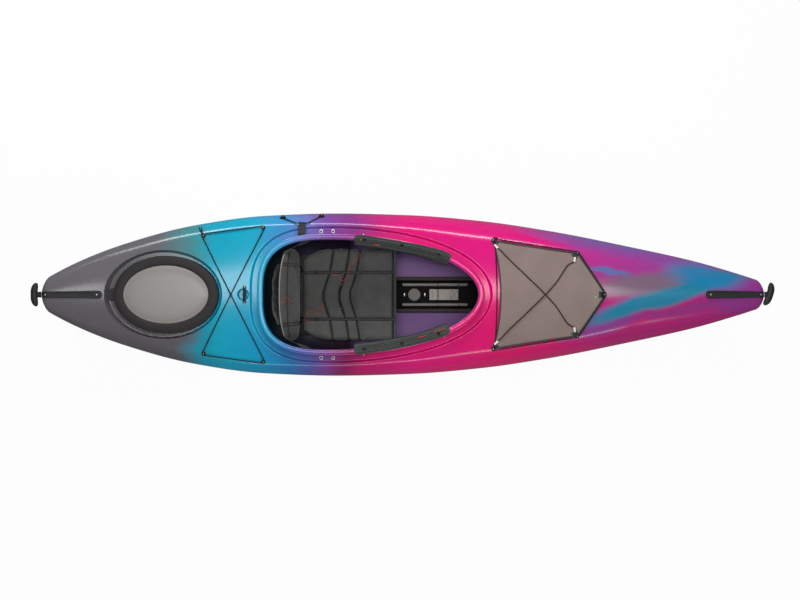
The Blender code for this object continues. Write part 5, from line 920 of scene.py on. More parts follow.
def screw(name, place, axis, radius):
    """A pan-head screw with a round recess in its head, seated on a washer face."""
    profile = [(radius, 0), (radius, radius * 0.18), (radius * 0.9, radius * 0.4), (radius * 0.62, radius * 0.58),
               (radius * 0.34, radius * 0.64), (radius * 0.3, radius * 0.3), (radius * 0.04, radius * 0.26)]
    solid(name, lathe(profile, place, axis, 20), "hull", [], *screw_finish)


for end, word, reach, twist in ((-1, "stern", 0.0295, 0.0), (1, "bow", 0.0207, -17.0)):
    strap_tip = LENGTH / 2 - TIP * 0.2
    strap_inner = strap_tip - HANDLE_LENGTH
    strap_bend = strap_inner + HANDLE_BEND
    rows = sorted({*np.linspace(strap_inner, strap_bend, 7), *np.linspace(strap_bend, strap_tip, 74)})
    rings = []
    for x in rows:
        share = (x - strap_inner) / (strap_tip - strap_inner)
        half = (HANDLE_WIDE + (HANDLE_NARROW - HANDLE_WIDE) * share) / 2
        if x < strap_bend:
            half *= 0.25 + 0.75 * math.sqrt(max(0.0, 1 - ((strap_bend - x) / HANDLE_BEND) ** 2))
        low = max(deck_point(end * x, y)[0].z for y in (0.0, half * 0.6, half)) + 0.0002
        ribbed = 0.16 < share < 0.84
        edge = HANDLE_THICK
        t = edge - (0.0009 if ribbed and round(x / RIB) % 2 else 0)
        ring = [(-half, 0.0), (half, 0.0), (half, edge * 0.6), (half - 0.0012, edge), (half - 0.0042, edge),
                (half - 0.0052, t), (-half + 0.0052, t), (-half + 0.0042, edge), (-half + 0.0012, edge),
                (-half, edge * 0.6)]
        rings.append([(end * x, y, low + z) for y, z in ring])
    solid(f"{word}_strap", rings, "hull", [f"{word}_handle_strap"], *handle_finish, sharp=60)
    for i, share in enumerate((0.085, 0.93)):
        x = strap_inner + share * (strap_tip - strap_inner)
        place, normal = deck_point(end * x, 0.0)
        screw(f"{word}_strap_screw_{i + 1}", place + normal * 0.0038, normal, 0.0046)

    axis_x = end * (strap_tip + 0.0003 + 0.002)
    axis_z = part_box(f"{word}_handle_grip")[0].z + GRIP_THICK + 0.002
    grip_x, grip_z = end * (LENGTH / 2 + reach), axis_z - 0.002
    turn = math.radians(twist)
    rings = []
    for share in np.sin(np.linspace(-math.pi / 2, math.pi / 2, 27)):
        fullness = math.sqrt(max(0.0, 1 - abs(share) ** 3.5)) * 0.85 + 0.1
        waist = 1 - 0.06 * math.exp(-(share / 0.3) ** 2)
        ring = []
        for a in np.linspace(0, 2 * math.pi, 28, endpoint=False):
            x = math.cos(a) * GRIP_WIDE * fullness * 0.9 * waist - end * 0.009 * share * share
            y, z = share * GRIP_HALF, math.sin(a) * GRIP_THICK * fullness * waist
            ring.append((grip_x + x * math.cos(turn) - y * math.sin(turn),
                         x * math.sin(turn) + y * math.cos(turn), grip_z + z))
        rings.append(ring)
    solid(f"{word}_grip", rings, f"{word}_grip", [f"{word}_handle_grip"], *handle_finish, sharp=60)
    rings = []
    for share, w in ((0, 0.0132), (0.3, 0.0125), (0.8, 0.0132)):
        rings.append([(axis_x + (grip_x - axis_x) * share, y, axis_z + z) for y, z in (
            (-w, -0.0019), (w, -0.0019), (w, 0.0008), (w - 0.0014, 0.0019), (0.0014 - w, 0.0019), (-w, 0.0008))])
    solid(f"{word}_grip_tongue", rings, f"{word}_grip", [], *handle_finish, sharp=50)


# ----------
# Stern rigging: a 5 mm bungee with a braided cover, knotted and laced in a figure of eight round four
# black nylon eyes, each held by one stainless screw.
CORD_RADIUS, CORD_TURN = 0.0025, 0.007
fitting_finish = moulded("fitting_black", "131315", 0.5, 900.0, 0.2, 0.12, Specular_IOR_Level=0.3)

# A braided cover: two families of strands wound opposite ways round the cord, with a few pale ones
braid, given, result = effect("braid", [("Run", "Vector", None), ("Colour", "Color", None)],
                              [("Colour", "Color"), ("Normal", "Vector")])
tree = braid
apart = parted(tree, given["Run"])
strands = []
for hand in (1, -1):
    angle = maths(tree, "MULTIPLY", apart[1], hand * 8 * math.pi)
    angle = maths(tree, "MULTIPLY_ADD", apart[0], 2600.0, angle)
    strands.append(maths(tree, "SINE", angle))
top = maths(tree, "MAXIMUM", *strands)
fleck = put(tree, "MapRange", (strands[0], 0.6, 1.0, 0.8, 1.5))
shaded(tree, given["Colour"], fleck, result["Colour"])
embossed(tree, top, 0.5, 0.0006, result["Normal"])


def braided(name, code, slot=None):
    """The finish of a braided cord in one colour."""
    made, tree, inputs, place = finish(name, 0.78, Specular_IOR_Level=0.3)
    run = put(tree, "UVMap", uv_map="run")
    cover = use(tree, braid, {"Run": run, "Colour": colour(code)})
    tree.links.new(cover["Colour"], inputs["Base Color"])
    tree.links.new(cover["Normal"], inputs["Normal"])
    fuzz = put(tree, "TexNoise", {"Vector": place, "Scale": 1400.0})
    tree.links.new(put(tree, "MapRange", (fuzz, 0.0, 1.0, 0.55, 1.0)), inputs["Roughness"])
    return slot or name, made


def flowing(points, step=0.003):
    """Evenly spaced points of a smooth curve through the given ones."""
    p = np.array(points, float)
    t = np.concatenate([[0], np.cumsum(np.linalg.norm(np.diff(p, axis=0), axis=1))])
    slopes = np.gradient(p, t, axis=0)
    s = np.linspace(0, t[-1], max(3, round(t[-1] / step)) + 1)
    i = np.clip(np.searchsorted(t, s, side="right") - 1, 0, len(t) - 2)
    h = (t[i + 1] - t[i])[:, None]
    u = (s - t[i])[:, None] / h
    return ((2 * u**3 - 3 * u**2 + 1) * p[i] + (u**3 - 2 * u**2 + u) * h * slopes[i]
            + (3 * u**2 - 2 * u**3) * p[i + 1] + (u**3 - u**2) * h * slopes[i + 1])


def deck_heights(plan):
    """The deck's height at places in plan."""
    return hull_surface(*hull_place(np.asarray(plan, float)[:, :2], True), True)[0][:, 2]


def over_deck(line, gap):
    """A cord's line, lifted where the deck would touch its underside."""
    line = np.array(line)
    line[:, 2] = np.maximum(line[:, 2], deck_heights(line) + gap)
    return line


def tube(name, lines, radius, body, nodes_of, slot, material, sides=10):
    """Round cords along lines of points, as one mesh with the distance along and the turn round it."""
    points, faces, runs = [], [], []
    for line in lines:
        line = np.asarray(line, float)
        ahead = np.gradient(line, axis=0)
        ahead /= np.linalg.norm(ahead, axis=1)[:, None]
        side = np.cross(ahead[0], (0.3, 0.2, 0.93))
        far = np.concatenate([[0], np.cumsum(np.linalg.norm(np.diff(line, axis=0), axis=1))])
        first = len(points)
        stations = [(0, -0.6, 0.25), (0, -0.45, 0.7), *[(k, 0, 1) for k in range(len(line))],
                    (len(line) - 1, 0.45, 0.7), (len(line) - 1, 0.6, 0.25)]
        for k, push, share in stations:
            side = side - ahead[k] * side.dot(ahead[k])
            side /= np.linalg.norm(side)
            up = np.cross(ahead[k], side)
            middle = line[k] + ahead[k] * push * radius
            for a in (2 * math.pi * i / sides for i in range(sides)):
                points.append(middle + (side * math.cos(a) + up * math.sin(a)) * radius * share)
        for r in range(len(stations) - 1):
            u0, u1 = (far[stations[q][0]] + stations[q][1] * radius for q in (r, r + 1))
            for i in range(sides):
                a, b = first + r * sides + i, first + r * sides + (i + 1) % sides
                faces.append((a, b, b + sides, a + sides))
                v0, v1 = i / sides, (i + 1) / sides
                runs += [(u0, v0), (u0, v1), (u1, v1), (u1, v0)]
        for ring in (range(first, first + sides), range(len(points) - sides, len(points))):
            faces.append(tuple(ring) if ring[0] != first else tuple(ring)[::-1])
            runs += [(0.0, 0.0)] * sides
    data = bpy.data.meshes.new(name)
    data.from_pydata([tuple(p) for p in points], [], faces)
    data.uv_layers.new(name="run").data.foreach_set("uv", np.array(runs, np.float32).ravel())
    return settled(name, data, body, nodes_of, material, 70)


def knot(centre, axis, size):
    """The line of an overhand knot, pulled tight, about an axis."""
    turn = Vector(axis).to_track_quat("Z", "Y")
    line = []
    for a in np.linspace(0, 2 * math.pi, 40):
        local = Vector((math.sin(a) + 2 * math.sin(2 * a), math.cos(a) - 2 * math.cos(2 * a), -1.1 * math.sin(3 * a)))
        line.append(Vector(centre) + turn @ (local * size / 3))
    return line


def eye(name, x, y, nodes_of):
    """A spool-shaped eye and its screw; gives its place, a point of its neck, its axis and two ways across."""
    place, normal = deck_point(x, y)
    place += normal * 0.0004
    profile = [(8.5, 0), (8.5, 1.3), (7.6, 2), (4.6, 2.5), (3.6, 3.4), (3.4, 5), (3.6, 6.6), (4.6, 7.6), (7.7, 8.1),
               (8.5, 8.8), (8.5, 9.6), (7.6, 10.6), (5.2, 11), (4.4, 10.7), (4.2, 9.9), (0.2, 9.8)]
    rings = lathe([(r / 1000, z / 1000) for r, z in profile], place, normal)
    solid(name, rings, "hull", nodes_of, *fitting_finish, sharp=45)
    screw(name + "_screw", place + normal * 0.0099, normal, 0.0029)
    ahead = (Vector((1, 0, 0)) - normal * normal.x).normalized()
    return place, place + normal * 0.0051, normal, ahead, normal.cross(ahead)


def taut(start, end):
    """Points of a taut cord between two points, which bends only where the deck lifts it."""
    span = (end - start).length
    fine = np.linspace(0, 1, max(8, int(span / 0.006)) + 1)
    places = np.array([start.lerp(end, t) for t in fine])
    heights = places[:, 2].copy()
    heights[1:-1] = deck_heights(places[1:-1]) + CORD_RADIUS + 0.0003
    held = [0]
    for k in range(1, len(fine)):
        while len(held) > 1:
            i, j = held[-2:]
            if (heights[j] - heights[i]) * (k - i) > (heights[k] - heights[i]) * (j - i):
                break
            held.pop()
        held.append(k)
    kept = np.linspace(0, 1, max(2, int(span / 0.055)) + 1)
    rise = np.interp(kept, fine[held], heights[held])
    rise += max(0.0, np.max((heights - np.interp(fine, kept, rise))[1:-1]))
    return [Vector((*start.lerp(end, t).xy, z)) for t, z in list(zip(kept, rise))[1:-1]]


def turned(spool, start, end, turn):
    """Points of a cord that turns round an eye's neck, with a short straight lead at each end."""
    _, neck, _, ahead, aside = spool

    def spoke(angle):
        return (ahead * math.cos(angle) + aside * math.sin(angle)) * CORD_TURN

    sweep = ((end - start) * turn) % (2 * math.pi)
    count = max(1, round(sweep / math.radians(44)))
    arc = [neck + spoke(start + turn * sweep * k / count) for k in range(count + 1)]
    return [arc[0] - spoke(start + turn * math.pi / 2), *arc, arc[-1] + spoke(end + turn * math.pi / 2)]


def heading(spool, way):
    """The angle of a direction in the plane of an eye."""
    return math.atan2(way.dot(spool[4]), way.dot(spool[3]))


def laced(spools, turns):
    """The line of a cord laced round eyes, each with the way it turns there, and knotted at the first."""
    ways = []
    for i, turn in enumerate(turns):
        run = spools[(i + 1) % len(turns)][1] - spools[i][1]
        away = math.atan2(run.y, run.x)
        away += math.asin((turn - turns[(i + 1) % len(turns)]) * CORD_TURN / run.xy.length)
        ways.append(Vector((math.cos(away), math.sin(away), run.z / run.xy.length)))
    arcs = [turned(spool, *(heading(spool, way) - turn * math.pi / 2 for way in (ways[i - 1], ways[i])), turn)
            for i, (spool, turn) in enumerate(zip(spools, turns))]
    middle = len(arcs[0]) // 2
    gap = (arcs[0][middle + 1] - arcs[0][middle]) * 0.3
    points = [arcs[0][middle] + gap, *arcs[0][middle + 1:]]
    for arc, following in zip(arcs, arcs[1:]):
        points += [*taut(arc[-1], following[0]), *following]
    points += [*taut(arcs[-1][-1], arcs[0][0]), *arcs[0][:middle + 1]]
    points[-1] = points[-1] - gap
    return points


eyes = []
for i, (x, y) in enumerate(((-0.886, 0.26225), (-0.62, 0.29783), (-0.886, -0.26225), (-0.62, -0.29783)), 1):
    eyes.append(eye(f"stern_eye_{i}", x, y, [f"stern_deck_eye_{i}"]))
cord_finish = braided("cord_black", "202022")
line = flowing(laced(eyes, (-1, -1, 1, 1)))
second = np.arange(len(line)) > len(line) / 2
line[second, 2] += 0.006 * np.exp(-(line[second, 1] / 0.0197) ** 2)
line = over_deck(line, 0.0027)
tails = []
for dx, dy in ((-0.0145, 0.031), (-0.004, 0.03)):
    start = line[0] + (-0.002, 0.002, 0.001)
    tail = [start, start + (dx * 0.35, dy * 0.3, 0.0016), start + (dx * 0.8, dy * 0.72, -0.003),
            start + (dx, dy, -0.01)]
    tails.append(over_deck(flowing(tail), 0.0026))
ties = knot(line[0] + (-0.0015, 0.002, 0.001), eyes[0][2], 0.0042)
tube("stern_bungee_cord", [line, ties, *tails], CORD_RADIUS, "hull", ["stern_bungee"], *cord_finish)


# ----------
# Lock bar: a black nylon bar that a lock's cable goes round. It bridges the finger pocket behind the
# cockpit, and a stainless screw through each foot holds it to the deck.
BAR_X, BAR_HALF = -0.702, 0.0392
rings = []
for share in np.sin(np.linspace(-math.pi / 2, math.pi / 2, 45)):
    y = share * BAR_HALF
    deck_z = deck_point(BAR_X, math.copysign(max(abs(y), 0.027), y))[0].z
    foot = ease((abs(share) - 0.56) / 0.14)
    round_end = math.sqrt(max(0.02, 1 - max(0.0, (abs(share) - 0.82) / 0.18) ** 2))
    half = (0.0058 + (0.0078 - 0.0058) * foot) * round_end
    low, top = deck_z + 0.0007 + 0.0012 * (1 - foot), deck_z + 0.0095 - 0.0042 * foot
    mid = (low + top) / 2
    rings.append([(BAR_X + half * math.cos(a), y, mid + (top - low) / 2 * math.sin(a) * (1 - 0.12 * foot))
                  for a in np.linspace(0, 2 * math.pi, 20, endpoint=False)])
solid("lock_bar", rings, "hull", ["security_bar"], *fitting_finish, sharp=60)
for i, side in enumerate((1, -1), 1):
    place, normal = deck_point(BAR_X, side * 0.0335)
    screw(f"lock_bar_screw_{i}", place + normal * 0.0048, normal, 0.0042)


# ----------
# Paddle park: a moulded hook that is pulled over a paddle shaft and otherwise rests under the coaming's
# lip, on a short bungee between two eyes that stand on the side of the hull.


def refined(name, node, body, slot, material, bevel, sharp=40):
    """A copy of a small CAD piece with its edges rounded off."""
    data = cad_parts[node].data.copy()
    work = bmesh.new()
    work.from_mesh(data)
    bmesh.ops.remove_doubles(work, verts=work.verts, dist=1e-5)
    bmesh.ops.dissolve_limit(work, angle_limit=math.radians(1.0), verts=work.verts, edges=work.edges)
    edges = [e for e in work.edges if len(e.link_faces) == 2 and e.calc_face_angle(0) > math.radians(sharp * 0.7)]
    bmesh.ops.bevel(work, geom=edges, offset=bevel, offset_type="OFFSET", segments=2, profile=0.6,
                    affect="EDGES", clamp_overlap=True)
    bmesh.ops.triangulate(work, faces=[f for f in work.faces if len(f.verts) > 4])
    work.to_mesh(data)
    work.free()
    data.name = name
    settled(name, data, body, [node], material, sharp)


refined("paddle_hook", "paddle_park_hook", "hull", *fitting_finish, 0.0008)
line = []
for i, x, y, hook_x, turn in ((1, -0.535, 0.34185, -0.4665, -1), (2, -0.362, 0.34896, -0.4275, 1)):
    spool = eye(f"paddle_park_spool_{i}", x, y, [f"paddle_park_eye_{i}"])
    place, neck, normal, ahead, aside = spool
    rings = []
    for r, z in ((1.0, 0.0), (1.0, 0.0016), (0.93, 0.0024), (0.3, 0.0026)):
        rings.append([place + ahead * (0.0155 * r * math.cos(a)) + aside * (0.0072 * r * math.sin(a)) + normal * z
                      for a in np.linspace(0, 2 * math.pi, 28, endpoint=False)])
    solid(f"paddle_park_pad_{i}", rings, "hull", [], *fitting_finish)
    near = Vector((hook_x, 0.3168, 0.2764))
    side = heading(spool, near - neck) + turn * math.pi / 2
    arc = turned(spool, side + turn * math.radians(200), side, -turn)
    leg = [*arc, *taut(arc[-1], near), near]
    line += leg if turn < 0 else leg[::-1]
line = over_deck(flowing(line), 0.0026)
tube("paddle_park_cord", [line], CORD_RADIUS, "hull", ["paddle_park_bungee"], *cord_finish)


# ----------
# Deck net: a panel of taupe mesh with a dark green hem, stretched on a bungee round five eyes, and
# two brown cords that cross over it, held at the net's corners by white clips.
net_eyes = []
for i, (x, y) in enumerate(((0.4, 0.23809), (0.768, 0.18015), (0.884, 0.0), (0.768, -0.18015), (0.4, -0.23809)), 1):
    net_eyes.append(eye(f"net_eye_{i}", x, y, [f"bow_deck_eye_{i}"]))
side_runs = flowing(laced(net_eyes, (-1,) * 5)[:33])  # up to the last eye; the rear run follows the hem
rear_line = [(0.4072, 0.2375), (0.4086, 0.21), (0.412, 0.1), (0.4135, 0)]
rear_line += [(x, -y) for x, y in rear_line[2::-1]]
rear_run = flowing(np.column_stack([rear_line, deck_heights(rear_line) + 0.004]))
knots = [knot(net_eyes[2][1] + Vector(shift), net_eyes[2][2], 0.0078)
         for shift in ((-0.009, 0.003, 0.002), (-0.005, -0.006, 0.001))]
tail = [Vector((0.402, 0.246, 0.316)), Vector((0.4075, 0.2515, 0.3175)), Vector((0.4135, 0.2505, 0.317)),
        Vector((0.4185, 0.2475, 0.3155))]
tube("net_bungee", [over_deck(side_runs, 0.0027), over_deck(rear_run, 0.0036), *knots,
                    over_deck(flowing(tail), 0.0026)], CORD_RADIUS, "hull", ["deck_mesh_bungee"], *cord_finish)

net_finish, tree, inputs, place = finish("deck_mesh", 0.86, Specular_IOR_Level=0.25, Sheen_Weight=0.2)
holes = put(tree, "Mapping", {"Vector": place, "Scale": (460.0, 460.0, 460.0), "Rotation": (0, 0, 0.7854)})
cells = put(tree, "TexVoronoi", {"Vector": holes, "Scale": 1.0, "Randomness": 0.12}, voronoi_dimensions="2D")
cloud = put(tree, "TexNoise", {"Vector": place, "Scale": 9.0, "Detail": 3.0})
thread = put(tree, "MapRange", (cells, 0.12, 0.34, 0.0, 1.0))
knit = put(tree, "Mix", {0: thread, 6: colour("4c413d"), 7: colour("96847e")}, out=2, data_type="RGBA")
shade = put(tree, "MapRange", (cloud, 0.3, 0.7, 0.93, 1.07))
shaded(tree, knit, shade, inputs["Base Color"])
embossed(tree, cells, 0.35, 0.0008, inputs["Normal"])


def sheet_faces(tall, wide):
    """The faces of a closed sheet made of two grids of points, and the loop of places round its edge."""
    total, faces = tall * wide, []
    for r in range(tall - 1):
        for a in range(r * wide, r * wide + wide - 1):
            b = total + a
            faces += [(a, a + wide, a + wide + 1, a + 1), (b, b + 1, b + wide + 1, b + wide)]
    edge = [*range(wide), *range(2 * wide - 1, total, wide),
            *range(total - 2, total - wide - 1, -1), *range(total - 2 * wide, 0, -wide)]
    faces += [(a, b, total + b, total + a) for a, b in zip(edge, edge[1:] + edge[:1])]
    return faces, edge


NET_THICK, NET_GAP, NET_DRAWN_IN = 0.0009, 0.0013, 0.0345
net_x = [0.3955, 0.769, 0.8855]
stations = np.concatenate([np.linspace(0, 1, 66), 1 + np.linspace(0, 1, 25)[1:]])
across = np.linspace(-1, 1, 61)
net_plan = []
for s in stations:
    x = float(np.interp(s, [0, 1, 2], net_x))
    half = float(np.interp(x, net_x, [0.2385, 0.1812, 0.004]))
    half -= 0.002 * math.sin(math.pi * min(1.0, s))
    for v in across:
        drawn = NET_DRAWN_IN * (1 - v * v) ** 0.8 * max(0.0, 1 - s) ** 3
        net_plan.append((x + drawn, v * half, s, v))
net_plan = np.array(net_plan)
heights = deck_heights(net_plan) + NET_GAP
s, v = net_plan[:, 2], net_plan[:, 3]
heights += 0.0009 * np.exp(-((v - 0.72) / 0.12) ** 2) * np.exp(-((s - 0.33) / 0.3) ** 2) * np.sin(v * 95 + s * 9)
heights += 0.0007 * np.exp(-((s - 0.04) / 0.06) ** 2) * np.sin(v * 40) ** 2
cloth = [(x, y, z) for (x, y), z in zip(net_plan[:, :2], heights)]
cloth += [(x, y, z + NET_THICK) for x, y, z in cloth]
faces, edge = sheet_faces(len(stations), len(across))
data = bpy.data.meshes.new("deck_net")
data.from_pydata(cloth, [], faces)
net = settled("deck_net", data, "hull", ["deck_mesh_panel"], net_finish, 60)
hem_finish = moulded("net_hem", "333f3a", 0.85, 1500.0, 0.3, 0.3, slot="deck_mesh")
hem = np.array([cloth[i] for i in edge + edge[:1]])
tube("net_hem", [over_deck(flowing(hem[::2] + (0, 0, 0.0006), 0.004), 0.003)], 0.0032, "hull", [], *hem_finish, 8)
for i, (px, py) in enumerate(((0.4, 0.238), (0.768, 0.182), (0.883, 0.0), (0.768, -0.182), (0.4, -0.238)), 1):
    inward = Vector((0.62 - px, -py, 0)).normalized()
    aside = Vector((-inward.y, inward.x, 0))
    rings = []
    for depth, half in ((0.0, 0.003), (0.004, 0.008), (0.014, 0.0135), (0.022, 0.0155), (0.024, 0.015)):
        middle = Vector((px, py, 0)) + inward * depth
        corners = [middle + aside * half * share for share in (-1, -0.33, 0.33, 1)]
        low = deck_heights([c.xy for c in corners]) + 0.0018
        rings.append([(c.x, c.y, z) for c, z in zip(corners, low)]
                     + [(c.x, c.y, z + 0.0011) for c, z in zip(corners[::-1], low[::-1])])
    solid(f"net_corner_{i}", rings, "hull", [], *hem_finish)

clip_finish = moulded("clip_white", "f0f0ee", 0.35, 600.0, 0.05, 0.05)
cross_finish = braided("cord_brown", "3c241f")
CROSSING_X, CROSS_LIFT = 0.6245, 0.0049
clips = []
for i, (x, y, forward) in enumerate(((0.412, 0.21209, 1), (0.756, 0.15415, -0.45), (0.756, -0.15415, -0.45),
                                     (0.412, -0.21209, 1)), 1):
    lean = Vector((forward * 0.0108, -math.copysign(0.02, y), 0)).normalized()
    if forward > 0:
        lean = Vector((0.0125, -math.copysign(0.0145, y), 0)).normalized()
    aside = Vector((-lean.y, lean.x, 0))
    rings = []
    for along in (-0.5, -0.47, -0.4, -0.2, 0.0, 0.2, 0.4, 0.47, 0.5):
        middle = Vector((x, y, 0)) + lean * along * 0.0215
        half = 0.0046 * (0.72 if abs(along) == 0.5 else 0.9 if abs(along) > 0.45 else 1 - 0.1 * (along == 0))
        low = deck_point(*middle.xy)[0].z + 0.0024
        ring = []
        for a in np.linspace(0, 2 * math.pi, 16, endpoint=False):
            ca, sa = math.cos(a), math.sin(a)
            u = math.copysign(abs(ca) ** 0.6, ca) * half
            w = math.copysign(abs(sa) ** 0.6, sa) * 0.0031 * (half / 0.0046) ** 0.5
            ring.append(middle + aside * u + Vector((0, 0, low + 0.0032 + w)))
        rings.append(ring)
    solid(f"cord_clip_{i}", rings, "hull", [f"deck_cord_clip_{i}"], *clip_finish, sharp=60)
    clips.append((Vector((x, y, 0)) + lean * 0.0108, lean))
for i, (first, last) in enumerate(((0, 2), (3, 1)), 1):
    (a, lean_a), (b, _) = clips[first], clips[last]
    crossing = Vector((CROSSING_X, 0.0, 0))
    inboard = -math.copysign(1, b.y)
    plan = [a, a + lean_a * 0.012 + Vector((0.004, 0, 0)), a.lerp(crossing, 0.16), a.lerp(crossing, 0.55), crossing,
            b.lerp(crossing, 0.62), *(b + Vector((-back, inboard * drop, 0)) for back, drop in (
                (0.043, 0.034), (0.034, 0.021), (0.022, 0.0105), (0.01, 0.004))), b]
    line = flowing([(p.x, p.y, 0) for p in plan])
    away = np.hypot(line[:, 0] - CROSSING_X, line[:, 1])
    line[:, 2] = deck_heights(line) + CROSS_LIFT + (CROSS_LIFT * np.exp(-((away / 0.017) ** 2)) if i == 2 else 0)
    tube(f"cross_cord_{i}", [line], 0.0026, "hull", [f"deck_cross_cord_{i}"], *cross_finish)
bead_place, bead_axis = deck_point(0.8445, -0.0105)
profile = [(0.0024 * math.cos(a), 0.0024 * math.sin(a) + 0.0046) for a in np.linspace(-1.5, 1.5, 12)]
solid("net_bead", lathe(profile, bead_place, bead_axis, 16), "hull", [], *clip_finish, sharp=60)


# ----------
# Seat: a black moulded base bolted to the hull floor, under a cushion of thermoformed foam covered in
# grey woven nylon. Raised panels stand between chevron seams that point aft; a red shock cord, two
# snaps and small ladder buckles lie in the seams.
seat_plastic = moulded("seat_plastic", "1d1d1f", 0.48, 500.0, 0.15, 0.15)
refined("seat_tray", "seat_base", "hull", *seat_plastic, 0.002)

# Plain weave: threads in two directions over and under each other, 1.1 mm apart
woven, given, result = effect("woven", [("Place", "Vector", None), ("Colour", "Color", None),
                                        ("Threads", "Float", 900.0), ("Raised", "Float", 0.3)],
                              [("Colour", "Color"), ("Normal", "Vector")])
tree = woven
apart = parted(tree, put(tree, "VectorMath", {0: given["Place"], "Scale": given["Threads"]}, operation="SCALE"))
diagonal = maths(tree, "ADD", apart[0], apart[2])
warp = maths(tree, "SINE", maths(tree, "MULTIPLY", diagonal, math.pi))
weft = maths(tree, "SINE", maths(tree, "MULTIPLY", apart[1], math.pi))
over = maths(tree, "MULTIPLY", warp, weft)
worn = put(tree, "TexNoise", {"Vector": given["Place"], "Scale": 22.0, "Detail": 5.0})
shade = put(tree, "MapRange", (worn, 0.0, 1.0, 0.7, 1.3))
# Lighter where a thread lies over the other and darker where it dips under: painted light and shade of the weave's
# relief
shade = maths(tree, "MULTIPLY_ADD", over, 0.1, shade)
shaded(tree, given["Colour"], shade, result["Colour"])
embossed(tree, over, given["Raised"], 0.0004, result["Normal"])


def fabric(name, code, roughness=0.88, threads=900.0, raised=0.3, sheen=0.25, slot=None):
    """Woven nylon in one colour, with painted shade: darker where the attribute sunk says that it lies sunk in a seam
    or channel.
    """
    made, tree, inputs, place = finish(name, roughness, Specular_IOR_Level=0.25, Sheen_Weight=sheen,
                                       Sheen_Roughness=0.5)
    cloth = use(tree, woven, {"Place": place, "Colour": colour(code), "Threads": threads, "Raised": raised})
    # Painted shade: the cloth's colour falls to 0.22 of itself where it is most sunk
    sunk = put(tree, "Attribute", attribute_name="sunk", out="Fac")
    painted_seam_shade = put(tree, "MapRange", (sunk, 0.0, 1.0, 1.0, 0.22))
    shaded(tree, cloth["Colour"], painted_seam_shade, inputs["Base Color"])
    tree.links.new(cloth["Normal"], inputs["Normal"])
    return slot or name, made


seat_fabric = fabric("seat_fabric", "5d5d5b")
trim_fabric = fabric("seat_trim", "6d6c69", 0.8, 1400.0, slot="seat_fabric")
thread_red = braided("shock_cord_red", "e2543c", slot="seat_fabric")


def padded_body(name, top, under, held, sunk, body, nodes_of, slot, material, limit):
    """A closed pad between two grids of points. Its cover is blown up as sewn cloth that is held at
    the points given, so that the panels between the seams swell and pucker; the fabric's colour is
    darkened where it is sunk, as painted shade in the seams and channels."""
    tall, wide = top.shape[:2]
    total = tall * wide
    points = np.vstack([top.reshape(-1, 3), under.reshape(-1, 3)])
    faces, edge = sheet_faces(tall, wide)
    data = bpy.data.meshes.new(name)
    data.from_pydata(points.tolist(), [], faces)
    work = bmesh.new()
    work.from_mesh(data)
    bmesh.ops.recalc_face_normals(work, faces=work.faces)
    work.to_mesh(data)
    work.free()
    pad = bpy.data.objects.new(name + "_sewn", data)
    scene.collection.objects.link(pad)
    group = pad.vertex_groups.new(name="held")
    fixed = np.concatenate([held.ravel(), np.ones(total, bool)])
    fixed[edge] = True
    group.add(np.nonzero(fixed)[0].tolist(), 1.0, "REPLACE")
    cloth = pad.modifiers.new("sewn", "CLOTH")
    cloth.settings.quality = 5
    cloth.settings.mass = 0.25
    cloth.settings.tension_stiffness = cloth.settings.compression_stiffness = 14
    cloth.settings.shear_stiffness = 8
    cloth.settings.bending_stiffness = 0.6
    cloth.settings.use_pressure = True
    cloth.settings.uniform_pressure_force = 5.0
    cloth.settings.vertex_group_mass = "held"
    cloth.settings.effector_weights.gravity = 0
    cloth.collision_settings.use_collision = False
    cloth.point_cache.frame_start, cloth.point_cache.frame_end = 1, 20
    for step in range(1, 21):
        scene.frame_set(step)
    swollen = pad.evaluated_get(bpy.context.evaluated_depsgraph_get()).data
    after = np.empty(len(points) * 3)
    swollen.vertices.foreach_get("co", after)
    moved = after.reshape(-1, 3) - points
    far = np.linalg.norm(moved, axis=1)[:, None]
    points = points + moved * np.minimum(1.0, limit / np.maximum(far, 1e-9))
    scene.frame_set(1)
    bpy.data.objects.remove(pad)
    data.vertices.foreach_set("co", points.ravel())
    marked(data, "sunk", np.concatenate([np.clip(sunk, 0, 1).ravel(), np.zeros(total)]))
    return settled(name, data, body, nodes_of, material, 55), points[:total].reshape(tall, wide, 3)


SEAT_REAR, SEAT_FOLD, SEAT_FRONT, SEAT_HALF, SEAT_REAR_HALF, SEAT_LOW = -0.455, -0.195, -0.03, 0.212, 0.185, 0.0503
SEAT_SEAMS = (-0.365, -0.291, -0.241)
CHANNEL_Y, SEAT_MIDDLE = 0.108, -0.006


def seam_shift(y):
    """How far forward the chevron seams run towards the seat's sides."""
    away = np.abs(y - SEAT_MIDDLE)
    return 0.03 * np.clip((away - 0.018) / 0.094, 0, 1) + 0.16 * np.maximum(0, away - 0.112)


def seat_height(x):
    """The height of the panels along the seat."""
    share = (x - SEAT_REAR) / (SEAT_FRONT - SEAT_REAR)
    dip = 0.008 * np.sin(math.pi * np.clip(share * 1.5, 0, 1))
    return 0.095 + 0.012 * share - dip + 0.03 * np.maximum(0, (x - SEAT_FOLD) / (SEAT_FRONT - SEAT_FOLD))


def between_seams(along, across, seams, channel, depth):
    """How far the padding drops from its panels towards the seams and the welted channels."""
    away = np.min([np.abs(along - s) for s in seams], axis=0)
    drop = 1 - ease((away - 0.0026) / 0.0062)
    side_away = np.abs(np.abs(across - SEAT_MIDDLE) - channel)
    gutter = 1 - ease((side_away - 0.0055) / 0.0045)
    welt = np.clip(1 - (side_away / 0.0036) ** 2, 0, 1) ** 0.5
    low = np.maximum(drop, gutter)
    return depth * low - 0.5 * depth * welt * gutter


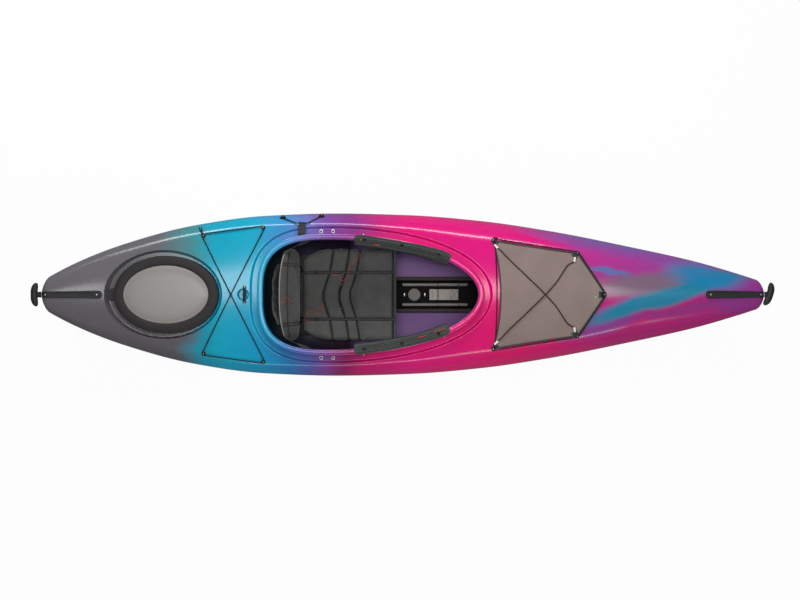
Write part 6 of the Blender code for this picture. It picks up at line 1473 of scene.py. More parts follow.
def finer(low, high, step, spots, fine, reach):
    """Places from low to high, a step apart but closer together round some spots."""
    places = [*np.linspace(low, high, round((high - low) / step) + 1)]
    for spot in spots:
        places += [spot + d for d in np.arange(-reach, reach + fine / 2, fine) if low < spot + d < high]
    kept = []
    for place in sorted(places):
        if not kept or place - kept[-1] > fine * 0.8:
            kept.append(place)
    return np.array(kept[:-1] + [high])


def edge_drop(distance, radius):
    """The rounding of a pad's edge, from 1 at the edge to 0 inside it."""
    t = np.clip(1 - distance / radius, 0, 1)
    return 1 - np.sqrt(np.maximum(0, 1 - t * t))


SEAT_EDGE, SEAT_BACK, SEAT_FLANK = SEAT_HALF - 0.0015, SEAT_FOLD - 0.033, 0.125
rear_to_fold = finer(SEAT_REAR, SEAT_BACK, 0.0045, (SEAT_REAR, *SEAT_SEAMS, SEAT_BACK), 0.0014, 0.0105)
channels = (SEAT_MIDDLE - CHANNEL_Y, SEAT_MIDDLE + CHANNEL_Y)
across = finer(-1, 1, 0.026, [-1, *(c / SEAT_EDGE for c in channels), 1], 0.0066, 0.055)
along, v = np.meshgrid(rear_to_fold, across, indexing="ij")
reach = np.clip((along - SEAT_REAR) / (SEAT_SEAMS[0] - SEAT_REAR), 0, 1)
half = SEAT_REAR_HALF + (SEAT_HALF - SEAT_REAR_HALF) * np.sin(reach * math.pi / 2) - 0.0015
scallop = np.min([np.abs(along - s) for s in SEAT_SEAMS], axis=0)
half = half - 0.004 * (1 - ease(scallop / 0.018))
half = half - 0.02 * np.maximum(0, 1 - (along - SEAT_REAR) / 0.05) ** 2
y = v * SEAT_EDGE
beyond_flank = (np.abs(y) - SEAT_FLANK) / (SEAT_EDGE - SEAT_FLANK)
y = np.where(beyond_flank > 0, np.sign(y) * (SEAT_FLANK + beyond_flank * (half - SEAT_FLANK)), y)
bend = np.clip(3 * (along - SEAT_REAR) / (SEAT_BACK - SEAT_REAR), 0, 1)
x = along + seam_shift(y) * bend
sunk = between_seams(along, y, SEAT_SEAMS, CHANNEL_Y, 1.0)
z = seat_height(x) - 0.0165 * sunk
rim = np.minimum.reduce([half - np.abs(y), along - SEAT_REAR + 0.001, SEAT_FOLD - 0.031 - along])
z -= 0.02 * edge_drop(rim, 0.013)
z += 0.0006 * np.sin(x * 60 + y * 35) * np.cos(y * 48)
top = np.stack([x, y, z - 0.0015], -1)
under = np.stack([x, y * 0.97, np.full_like(z, SEAT_LOW)], -1)
away = np.min([np.abs(along - s) for s in SEAT_SEAMS], axis=0)
held = (away < 0.005) | (np.abs(np.abs(y - SEAT_MIDDLE) - CHANNEL_Y) < 0.009)
# The square of sunk also darkens the cover in the seams and channels, as painted shade
cushion, cushion_top = padded_body("seat_quilt", top, under, held, sunk ** 2, "hull", ["seat_cushion"],
                                   *seat_fabric, 0.002)


# ----------
# Leg lifter: the front of the seat, a pad of covered foam with its own welted panels and front trim.
# It is bonded to a moulded plate that is hinged at the seat's fold and lifted by a strap.
refined("lifter_board", "leg_lifter_plate", "leg_lifter", *seat_plastic, 0.0008)
TRIM_X, LIFTER_REAR = SEAT_FRONT - 0.0135, SEAT_FOLD - 0.03
fold_to_front = finer(LIFTER_REAR, SEAT_FRONT, 0.0055, (LIFTER_REAR, TRIM_X, SEAT_FRONT), 0.0014, 0.0095)
along, v = np.meshgrid(fold_to_front, across, indexing="ij")
share = (along - LIFTER_REAR) / (SEAT_FRONT - LIFTER_REAR)
y = v * (SEAT_EDGE - 0.006 * ease((share - 0.8) / 0.2))
x = along + seam_shift(y) * (1 - share) ** 1.5
sunk = between_seams(along, y, (TRIM_X,), CHANNEL_Y, 1.0)
z = seat_height(x) - 0.0155 * sunk
rim = np.minimum.reduce([SEAT_EDGE - np.abs(y), along - LIFTER_REAR + 0.0015, SEAT_FRONT - along + 0.001])
z -= 0.018 * edge_drop(rim, 0.012)
z += 0.0006 * np.sin(x * 60 + y * 35) * np.cos(y * 48)
top = np.stack([x, y, z - 0.0012], -1)
under = np.stack([x, y * 0.97, np.full_like(z, SEAT_LOW + 0.0046)], -1)
held = (np.abs(along - TRIM_X) < 0.005) | (np.abs(np.abs(y - SEAT_MIDDLE) - CHANNEL_Y) < 0.009)
# The square of sunk also darkens the cover in the seams and channels, as painted shade
lifter, lifter_top = padded_body("lifter_quilt", top, under, held, sunk ** 2, "leg_lifter", ["leg_lifter_pad"],
                                 *seat_fabric, 0.002)


def on_quilt(grid, points, lift):
    """Points over a pad's top at places in plan."""
    flat = grid.reshape(-1, 3)
    made = []
    for px, py in points:
        near = np.argsort((flat[:, 0] - px) ** 2 + (flat[:, 1] - py) ** 2)[:4]
        made.append((px, py, flat[near, 2].max() + lift))
    return made


def piped(name, grid, body):
    """A thin piping round a pad's lower edge."""
    border = np.vstack([grid[0, ::-1], grid[1:, 0], grid[-1, 1:], grid[-2:0:-1, -1]])
    border[:, 2] -= 0.003
    tube(name, [flowing(border[::4], 0.005)], 0.0015, body, [], *trim_fabric, 6)


piped("cushion_piping", cushion_top, "hull")
piped("lifter_piping", lifter_top, "leg_lifter")

# Red shock cord, the black cord between two snaps, and the ladder buckles of the seat's side straps
RED_RUNS = (
    ((-0.1975, 0.1945), (-0.2035, 0.1685), (-0.2255, 0.151), (-0.2425, 0.1335), (-0.249, 0.121), (-0.249, 0.098),
     (-0.2665, 0.0665), (-0.2775, 0.064), (-0.2975, 0.0885), (-0.327, 0.0915)),
    ((-0.3665, -0.04), (-0.3665, -0.069), (-0.378, -0.084), (-0.4, -0.084), (-0.422, -0.0755), (-0.437, -0.082),
     (-0.44, -0.1), (-0.4395, -0.138)),
)
lines = []
for run in RED_RUNS:
    line = np.array(on_quilt(cushion_top, flowing(run, 0.004), 0.0009))
    line[:, 2] = smoothed(line[:, 2], 1.2)
    lines.append(line)
tube("seat_shock_cord", lines, 0.0013, "hull", [], *thread_red, 8)
snaps = on_quilt(cushion_top, [(-0.2835, 0.0465), (-0.2835, -0.0655)], 0.0005)
bow = flowing([(-0.2835, 0.0465), (-0.291, 0.02), (-0.2935, -0.008), (-0.29, -0.04), (-0.2835, -0.0655)], 0.004)
line = np.array(on_quilt(cushion_top, bow, 0.0015))
line[:, 2] = smoothed(line[:, 2], 1.5)
tube("snap_cord", [line], 0.0019, "hull", [], *cord_finish, 8)
for i, place in enumerate(snaps, 1):
    profile = [(0.0078, 0), (0.0078, 0.0018), (0.0064, 0.0034), (0.0042, 0.0038), (0.0036, 0.0028)]
    solid(f"snap_{i}", lathe(profile, place, count=24), "hull", [], *fitting_finish)
    profile = [(0.0034, 0.002), (0.0034, 0.0034), (0.002, 0.0046), (0.0006, 0.0049)]
    solid(f"snap_stud_{i}", lathe(profile, place, count=16), "hull", [], *screw_finish)


def buckle(name, place):
    """A ladder-lock: a moulded frame with a bar across each end and one in its middle."""
    length, width, thick = 0.013, 0.021, 0.003
    x, y, z = place
    for k, (ox, oy, lx, ly) in enumerate((
        (0, 0.5, 1, 0.14), (0, -0.5, 1, 0.14), (0.42, 0, 0.2, 1), (-0.42, 0, 0.2, 1), (0, 0, 0.16, 1),
    )):
        rings = []
        for s, w in ((-0.5, 0.75), (-0.44, 1.0), (0.44, 1.0), (0.5, 0.75)):
            hx, hz = lx * length / 2 * w, thick / 2 * w
            rings.append([(x + ox * length + hx * a, y + oy * width + s * ly * width, z + thick / 2 + hz * b)
                          for a, b in ((-1, -0.6), (-0.7, -1), (0.7, -1), (1, -0.6),
                                       (1, 0.6), (0.7, 1), (-0.7, 1), (-1, 0.6))])
        solid(f"{name}_{k}", rings, "hull", [], *fitting_finish)


for i, place in enumerate(on_quilt(cushion_top, [(-0.3985, 0.103), (-0.3975, -0.1145)], 0.0005), 1):
    buckle(f"seat_buckle_{i}", place)


# ----------
# Backrest: a moulded shell on a steel rod, so that it leans back and folds forward, under a foam pad
# in woven nylon with double seams and a piped rear edge. A pocket of thin cloth hangs behind it.
BACKREST_X, BACKREST_Z, BACKREST_LEAN, BACKREST_HALF = -0.475, 0.082, math.radians(17), 0.205
refined("backrest_plate", "backrest_shell", "backrest", *seat_plastic, 0.0014)
rod = [(0.0006, -0.135), (0.0032, -0.135), (0.004, -0.1342), (0.004, -0.1), (0.004, 0.1), (0.004, 0.1342),
       (0.0032, 0.135), (0.0006, 0.135)]
# The steel rod is coloured near black: painted shade, as it lies in the dark gap between the pad and the seat
rod_shade_finish = moulded("rod_black", "161617", 0.4, 700.0, 0.1, 0.05, slot="steel")
solid("backrest_rod", lathe(rod, (BACKREST_X, 0, BACKREST_Z), (0, 1, 0), 20), "hull", ["backrest_pivot_rod"],
      *rod_shade_finish)


def on_backrest(ahead, y, up):
    """Places from how far in front of the shell's plane, across it and up its lean they are."""
    c, s = math.cos(BACKREST_LEAN), math.sin(BACKREST_LEAN)
    return np.stack([BACKREST_X + ahead * c - up * s, y + 0 * up, BACKREST_Z + ahead * s + up * c], -1)


share, v = np.meshgrid(np.sin(np.linspace(-1, 1, 53) * 1.3) / math.sin(1.3) / 2 + 0.5,
                       np.sin(np.linspace(-1, 1, 121) * 1.4) / math.sin(1.4), indexing="ij")
drawn = 0.185 * 0.24 * np.abs(v) ** 3
corner = np.clip((np.abs(v) - 0.86) / 0.14, 0, 1)
low, high = 0.051 + 0.6 * drawn + 0.02 * corner ** 2, 0.243 - drawn - 0.05 * corner ** 2.2
up = low + (high - low) * share
y = v * (BACKREST_HALF - 0.001)
shell_front = 0.012 * v ** 2
fullness = np.interp(share, (0, 0.08, 0.25, 0.5, 0.75, 0.92, 1), (0.45, 0.8, 1, 1, 0.95, 0.7, 0.4))
side_fullness = np.interp(np.abs(v), (0, 0.85, 0.94, 1), (1, 1, 0.75, 0.3))
ahead = 0.038 * np.minimum(fullness, side_fullness) * (1 - 0.45 * np.abs(v) ** 2.5)
PAD_SEAM = 0.855
seam_away = np.abs(share - PAD_SEAM) * (high - low)
double_away = np.minimum(np.abs(np.abs(y) - 0.1285), np.abs(np.abs(y) - 0.1385))
sunk = np.maximum(1 - ease((seam_away - 0.0012) / 0.008), 1 - ease((double_away - 0.001) / 0.0045))
inner = np.minimum.reduce([(high - low) * share, (high - low) * (1 - share), BACKREST_HALF - np.abs(y)])
front = shell_front + ahead - 0.0052 * sunk * ease(inner / 0.01)
front += 0.0005 * np.sin(y * 70 + up * 40) * np.cos(up * 55)
top = on_backrest(front, y, up)
under = on_backrest(shell_front + 0.0004, y, up)
held = (seam_away < 0.003) | (double_away < 0.002)
back_fabric = fabric("back_fabric", "494948", slot="seat_fabric")
piping_fabric = fabric("back_piping", "98958c", 0.75, 1400.0, slot="seat_fabric")
# sunk ** 1.5 also darkens the cover along the seams, as painted shade
backrest_quilt, backrest_top = padded_body("backrest_quilt", top, under, held, sunk ** 1.5, "backrest",
                                           ["backrest_pad"], *back_fabric, 0.0025)
border = np.vstack([under[8:, 0], under[-1, 1:], under[-2:7:-1, -1]])
lift = on_backrest(0.0024, 0.0, 0.0) - on_backrest(0.0, 0.0, 0.0)
tube("backrest_piping", [flowing(border[::2] + lift, 0.004)], 0.0022, "backrest", [], *piping_fabric, 8)
stitches = []
for run in (((-0.5297, -0.038), (-0.5165, -0.0125)), ((-0.5115, -0.0125), (-0.4885, -0.0355))):
    stitches.append(np.array(on_quilt(backrest_top, flowing(run, 0.003), 0.0007)))
tube("backrest_stitch", stitches, 0.0008, "backrest", [], *thread_red, 6)

# The pocket behind it: one sheet of thin black cloth, taped to the shell at its top and sides, slack
# and creased towards its lower corners
pocket_cloth = fabric("pocket_cloth", "333334", 0.9, 1500.0, 0.35, slot="seat_fabric")
share, v = np.meshgrid(np.linspace(0, 1, 40), np.linspace(-1, 1, 81), indexing="ij")
behind = -0.0056
out = behind - 0.05 * np.clip((1.06 - np.abs(v)) / 0.56, 0, 1) ** 0.8
profile = np.array([[0, 0.0765], [0.3, 0.1], [0.75, 0.1445], [0.8, 0.2], [0.62, 0.232]])
s = np.interp(share, np.linspace(0, 1, 9), smoothed(np.interp(np.linspace(0, 1, 9), np.linspace(0, 1, 5),
                                                              profile[:, 0])[None], 0.6)[0])
up = np.interp(share, np.linspace(0, 1, 5), profile[:, 1])
ahead = behind + (out - behind) * s
crease = np.sin(v * 9 + share * 7) * np.cos(share * 6 - v * 4) + 0.4 * np.sin(v * 21 - share * 12)
ahead += 0.0022 * crease * np.minimum(1, 4 * s) * np.minimum(1, 6 * (1 - np.abs(v)))
pocket_places = on_backrest(ahead, v * 0.1335, up)
pocket_back = pocket_places + (on_backrest(0.001, 0.0, 0.0) - on_backrest(0.0, 0.0, 0.0))


def doubled(name, front_side, back_side, body, nodes_of, slot, material, sunk=None):
    """A closed sheet from the grids of points of its two faces; sunk marks parts of the first that its material
    darkens with painted shade.
    """
    data = bpy.data.meshes.new(name)
    points = np.vstack([front_side.reshape(-1, 3), back_side.reshape(-1, 3)])
    data.from_pydata(points.tolist(), [], sheet_faces(*front_side.shape[:2])[0])
    if sunk is not None:
        marked(data, "sunk", np.concatenate([sunk.ravel(), np.zeros(sunk.size)]))
    return settled(name, data, body, nodes_of, material, 60)


rear_pocket = doubled("rear_pocket", pocket_places, pocket_back, "backrest", ["backrest_rear_panel"],
                      *pocket_cloth)

# Back straps: webbing from the pad's ends that turns flat and passes forward to the seat bolts
webbing_finish = fabric("webbing", "3d3b38", 0.8, 700.0, 0.5, 0.1)


def strap_run(name, stations, half, thick, body, nodes_of, slot, material):
    """Flat webbing along stations; each has a place and the way its width points."""
    places = flowing([place for place, _ in stations], 0.004)
    gone = np.concatenate([[0], np.cumsum([math.dist(a[0], b[0]) for a, b in zip(stations, stations[1:])])])
    along = np.linspace(0, gone[-1], len(places))
    widths = np.stack([np.interp(along, gone, [w[k] for _, w in stations]) for k in range(3)], 1)
    ahead = np.gradient(places, axis=0)
    rings = []
    for place, width, forward in zip(places, widths, ahead):
        forward = forward / np.linalg.norm(forward)
        width = width - forward * width.dot(forward)
        width /= np.linalg.norm(width)
        face = np.cross(forward, width)
        rings.append([tuple(place + width * half * a + face * thick / 2 * b) for a, b in (
            (-1, -0.5), (-0.94, -1), (-0.5, -0.85), (0, -1), (0.5, -0.85), (0.94, -1), (1, -0.5), (1, 0.5), (0.94, 1),
            (0.5, 0.85), (0, 1), (-0.5, 0.85), (-0.94, 1), (-1, 0.5))])
    return solid(name, rings, body, nodes_of, slot, material, sharp=70)


for word, side in (("port", 1), ("starboard", -1)):
    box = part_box(f"backrest_strap_{word}")
    end_z = box[1].z - 0.001
    stations = [((-0.5061, side * 0.2063, 0.2231), (0, 0, 1)), ((-0.4761, side * 0.2183, 0.2251), (0, 0, 1)),
                ((-0.4311, side * 0.2403, (0.2231 + end_z) / 2), (-0.2 * side, 0.64 * side, 0.6)),
                ((-0.374, side * 0.2807, end_z), (-0.3, side * 0.95, 0)),
                ((-0.299, side * 0.2807, end_z), (0, side, 0))]
    strap = strap_run(f"back_strap_{word}", stations, 0.0125, 0.002, None, [], *webbing_finish)
    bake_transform(strap)
    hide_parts(f"backrest_strap_{word}")


# ----------
# Seat bolts: two steel bolts on each side hang the seat from the moat of the coaming. Each has a
# bright washer and a black recessed head.
recess_finish = moulded("bolt_black", "2a211c", 0.45, 900.0, 0.1, 0.05, slot="steel")
washer_finish = moulded("washer_bright", "d9d9d8", 0.32, 800.0, 0.06, 0.03, Metallic=0.6, slot="steel")
for i, (x, y) in enumerate(((-0.362, 0.2807), (-0.362, -0.2807), (-0.309, 0.281), (-0.309, -0.281)), 1):
    place, normal = deck_point(x, y)
    washer = [(0.0088, 0), (0.0088, 0.0012), (0.0082, 0.0017), (0.0056, 0.0019), (0.0046, 0.0012), (0.0045, 0.0004),
              (0.0003, 0.0003)]
    solid(f"bolt_washer_{i}", lathe(washer, place, normal, 28), "hull", [f"seat_bolt_{i}"], *washer_finish)
    head = [(0.0044, 0.00035), (0.0044, 0.0016), (0.0039, 0.0023), (0.0022, 0.0025), (0.0019, 0.0012),
            (0.0002, 0.0011)]
    solid(f"bolt_head_{i}", lathe(head, place, normal, 24), "hull", [], *recess_finish)


# ----------
# Thigh braces: a black moulded plate hooked over the coaming's lip on each side and held by two
# screws, under a pad of dark closed-cell foam with long ridges and three countersunk holes. The
# foam's colour is darkened in the grooves and the holes, as painted shade.
BRACE_REAR, BRACE_FRONT, BRACE_MIDDLE = -0.212, 0.202, -0.0065
brace_plastic = moulded("thigh_brace", "242426", 0.5, 500.0, 0.15, 0.15, slot="seat_plastic")
brace_foam, tree, inputs, place = finish("thigh_foam", 0.92, Specular_IOR_Level=0.2)
cells = put(tree, "TexVoronoi", {"Vector": place, "Scale": 900.0})
worn = put(tree, "TexNoise", {"Vector": place, "Scale": 45.0, "Detail": 4.0})
shade = put(tree, "MapRange", (worn, 0.0, 1.0, 0.72, 1.28))
# Painted shade: the foam falls to 0.25 of its colour in the grooves and holes that sunk marks
sunk = put(tree, "Attribute", attribute_name="sunk", out="Fac")
shade = maths(tree, "MULTIPLY", shade, put(tree, "MapRange", (sunk, 0.0, 1.0, 1.0, 0.25)))
shaded(tree, colour("4a504d")[:3], shade, inputs["Base Color"])
embossed(tree, cells, 0.3, 0.0005, inputs["Normal"])


def coaming_edge(x):
    """The opening's half width in front of its widest place, and its outward direction."""
    t = (x - OPENING_X) / OPENING_FRONT
    half = OPENING_HALF * math.sqrt(1 - t * t)
    slope = -OPENING_HALF * t / math.sqrt(1 - t * t) / OPENING_FRONT
    return half, Vector((-slope, 1, 0)).normalized()


def brace_point(side, share, offset, rise, blunt=0.72, push=0.0):
    """A place of a brace: how far along it, how far outside the opening's edge, and over the rim."""
    x = BRACE_REAR + (BRACE_FRONT - BRACE_REAR) * share
    half, out = coaming_edge(x)
    ends = math.sqrt(max(0.0, 1 - abs(2 * share - 1) ** (8 if blunt > 0.5 else 18)))
    offset = BRACE_MIDDLE + push + (offset - BRACE_MIDDLE) * (blunt + (1 - blunt) * ends)
    far = x + out.x * offset
    return Vector((far, side * (half + out.y * offset), rim_height(far) + rise))


BRACE_HOLES = ((-0.1675, 0.239), (-0.0026, 0.214), (0.1577, 0.1722))
for word, side in (("port", 1), ("starboard", -1)):
    rings = []
    for share in np.sin(np.linspace(-math.pi / 2, math.pi / 2, 49)) / 2 + 0.5:
        rings.append([brace_point(side, share, o, z) for o, z in (
            (0.013, 0.0006), (0, 0.0006), (-0.006, -0.0012), (-0.02, -0.0095), (-0.0258, -0.0137), (-0.026, -0.0115),
            (-0.0256, -0.0098), (-0.018, -0.0058), (0.0005, 0.0044), (0.0122, 0.0046), (0.013, 0.0038))])
    solid(f"thigh_plate_{word}", rings, "hull", [f"thigh_brace_{word}"], *brace_plastic, sharp=50)

    shares = np.sin(np.linspace(-math.pi / 2, math.pi / 2, 230)) / 2 + 0.5
    share, around = np.meshgrid(shares, np.linspace(0, 1, 72), indexing="ij")
    tops, unders, depth = np.zeros((*share.shape, 3)), np.zeros((*share.shape, 3)), np.zeros(share.shape)
    for i, j in np.ndindex(share.shape):
        along, a = share[i, j], around[i, j]
        ends = math.sqrt(max(0.0, 1 - abs(2 * along - 1) ** 18))
        push = 0.0065 + 0.0065 * (2 * along - 1) ** 2 + (0.009 * max(0.0, 2 * along - 1) if side > 0 else 0.0)
        p = 0.011 * (0.55 + 0.45 * ends)
        places = ((-0.028, -0.0095), (-0.028, -0.010 + 0.6 * p), (-0.0245, -0.0102 + 0.95 * p), (-0.021, -0.0082 + p),
                  (-0.004, 0.0055 + 0.96 * p), (0.008, 0.0055 + 0.93 * p), (0.0125, 0.0055 + 0.8 * p),
                  (0.0145, 0.0055 + 0.45 * p), (0.0135, 0.0057))
        steps = (0, 0.08, 0.15, 0.22, 0.62, 0.82, 0.9, 0.96, 1)
        o = float(np.interp(a, steps, [q[0] for q in places]))
        z = float(np.interp(a, steps, [q[1] for q in places]))
        here = brace_point(side, along, o, z, 0.3, push)
        flat_part = min(1.0, max(0.0, (a - 0.16) / 0.05)) * min(1.0, max(0.0, (0.9 - a) / 0.05)) * ends ** 3
        groove = flat_part * (0.5 - 0.5 * math.cos((a - 0.19) / 0.175 * 2 * math.pi)) ** 3
        z -= 0.0028 * groove
        # depth, stored as the pad's sunk attribute, sets the painted shade in the grooves between the ridges and in
        # the holes
        depth[i, j] = 0.75 * groove
        for hx, hy in BRACE_HOLES:
            away = math.hypot(here.x - hx, here.y - side * hy)
            hole = 1 - float(ease((away - 0.0058) / 0.0026))
            z -= 0.0068 * hole * ends
            depth[i, j] = max(depth[i, j], hole)
        tops[i, j] = brace_point(side, along, o, z, 0.3, push)
        unders[i, j] = brace_point(side, along, min(0.0132, max(-0.0262, o)), 0.0048 + min(0.0, o) * 0.52, 0.3, push)
    pad = doubled(f"thigh_cushion_{word}", tops, unders, "hull", [f"thigh_pad_{word}"],
                  "seat_fabric", brace_foam, depth)
    for k, (hx, hy) in enumerate(BRACE_HOLES, 1):
        place = (hx, side * hy, rim_height(hx) + 0.0062)
        cap = [(0.0046, 0), (0.0046, 0.0014), (0.0038, 0.0024), (0.002, 0.0025), (0.0015, 0.0014), (0.0002, 0.0013)]
        solid(f"brace_cap_{word}_{k}", lathe(cap, place, count=20), "hull", [], "seat_plastic", fitting_finish[1])
    for k, (x, y) in enumerate(((-0.1703, 0.2648), (0.184, 0.1845)), 1):
        axis = Vector((0, side * 0.55, 0.83)).normalized()
        screw(f"brace_screw_{word}_{k}", Vector((x, side * y, rim_height(x) - 0.0052)), axis, 0.004)

red_bits = []
for side, run in ((1, ((-0.183, 0.246), (-0.179, 0.232))), (1, ((-0.122, 0.2195), (-0.098, 0.2155))),
                  (-1, ((0.066, 0.187), (0.103, 0.179))), (-1, ((0.136, 0.163), (0.184, 0.1485)))):
    dense = flowing(run, 0.003)
    height = [rim_height(px) + 0.0135 - 0.55 * max(0.0, coaming_edge(px)[0] - py - 0.004) for px, py in dense]
    red_bits.append(np.column_stack([dense[:, 0], side * dense[:, 1], height]))
tube("brace_shock_cord", red_bits, 0.0013, "hull", [], *thread_red, 8)


# ----------
# Floor console: a black moulded tray bolted to the floor in front of the seat, with olive foam strips
# on its sides, two pale aluminium rails, and a grey cap between two rivets.
CONSOLE_REAR, CONSOLE_FRONT, CONSOLE_BED = -0.0394, 0.52, 0.010648
console_finish = moulded("console_black", "070707", 0.6, 500.0, 0.2, 0.2, Specular_IOR_Level=0.12)
strip_finish = moulded("console_strip", "4a443c", 0.9, 800.0, 0.3, 0.35, slot="console_black")
rail_finish = moulded("rail_pale", "77736f", 0.42, 700.0, 0.1, 0.05, Metallic=0.3, slot="rail_grey")
cap_finish = moulded("cap_grey", "8d8882", 0.6, 600.0, 0.08, 0.08)
half_ring = [(0.0, 0.0103), (0.03, 0.0103), (0.0605, 0.0103), (0.0624, 0.0112), (0.0632, 0.0132), (0.0638, 0.0405),
             (0.0646, 0.0432), (0.0664, 0.0443), (0.0735, 0.0445), (0.0806, 0.0443), (0.0824, 0.0432),
             (0.0832, 0.0405), (0.0835, 0.0085), (0.083, 0.0058), (0.081, 0.0045), (0.04, 0.0044)]
rings = []
for x, shrink in ((CONSOLE_REAR, 0.012), (CONSOLE_REAR + 0.0008, 0.004), (CONSOLE_REAR + 0.003, 0), (0.12, 0),
                  (0.3, 0), (CONSOLE_FRONT - 0.03, 0), (CONSOLE_FRONT - 0.008, 0.01), (CONSOLE_FRONT, 0.06)):
    ring = [(x, y, min(z, 0.0445 - shrink * 0.3) if z > 0.03 else z) for y, z in half_ring]
    ring += [(x, -y, z) for _, y, z in ring[:0:-1]]
    rings.append(ring)
solid("console_tray", rings, "hull", ["floor_console"], *console_finish, sharp=50)
for word, side in (("port", 1), ("starboard", -1)):
    rings = []
    for x, w in ((-0.036, 0.6), (-0.0352, 0.95), (-0.033, 1), (0.1, 1), (0.3, 1), (CONSOLE_FRONT - 0.035, 1),
                 (CONSOLE_FRONT - 0.033, 0.6)):
        rings.append([(x, side * (0.0736 + o * w), 0.0443 + z) for o, z in (
            (-0.0076, 0.0), (0.0076, 0.0), (0.0076, 0.0013), (0.0068, 0.0019), (0, 0.002), (-0.0068, 0.0019),
            (-0.0076, 0.0013))])
    solid(f"console_strip_{word}", rings, "hull", [], *strip_finish, sharp=60)
    rings = []
    for x, w in ((0.0, 0.8), (0.0008, 1), (0.1, 1), (0.2, 1), (0.3032, 1), (0.304, 0.8)):
        rings.append([(x, side * 0.0465 + o * w, CONSOLE_BED + z) for o, z in (
            (-0.007, 0), (0.007, 0), (0.007, 0.0108), (0.0062, 0.0118), (0.0035, 0.012), (0.0027, 0.0112),
            (0.0025, 0.0066), (-0.0025, 0.0066), (-0.0027, 0.0112), (-0.0035, 0.012), (-0.0062, 0.0118),
            (-0.007, 0.0108))])
    solid(f"console_track_{word}", rings, "hull", [f"console_rail_{word}"], *rail_finish, sharp=50)
disc = [(0.0289, 0), (0.029, 0.0066), (0.0283, 0.0082), (0.0262, 0.0092), (0.018, 0.0098), (0.008, 0.00995),
        (0.0004, 0.01)]
solid("console_disc", lathe(disc, (0.055, 0, CONSOLE_BED), count=56), "hull", ["console_cap"], *cap_finish)
for i, x in enumerate((0.009, 0.1047), 1):
    rings = []
    for r, z in ((1, 0), (1, 0.0007), (0.8, 0.0013), (0.45, 0.0017), (0.1, 0.0018)):
        rings.append([(x + 0.0036 * r * math.cos(a), 0.0085 * r * math.sin(a), CONSOLE_BED - 0.0002 + z)
                      for a in np.linspace(0, 2 * math.pi, 24, endpoint=False)])
    solid(f"console_rivet_{i}", rings, "hull", [], *washer_finish)


# ----------
# Lifting strap: grey polyester webbing that runs over the console to the front of the seat. Its ends
# are folded over, and its pull loop of cord is box-stitched in.
strap_finish = fabric("webbing_grey", "cfc7bf", 0.85, 650.0, 0.5, 0.2)
STRAP_Z = CONSOLE_BED + 0.0008
layers = (((0.126, 0.0002), (0.19, 0), (0.262, 0)), ((0.1262, 0.0013), (0.134, 0.0014), (0.143, 0.0011)),
          ((0.222, 0.0011), (0.24, 0.0013), (0.262, 0.0012)))
for i, layer in enumerate(layers):
    stations = [((x, 0, STRAP_Z + lift), (0, 1, 0)) for x, lift in layer]
    strap_run(f"lifter_webbing_{i}", stations, 0.025 - 0.0004 * i, 0.0012, "lifter_strap",
              ["leg_lifter_strap"] if i == 0 else [], *strap_finish)
loop = [(0.262 + 0.0755 * math.sqrt(max(0.0, 1 - a * a)) ** 0.7, 0.0155 * a, STRAP_Z + 0.0022)
        for a in np.linspace(-1, 1, 25)]
middle = [(0.262, 0.004, STRAP_Z + 0.002), (0.3, 0.0015, STRAP_Z + 0.0026), (0.33, 0.0, STRAP_Z + 0.002)]
tube("pull_loop", [flowing(loop, 0.003), flowing(middle)], 0.0015, "lifter_strap", [],
     "webbing_grey", cord_finish[1], 8)
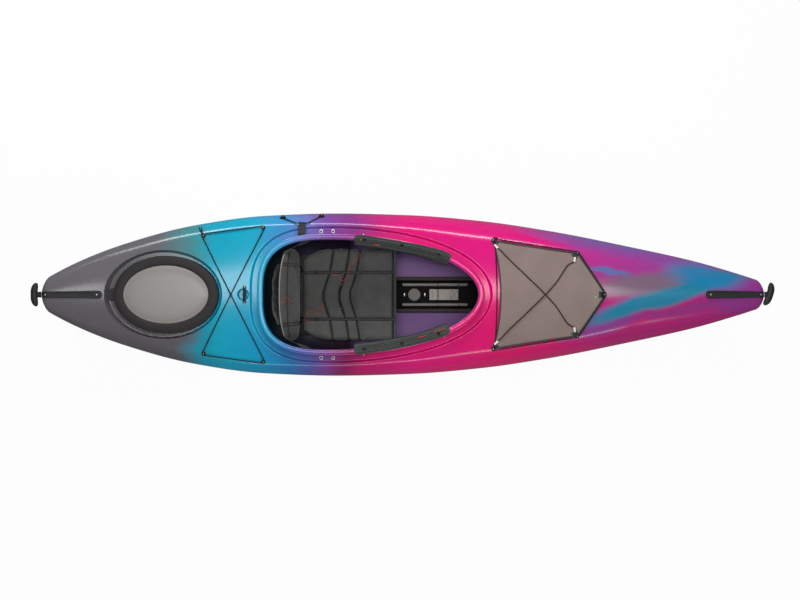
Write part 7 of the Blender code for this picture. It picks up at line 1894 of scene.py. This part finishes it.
# Box stitches with a cross where the loop is sewn in, and one row across the rear fold
near, far, half = 0.226, 0.258, 0.02
seam_lines = []
for a, b in (((near, -half), (near, half)), ((far, -half), (far, half)), ((near, -half), (far, -half)),
             ((near, half), (far, half)), ((near, -half), (far, half)), ((near, half), (far, -half)),
             ((0.1395, -0.022), (0.1395, 0.022))):
    start, end = (np.array((*place, STRAP_Z + 0.002)) for place in (a, b))
    steps = max(3, round(math.dist(a, b) / 0.0055))
    seam_lines += [np.array([start + (end - start) * (k + t) / steps for t in (0.12, 0.5, 0.88)])
                   for k in range(steps)]
tube("lifter_stitches", seam_lines, 0.0005, "lifter_strap", [], "webbing_grey", cord_finish[1], 5)
tie = [(-0.0555, 0.004), (-0.0552, 0.0115), (-0.0525, 0.0134), (-0.04, 0.0134), (0, 0.0126)]
tie += [(-y, z) for y, z in tie[3::-1]]
ties = [flowing([(x, y, CONSOLE_BED + z) for y, z in tie], 0.002) for x in (0.1655, 0.2618)]
tube("console_ties", ties, 0.0013, "hull", [], *cord_finish, 8)


# ----------
# Foot braces: a black nylon track screwed to each side of the hull under the foredeck, with a moulded
# pedal that slides along it and latches.
track_finish = moulded("rail_black", "1d1d1f", 0.46, 600.0, 0.15, 0.12)
pedal_finish = moulded("brace_black", "222224", 0.52, 420.0, 0.2, 0.25)
for word in ("port", "starboard"):
    refined(f"foot_track_{word}", f"foot_rail_{word}", "hull", *track_finish, 0.0012)
    refined(f"foot_rest_{word}", f"foot_pedal_{word}", f"pedal_{word}", *pedal_finish, 0.0016)


# ----------
# Bulkhead: a wall of grey closed-cell foam that seals the stern from the cockpit. It is cut to the
# hull's section and bonded in.
foam_finish, tree, inputs, place = finish("foam_grey", 0.95, Specular_IOR_Level=0.15)
cells = put(tree, "TexVoronoi", {"Vector": place, "Scale": 420.0})
worn = put(tree, "TexNoise", {"Vector": place, "Scale": 18.0, "Detail": 4.0})
shade = put(tree, "MapRange", (worn, 0.0, 1.0, 0.8, 1.2))
shaded(tree, colour("47474b")[:3], shade, inputs["Base Color"])
embossed(tree, cells, 0.4, 0.001, inputs["Normal"])
refined("bulkhead", "rear_bulkhead", "hull", "foam_grey", foam_finish, 0.003, sharp=50)


# ----------
# Skeg: a grey moulded blade that swings down out of its box in the stern, on a stainless pin that
# crosses the box.
blade_finish = moulded("skeg_grey", "39393c", 0.42, 600.0, 0.12, 0.1)
refined("skeg", "skeg_blade", "skeg", *blade_finish, 0.0009)
pin = [(0.0006, -0.015), (0.0034, -0.015), (0.004, -0.0144), (0.004, -0.005), (0.004, 0.005), (0.004, 0.0144),
       (0.0034, 0.015), (0.0006, 0.015)]
solid("skeg_axle", lathe(pin, (-1.06, 0, 0.040972), (0, 1, 0), 20), "hull", ["skeg_pin"], *screw_finish)
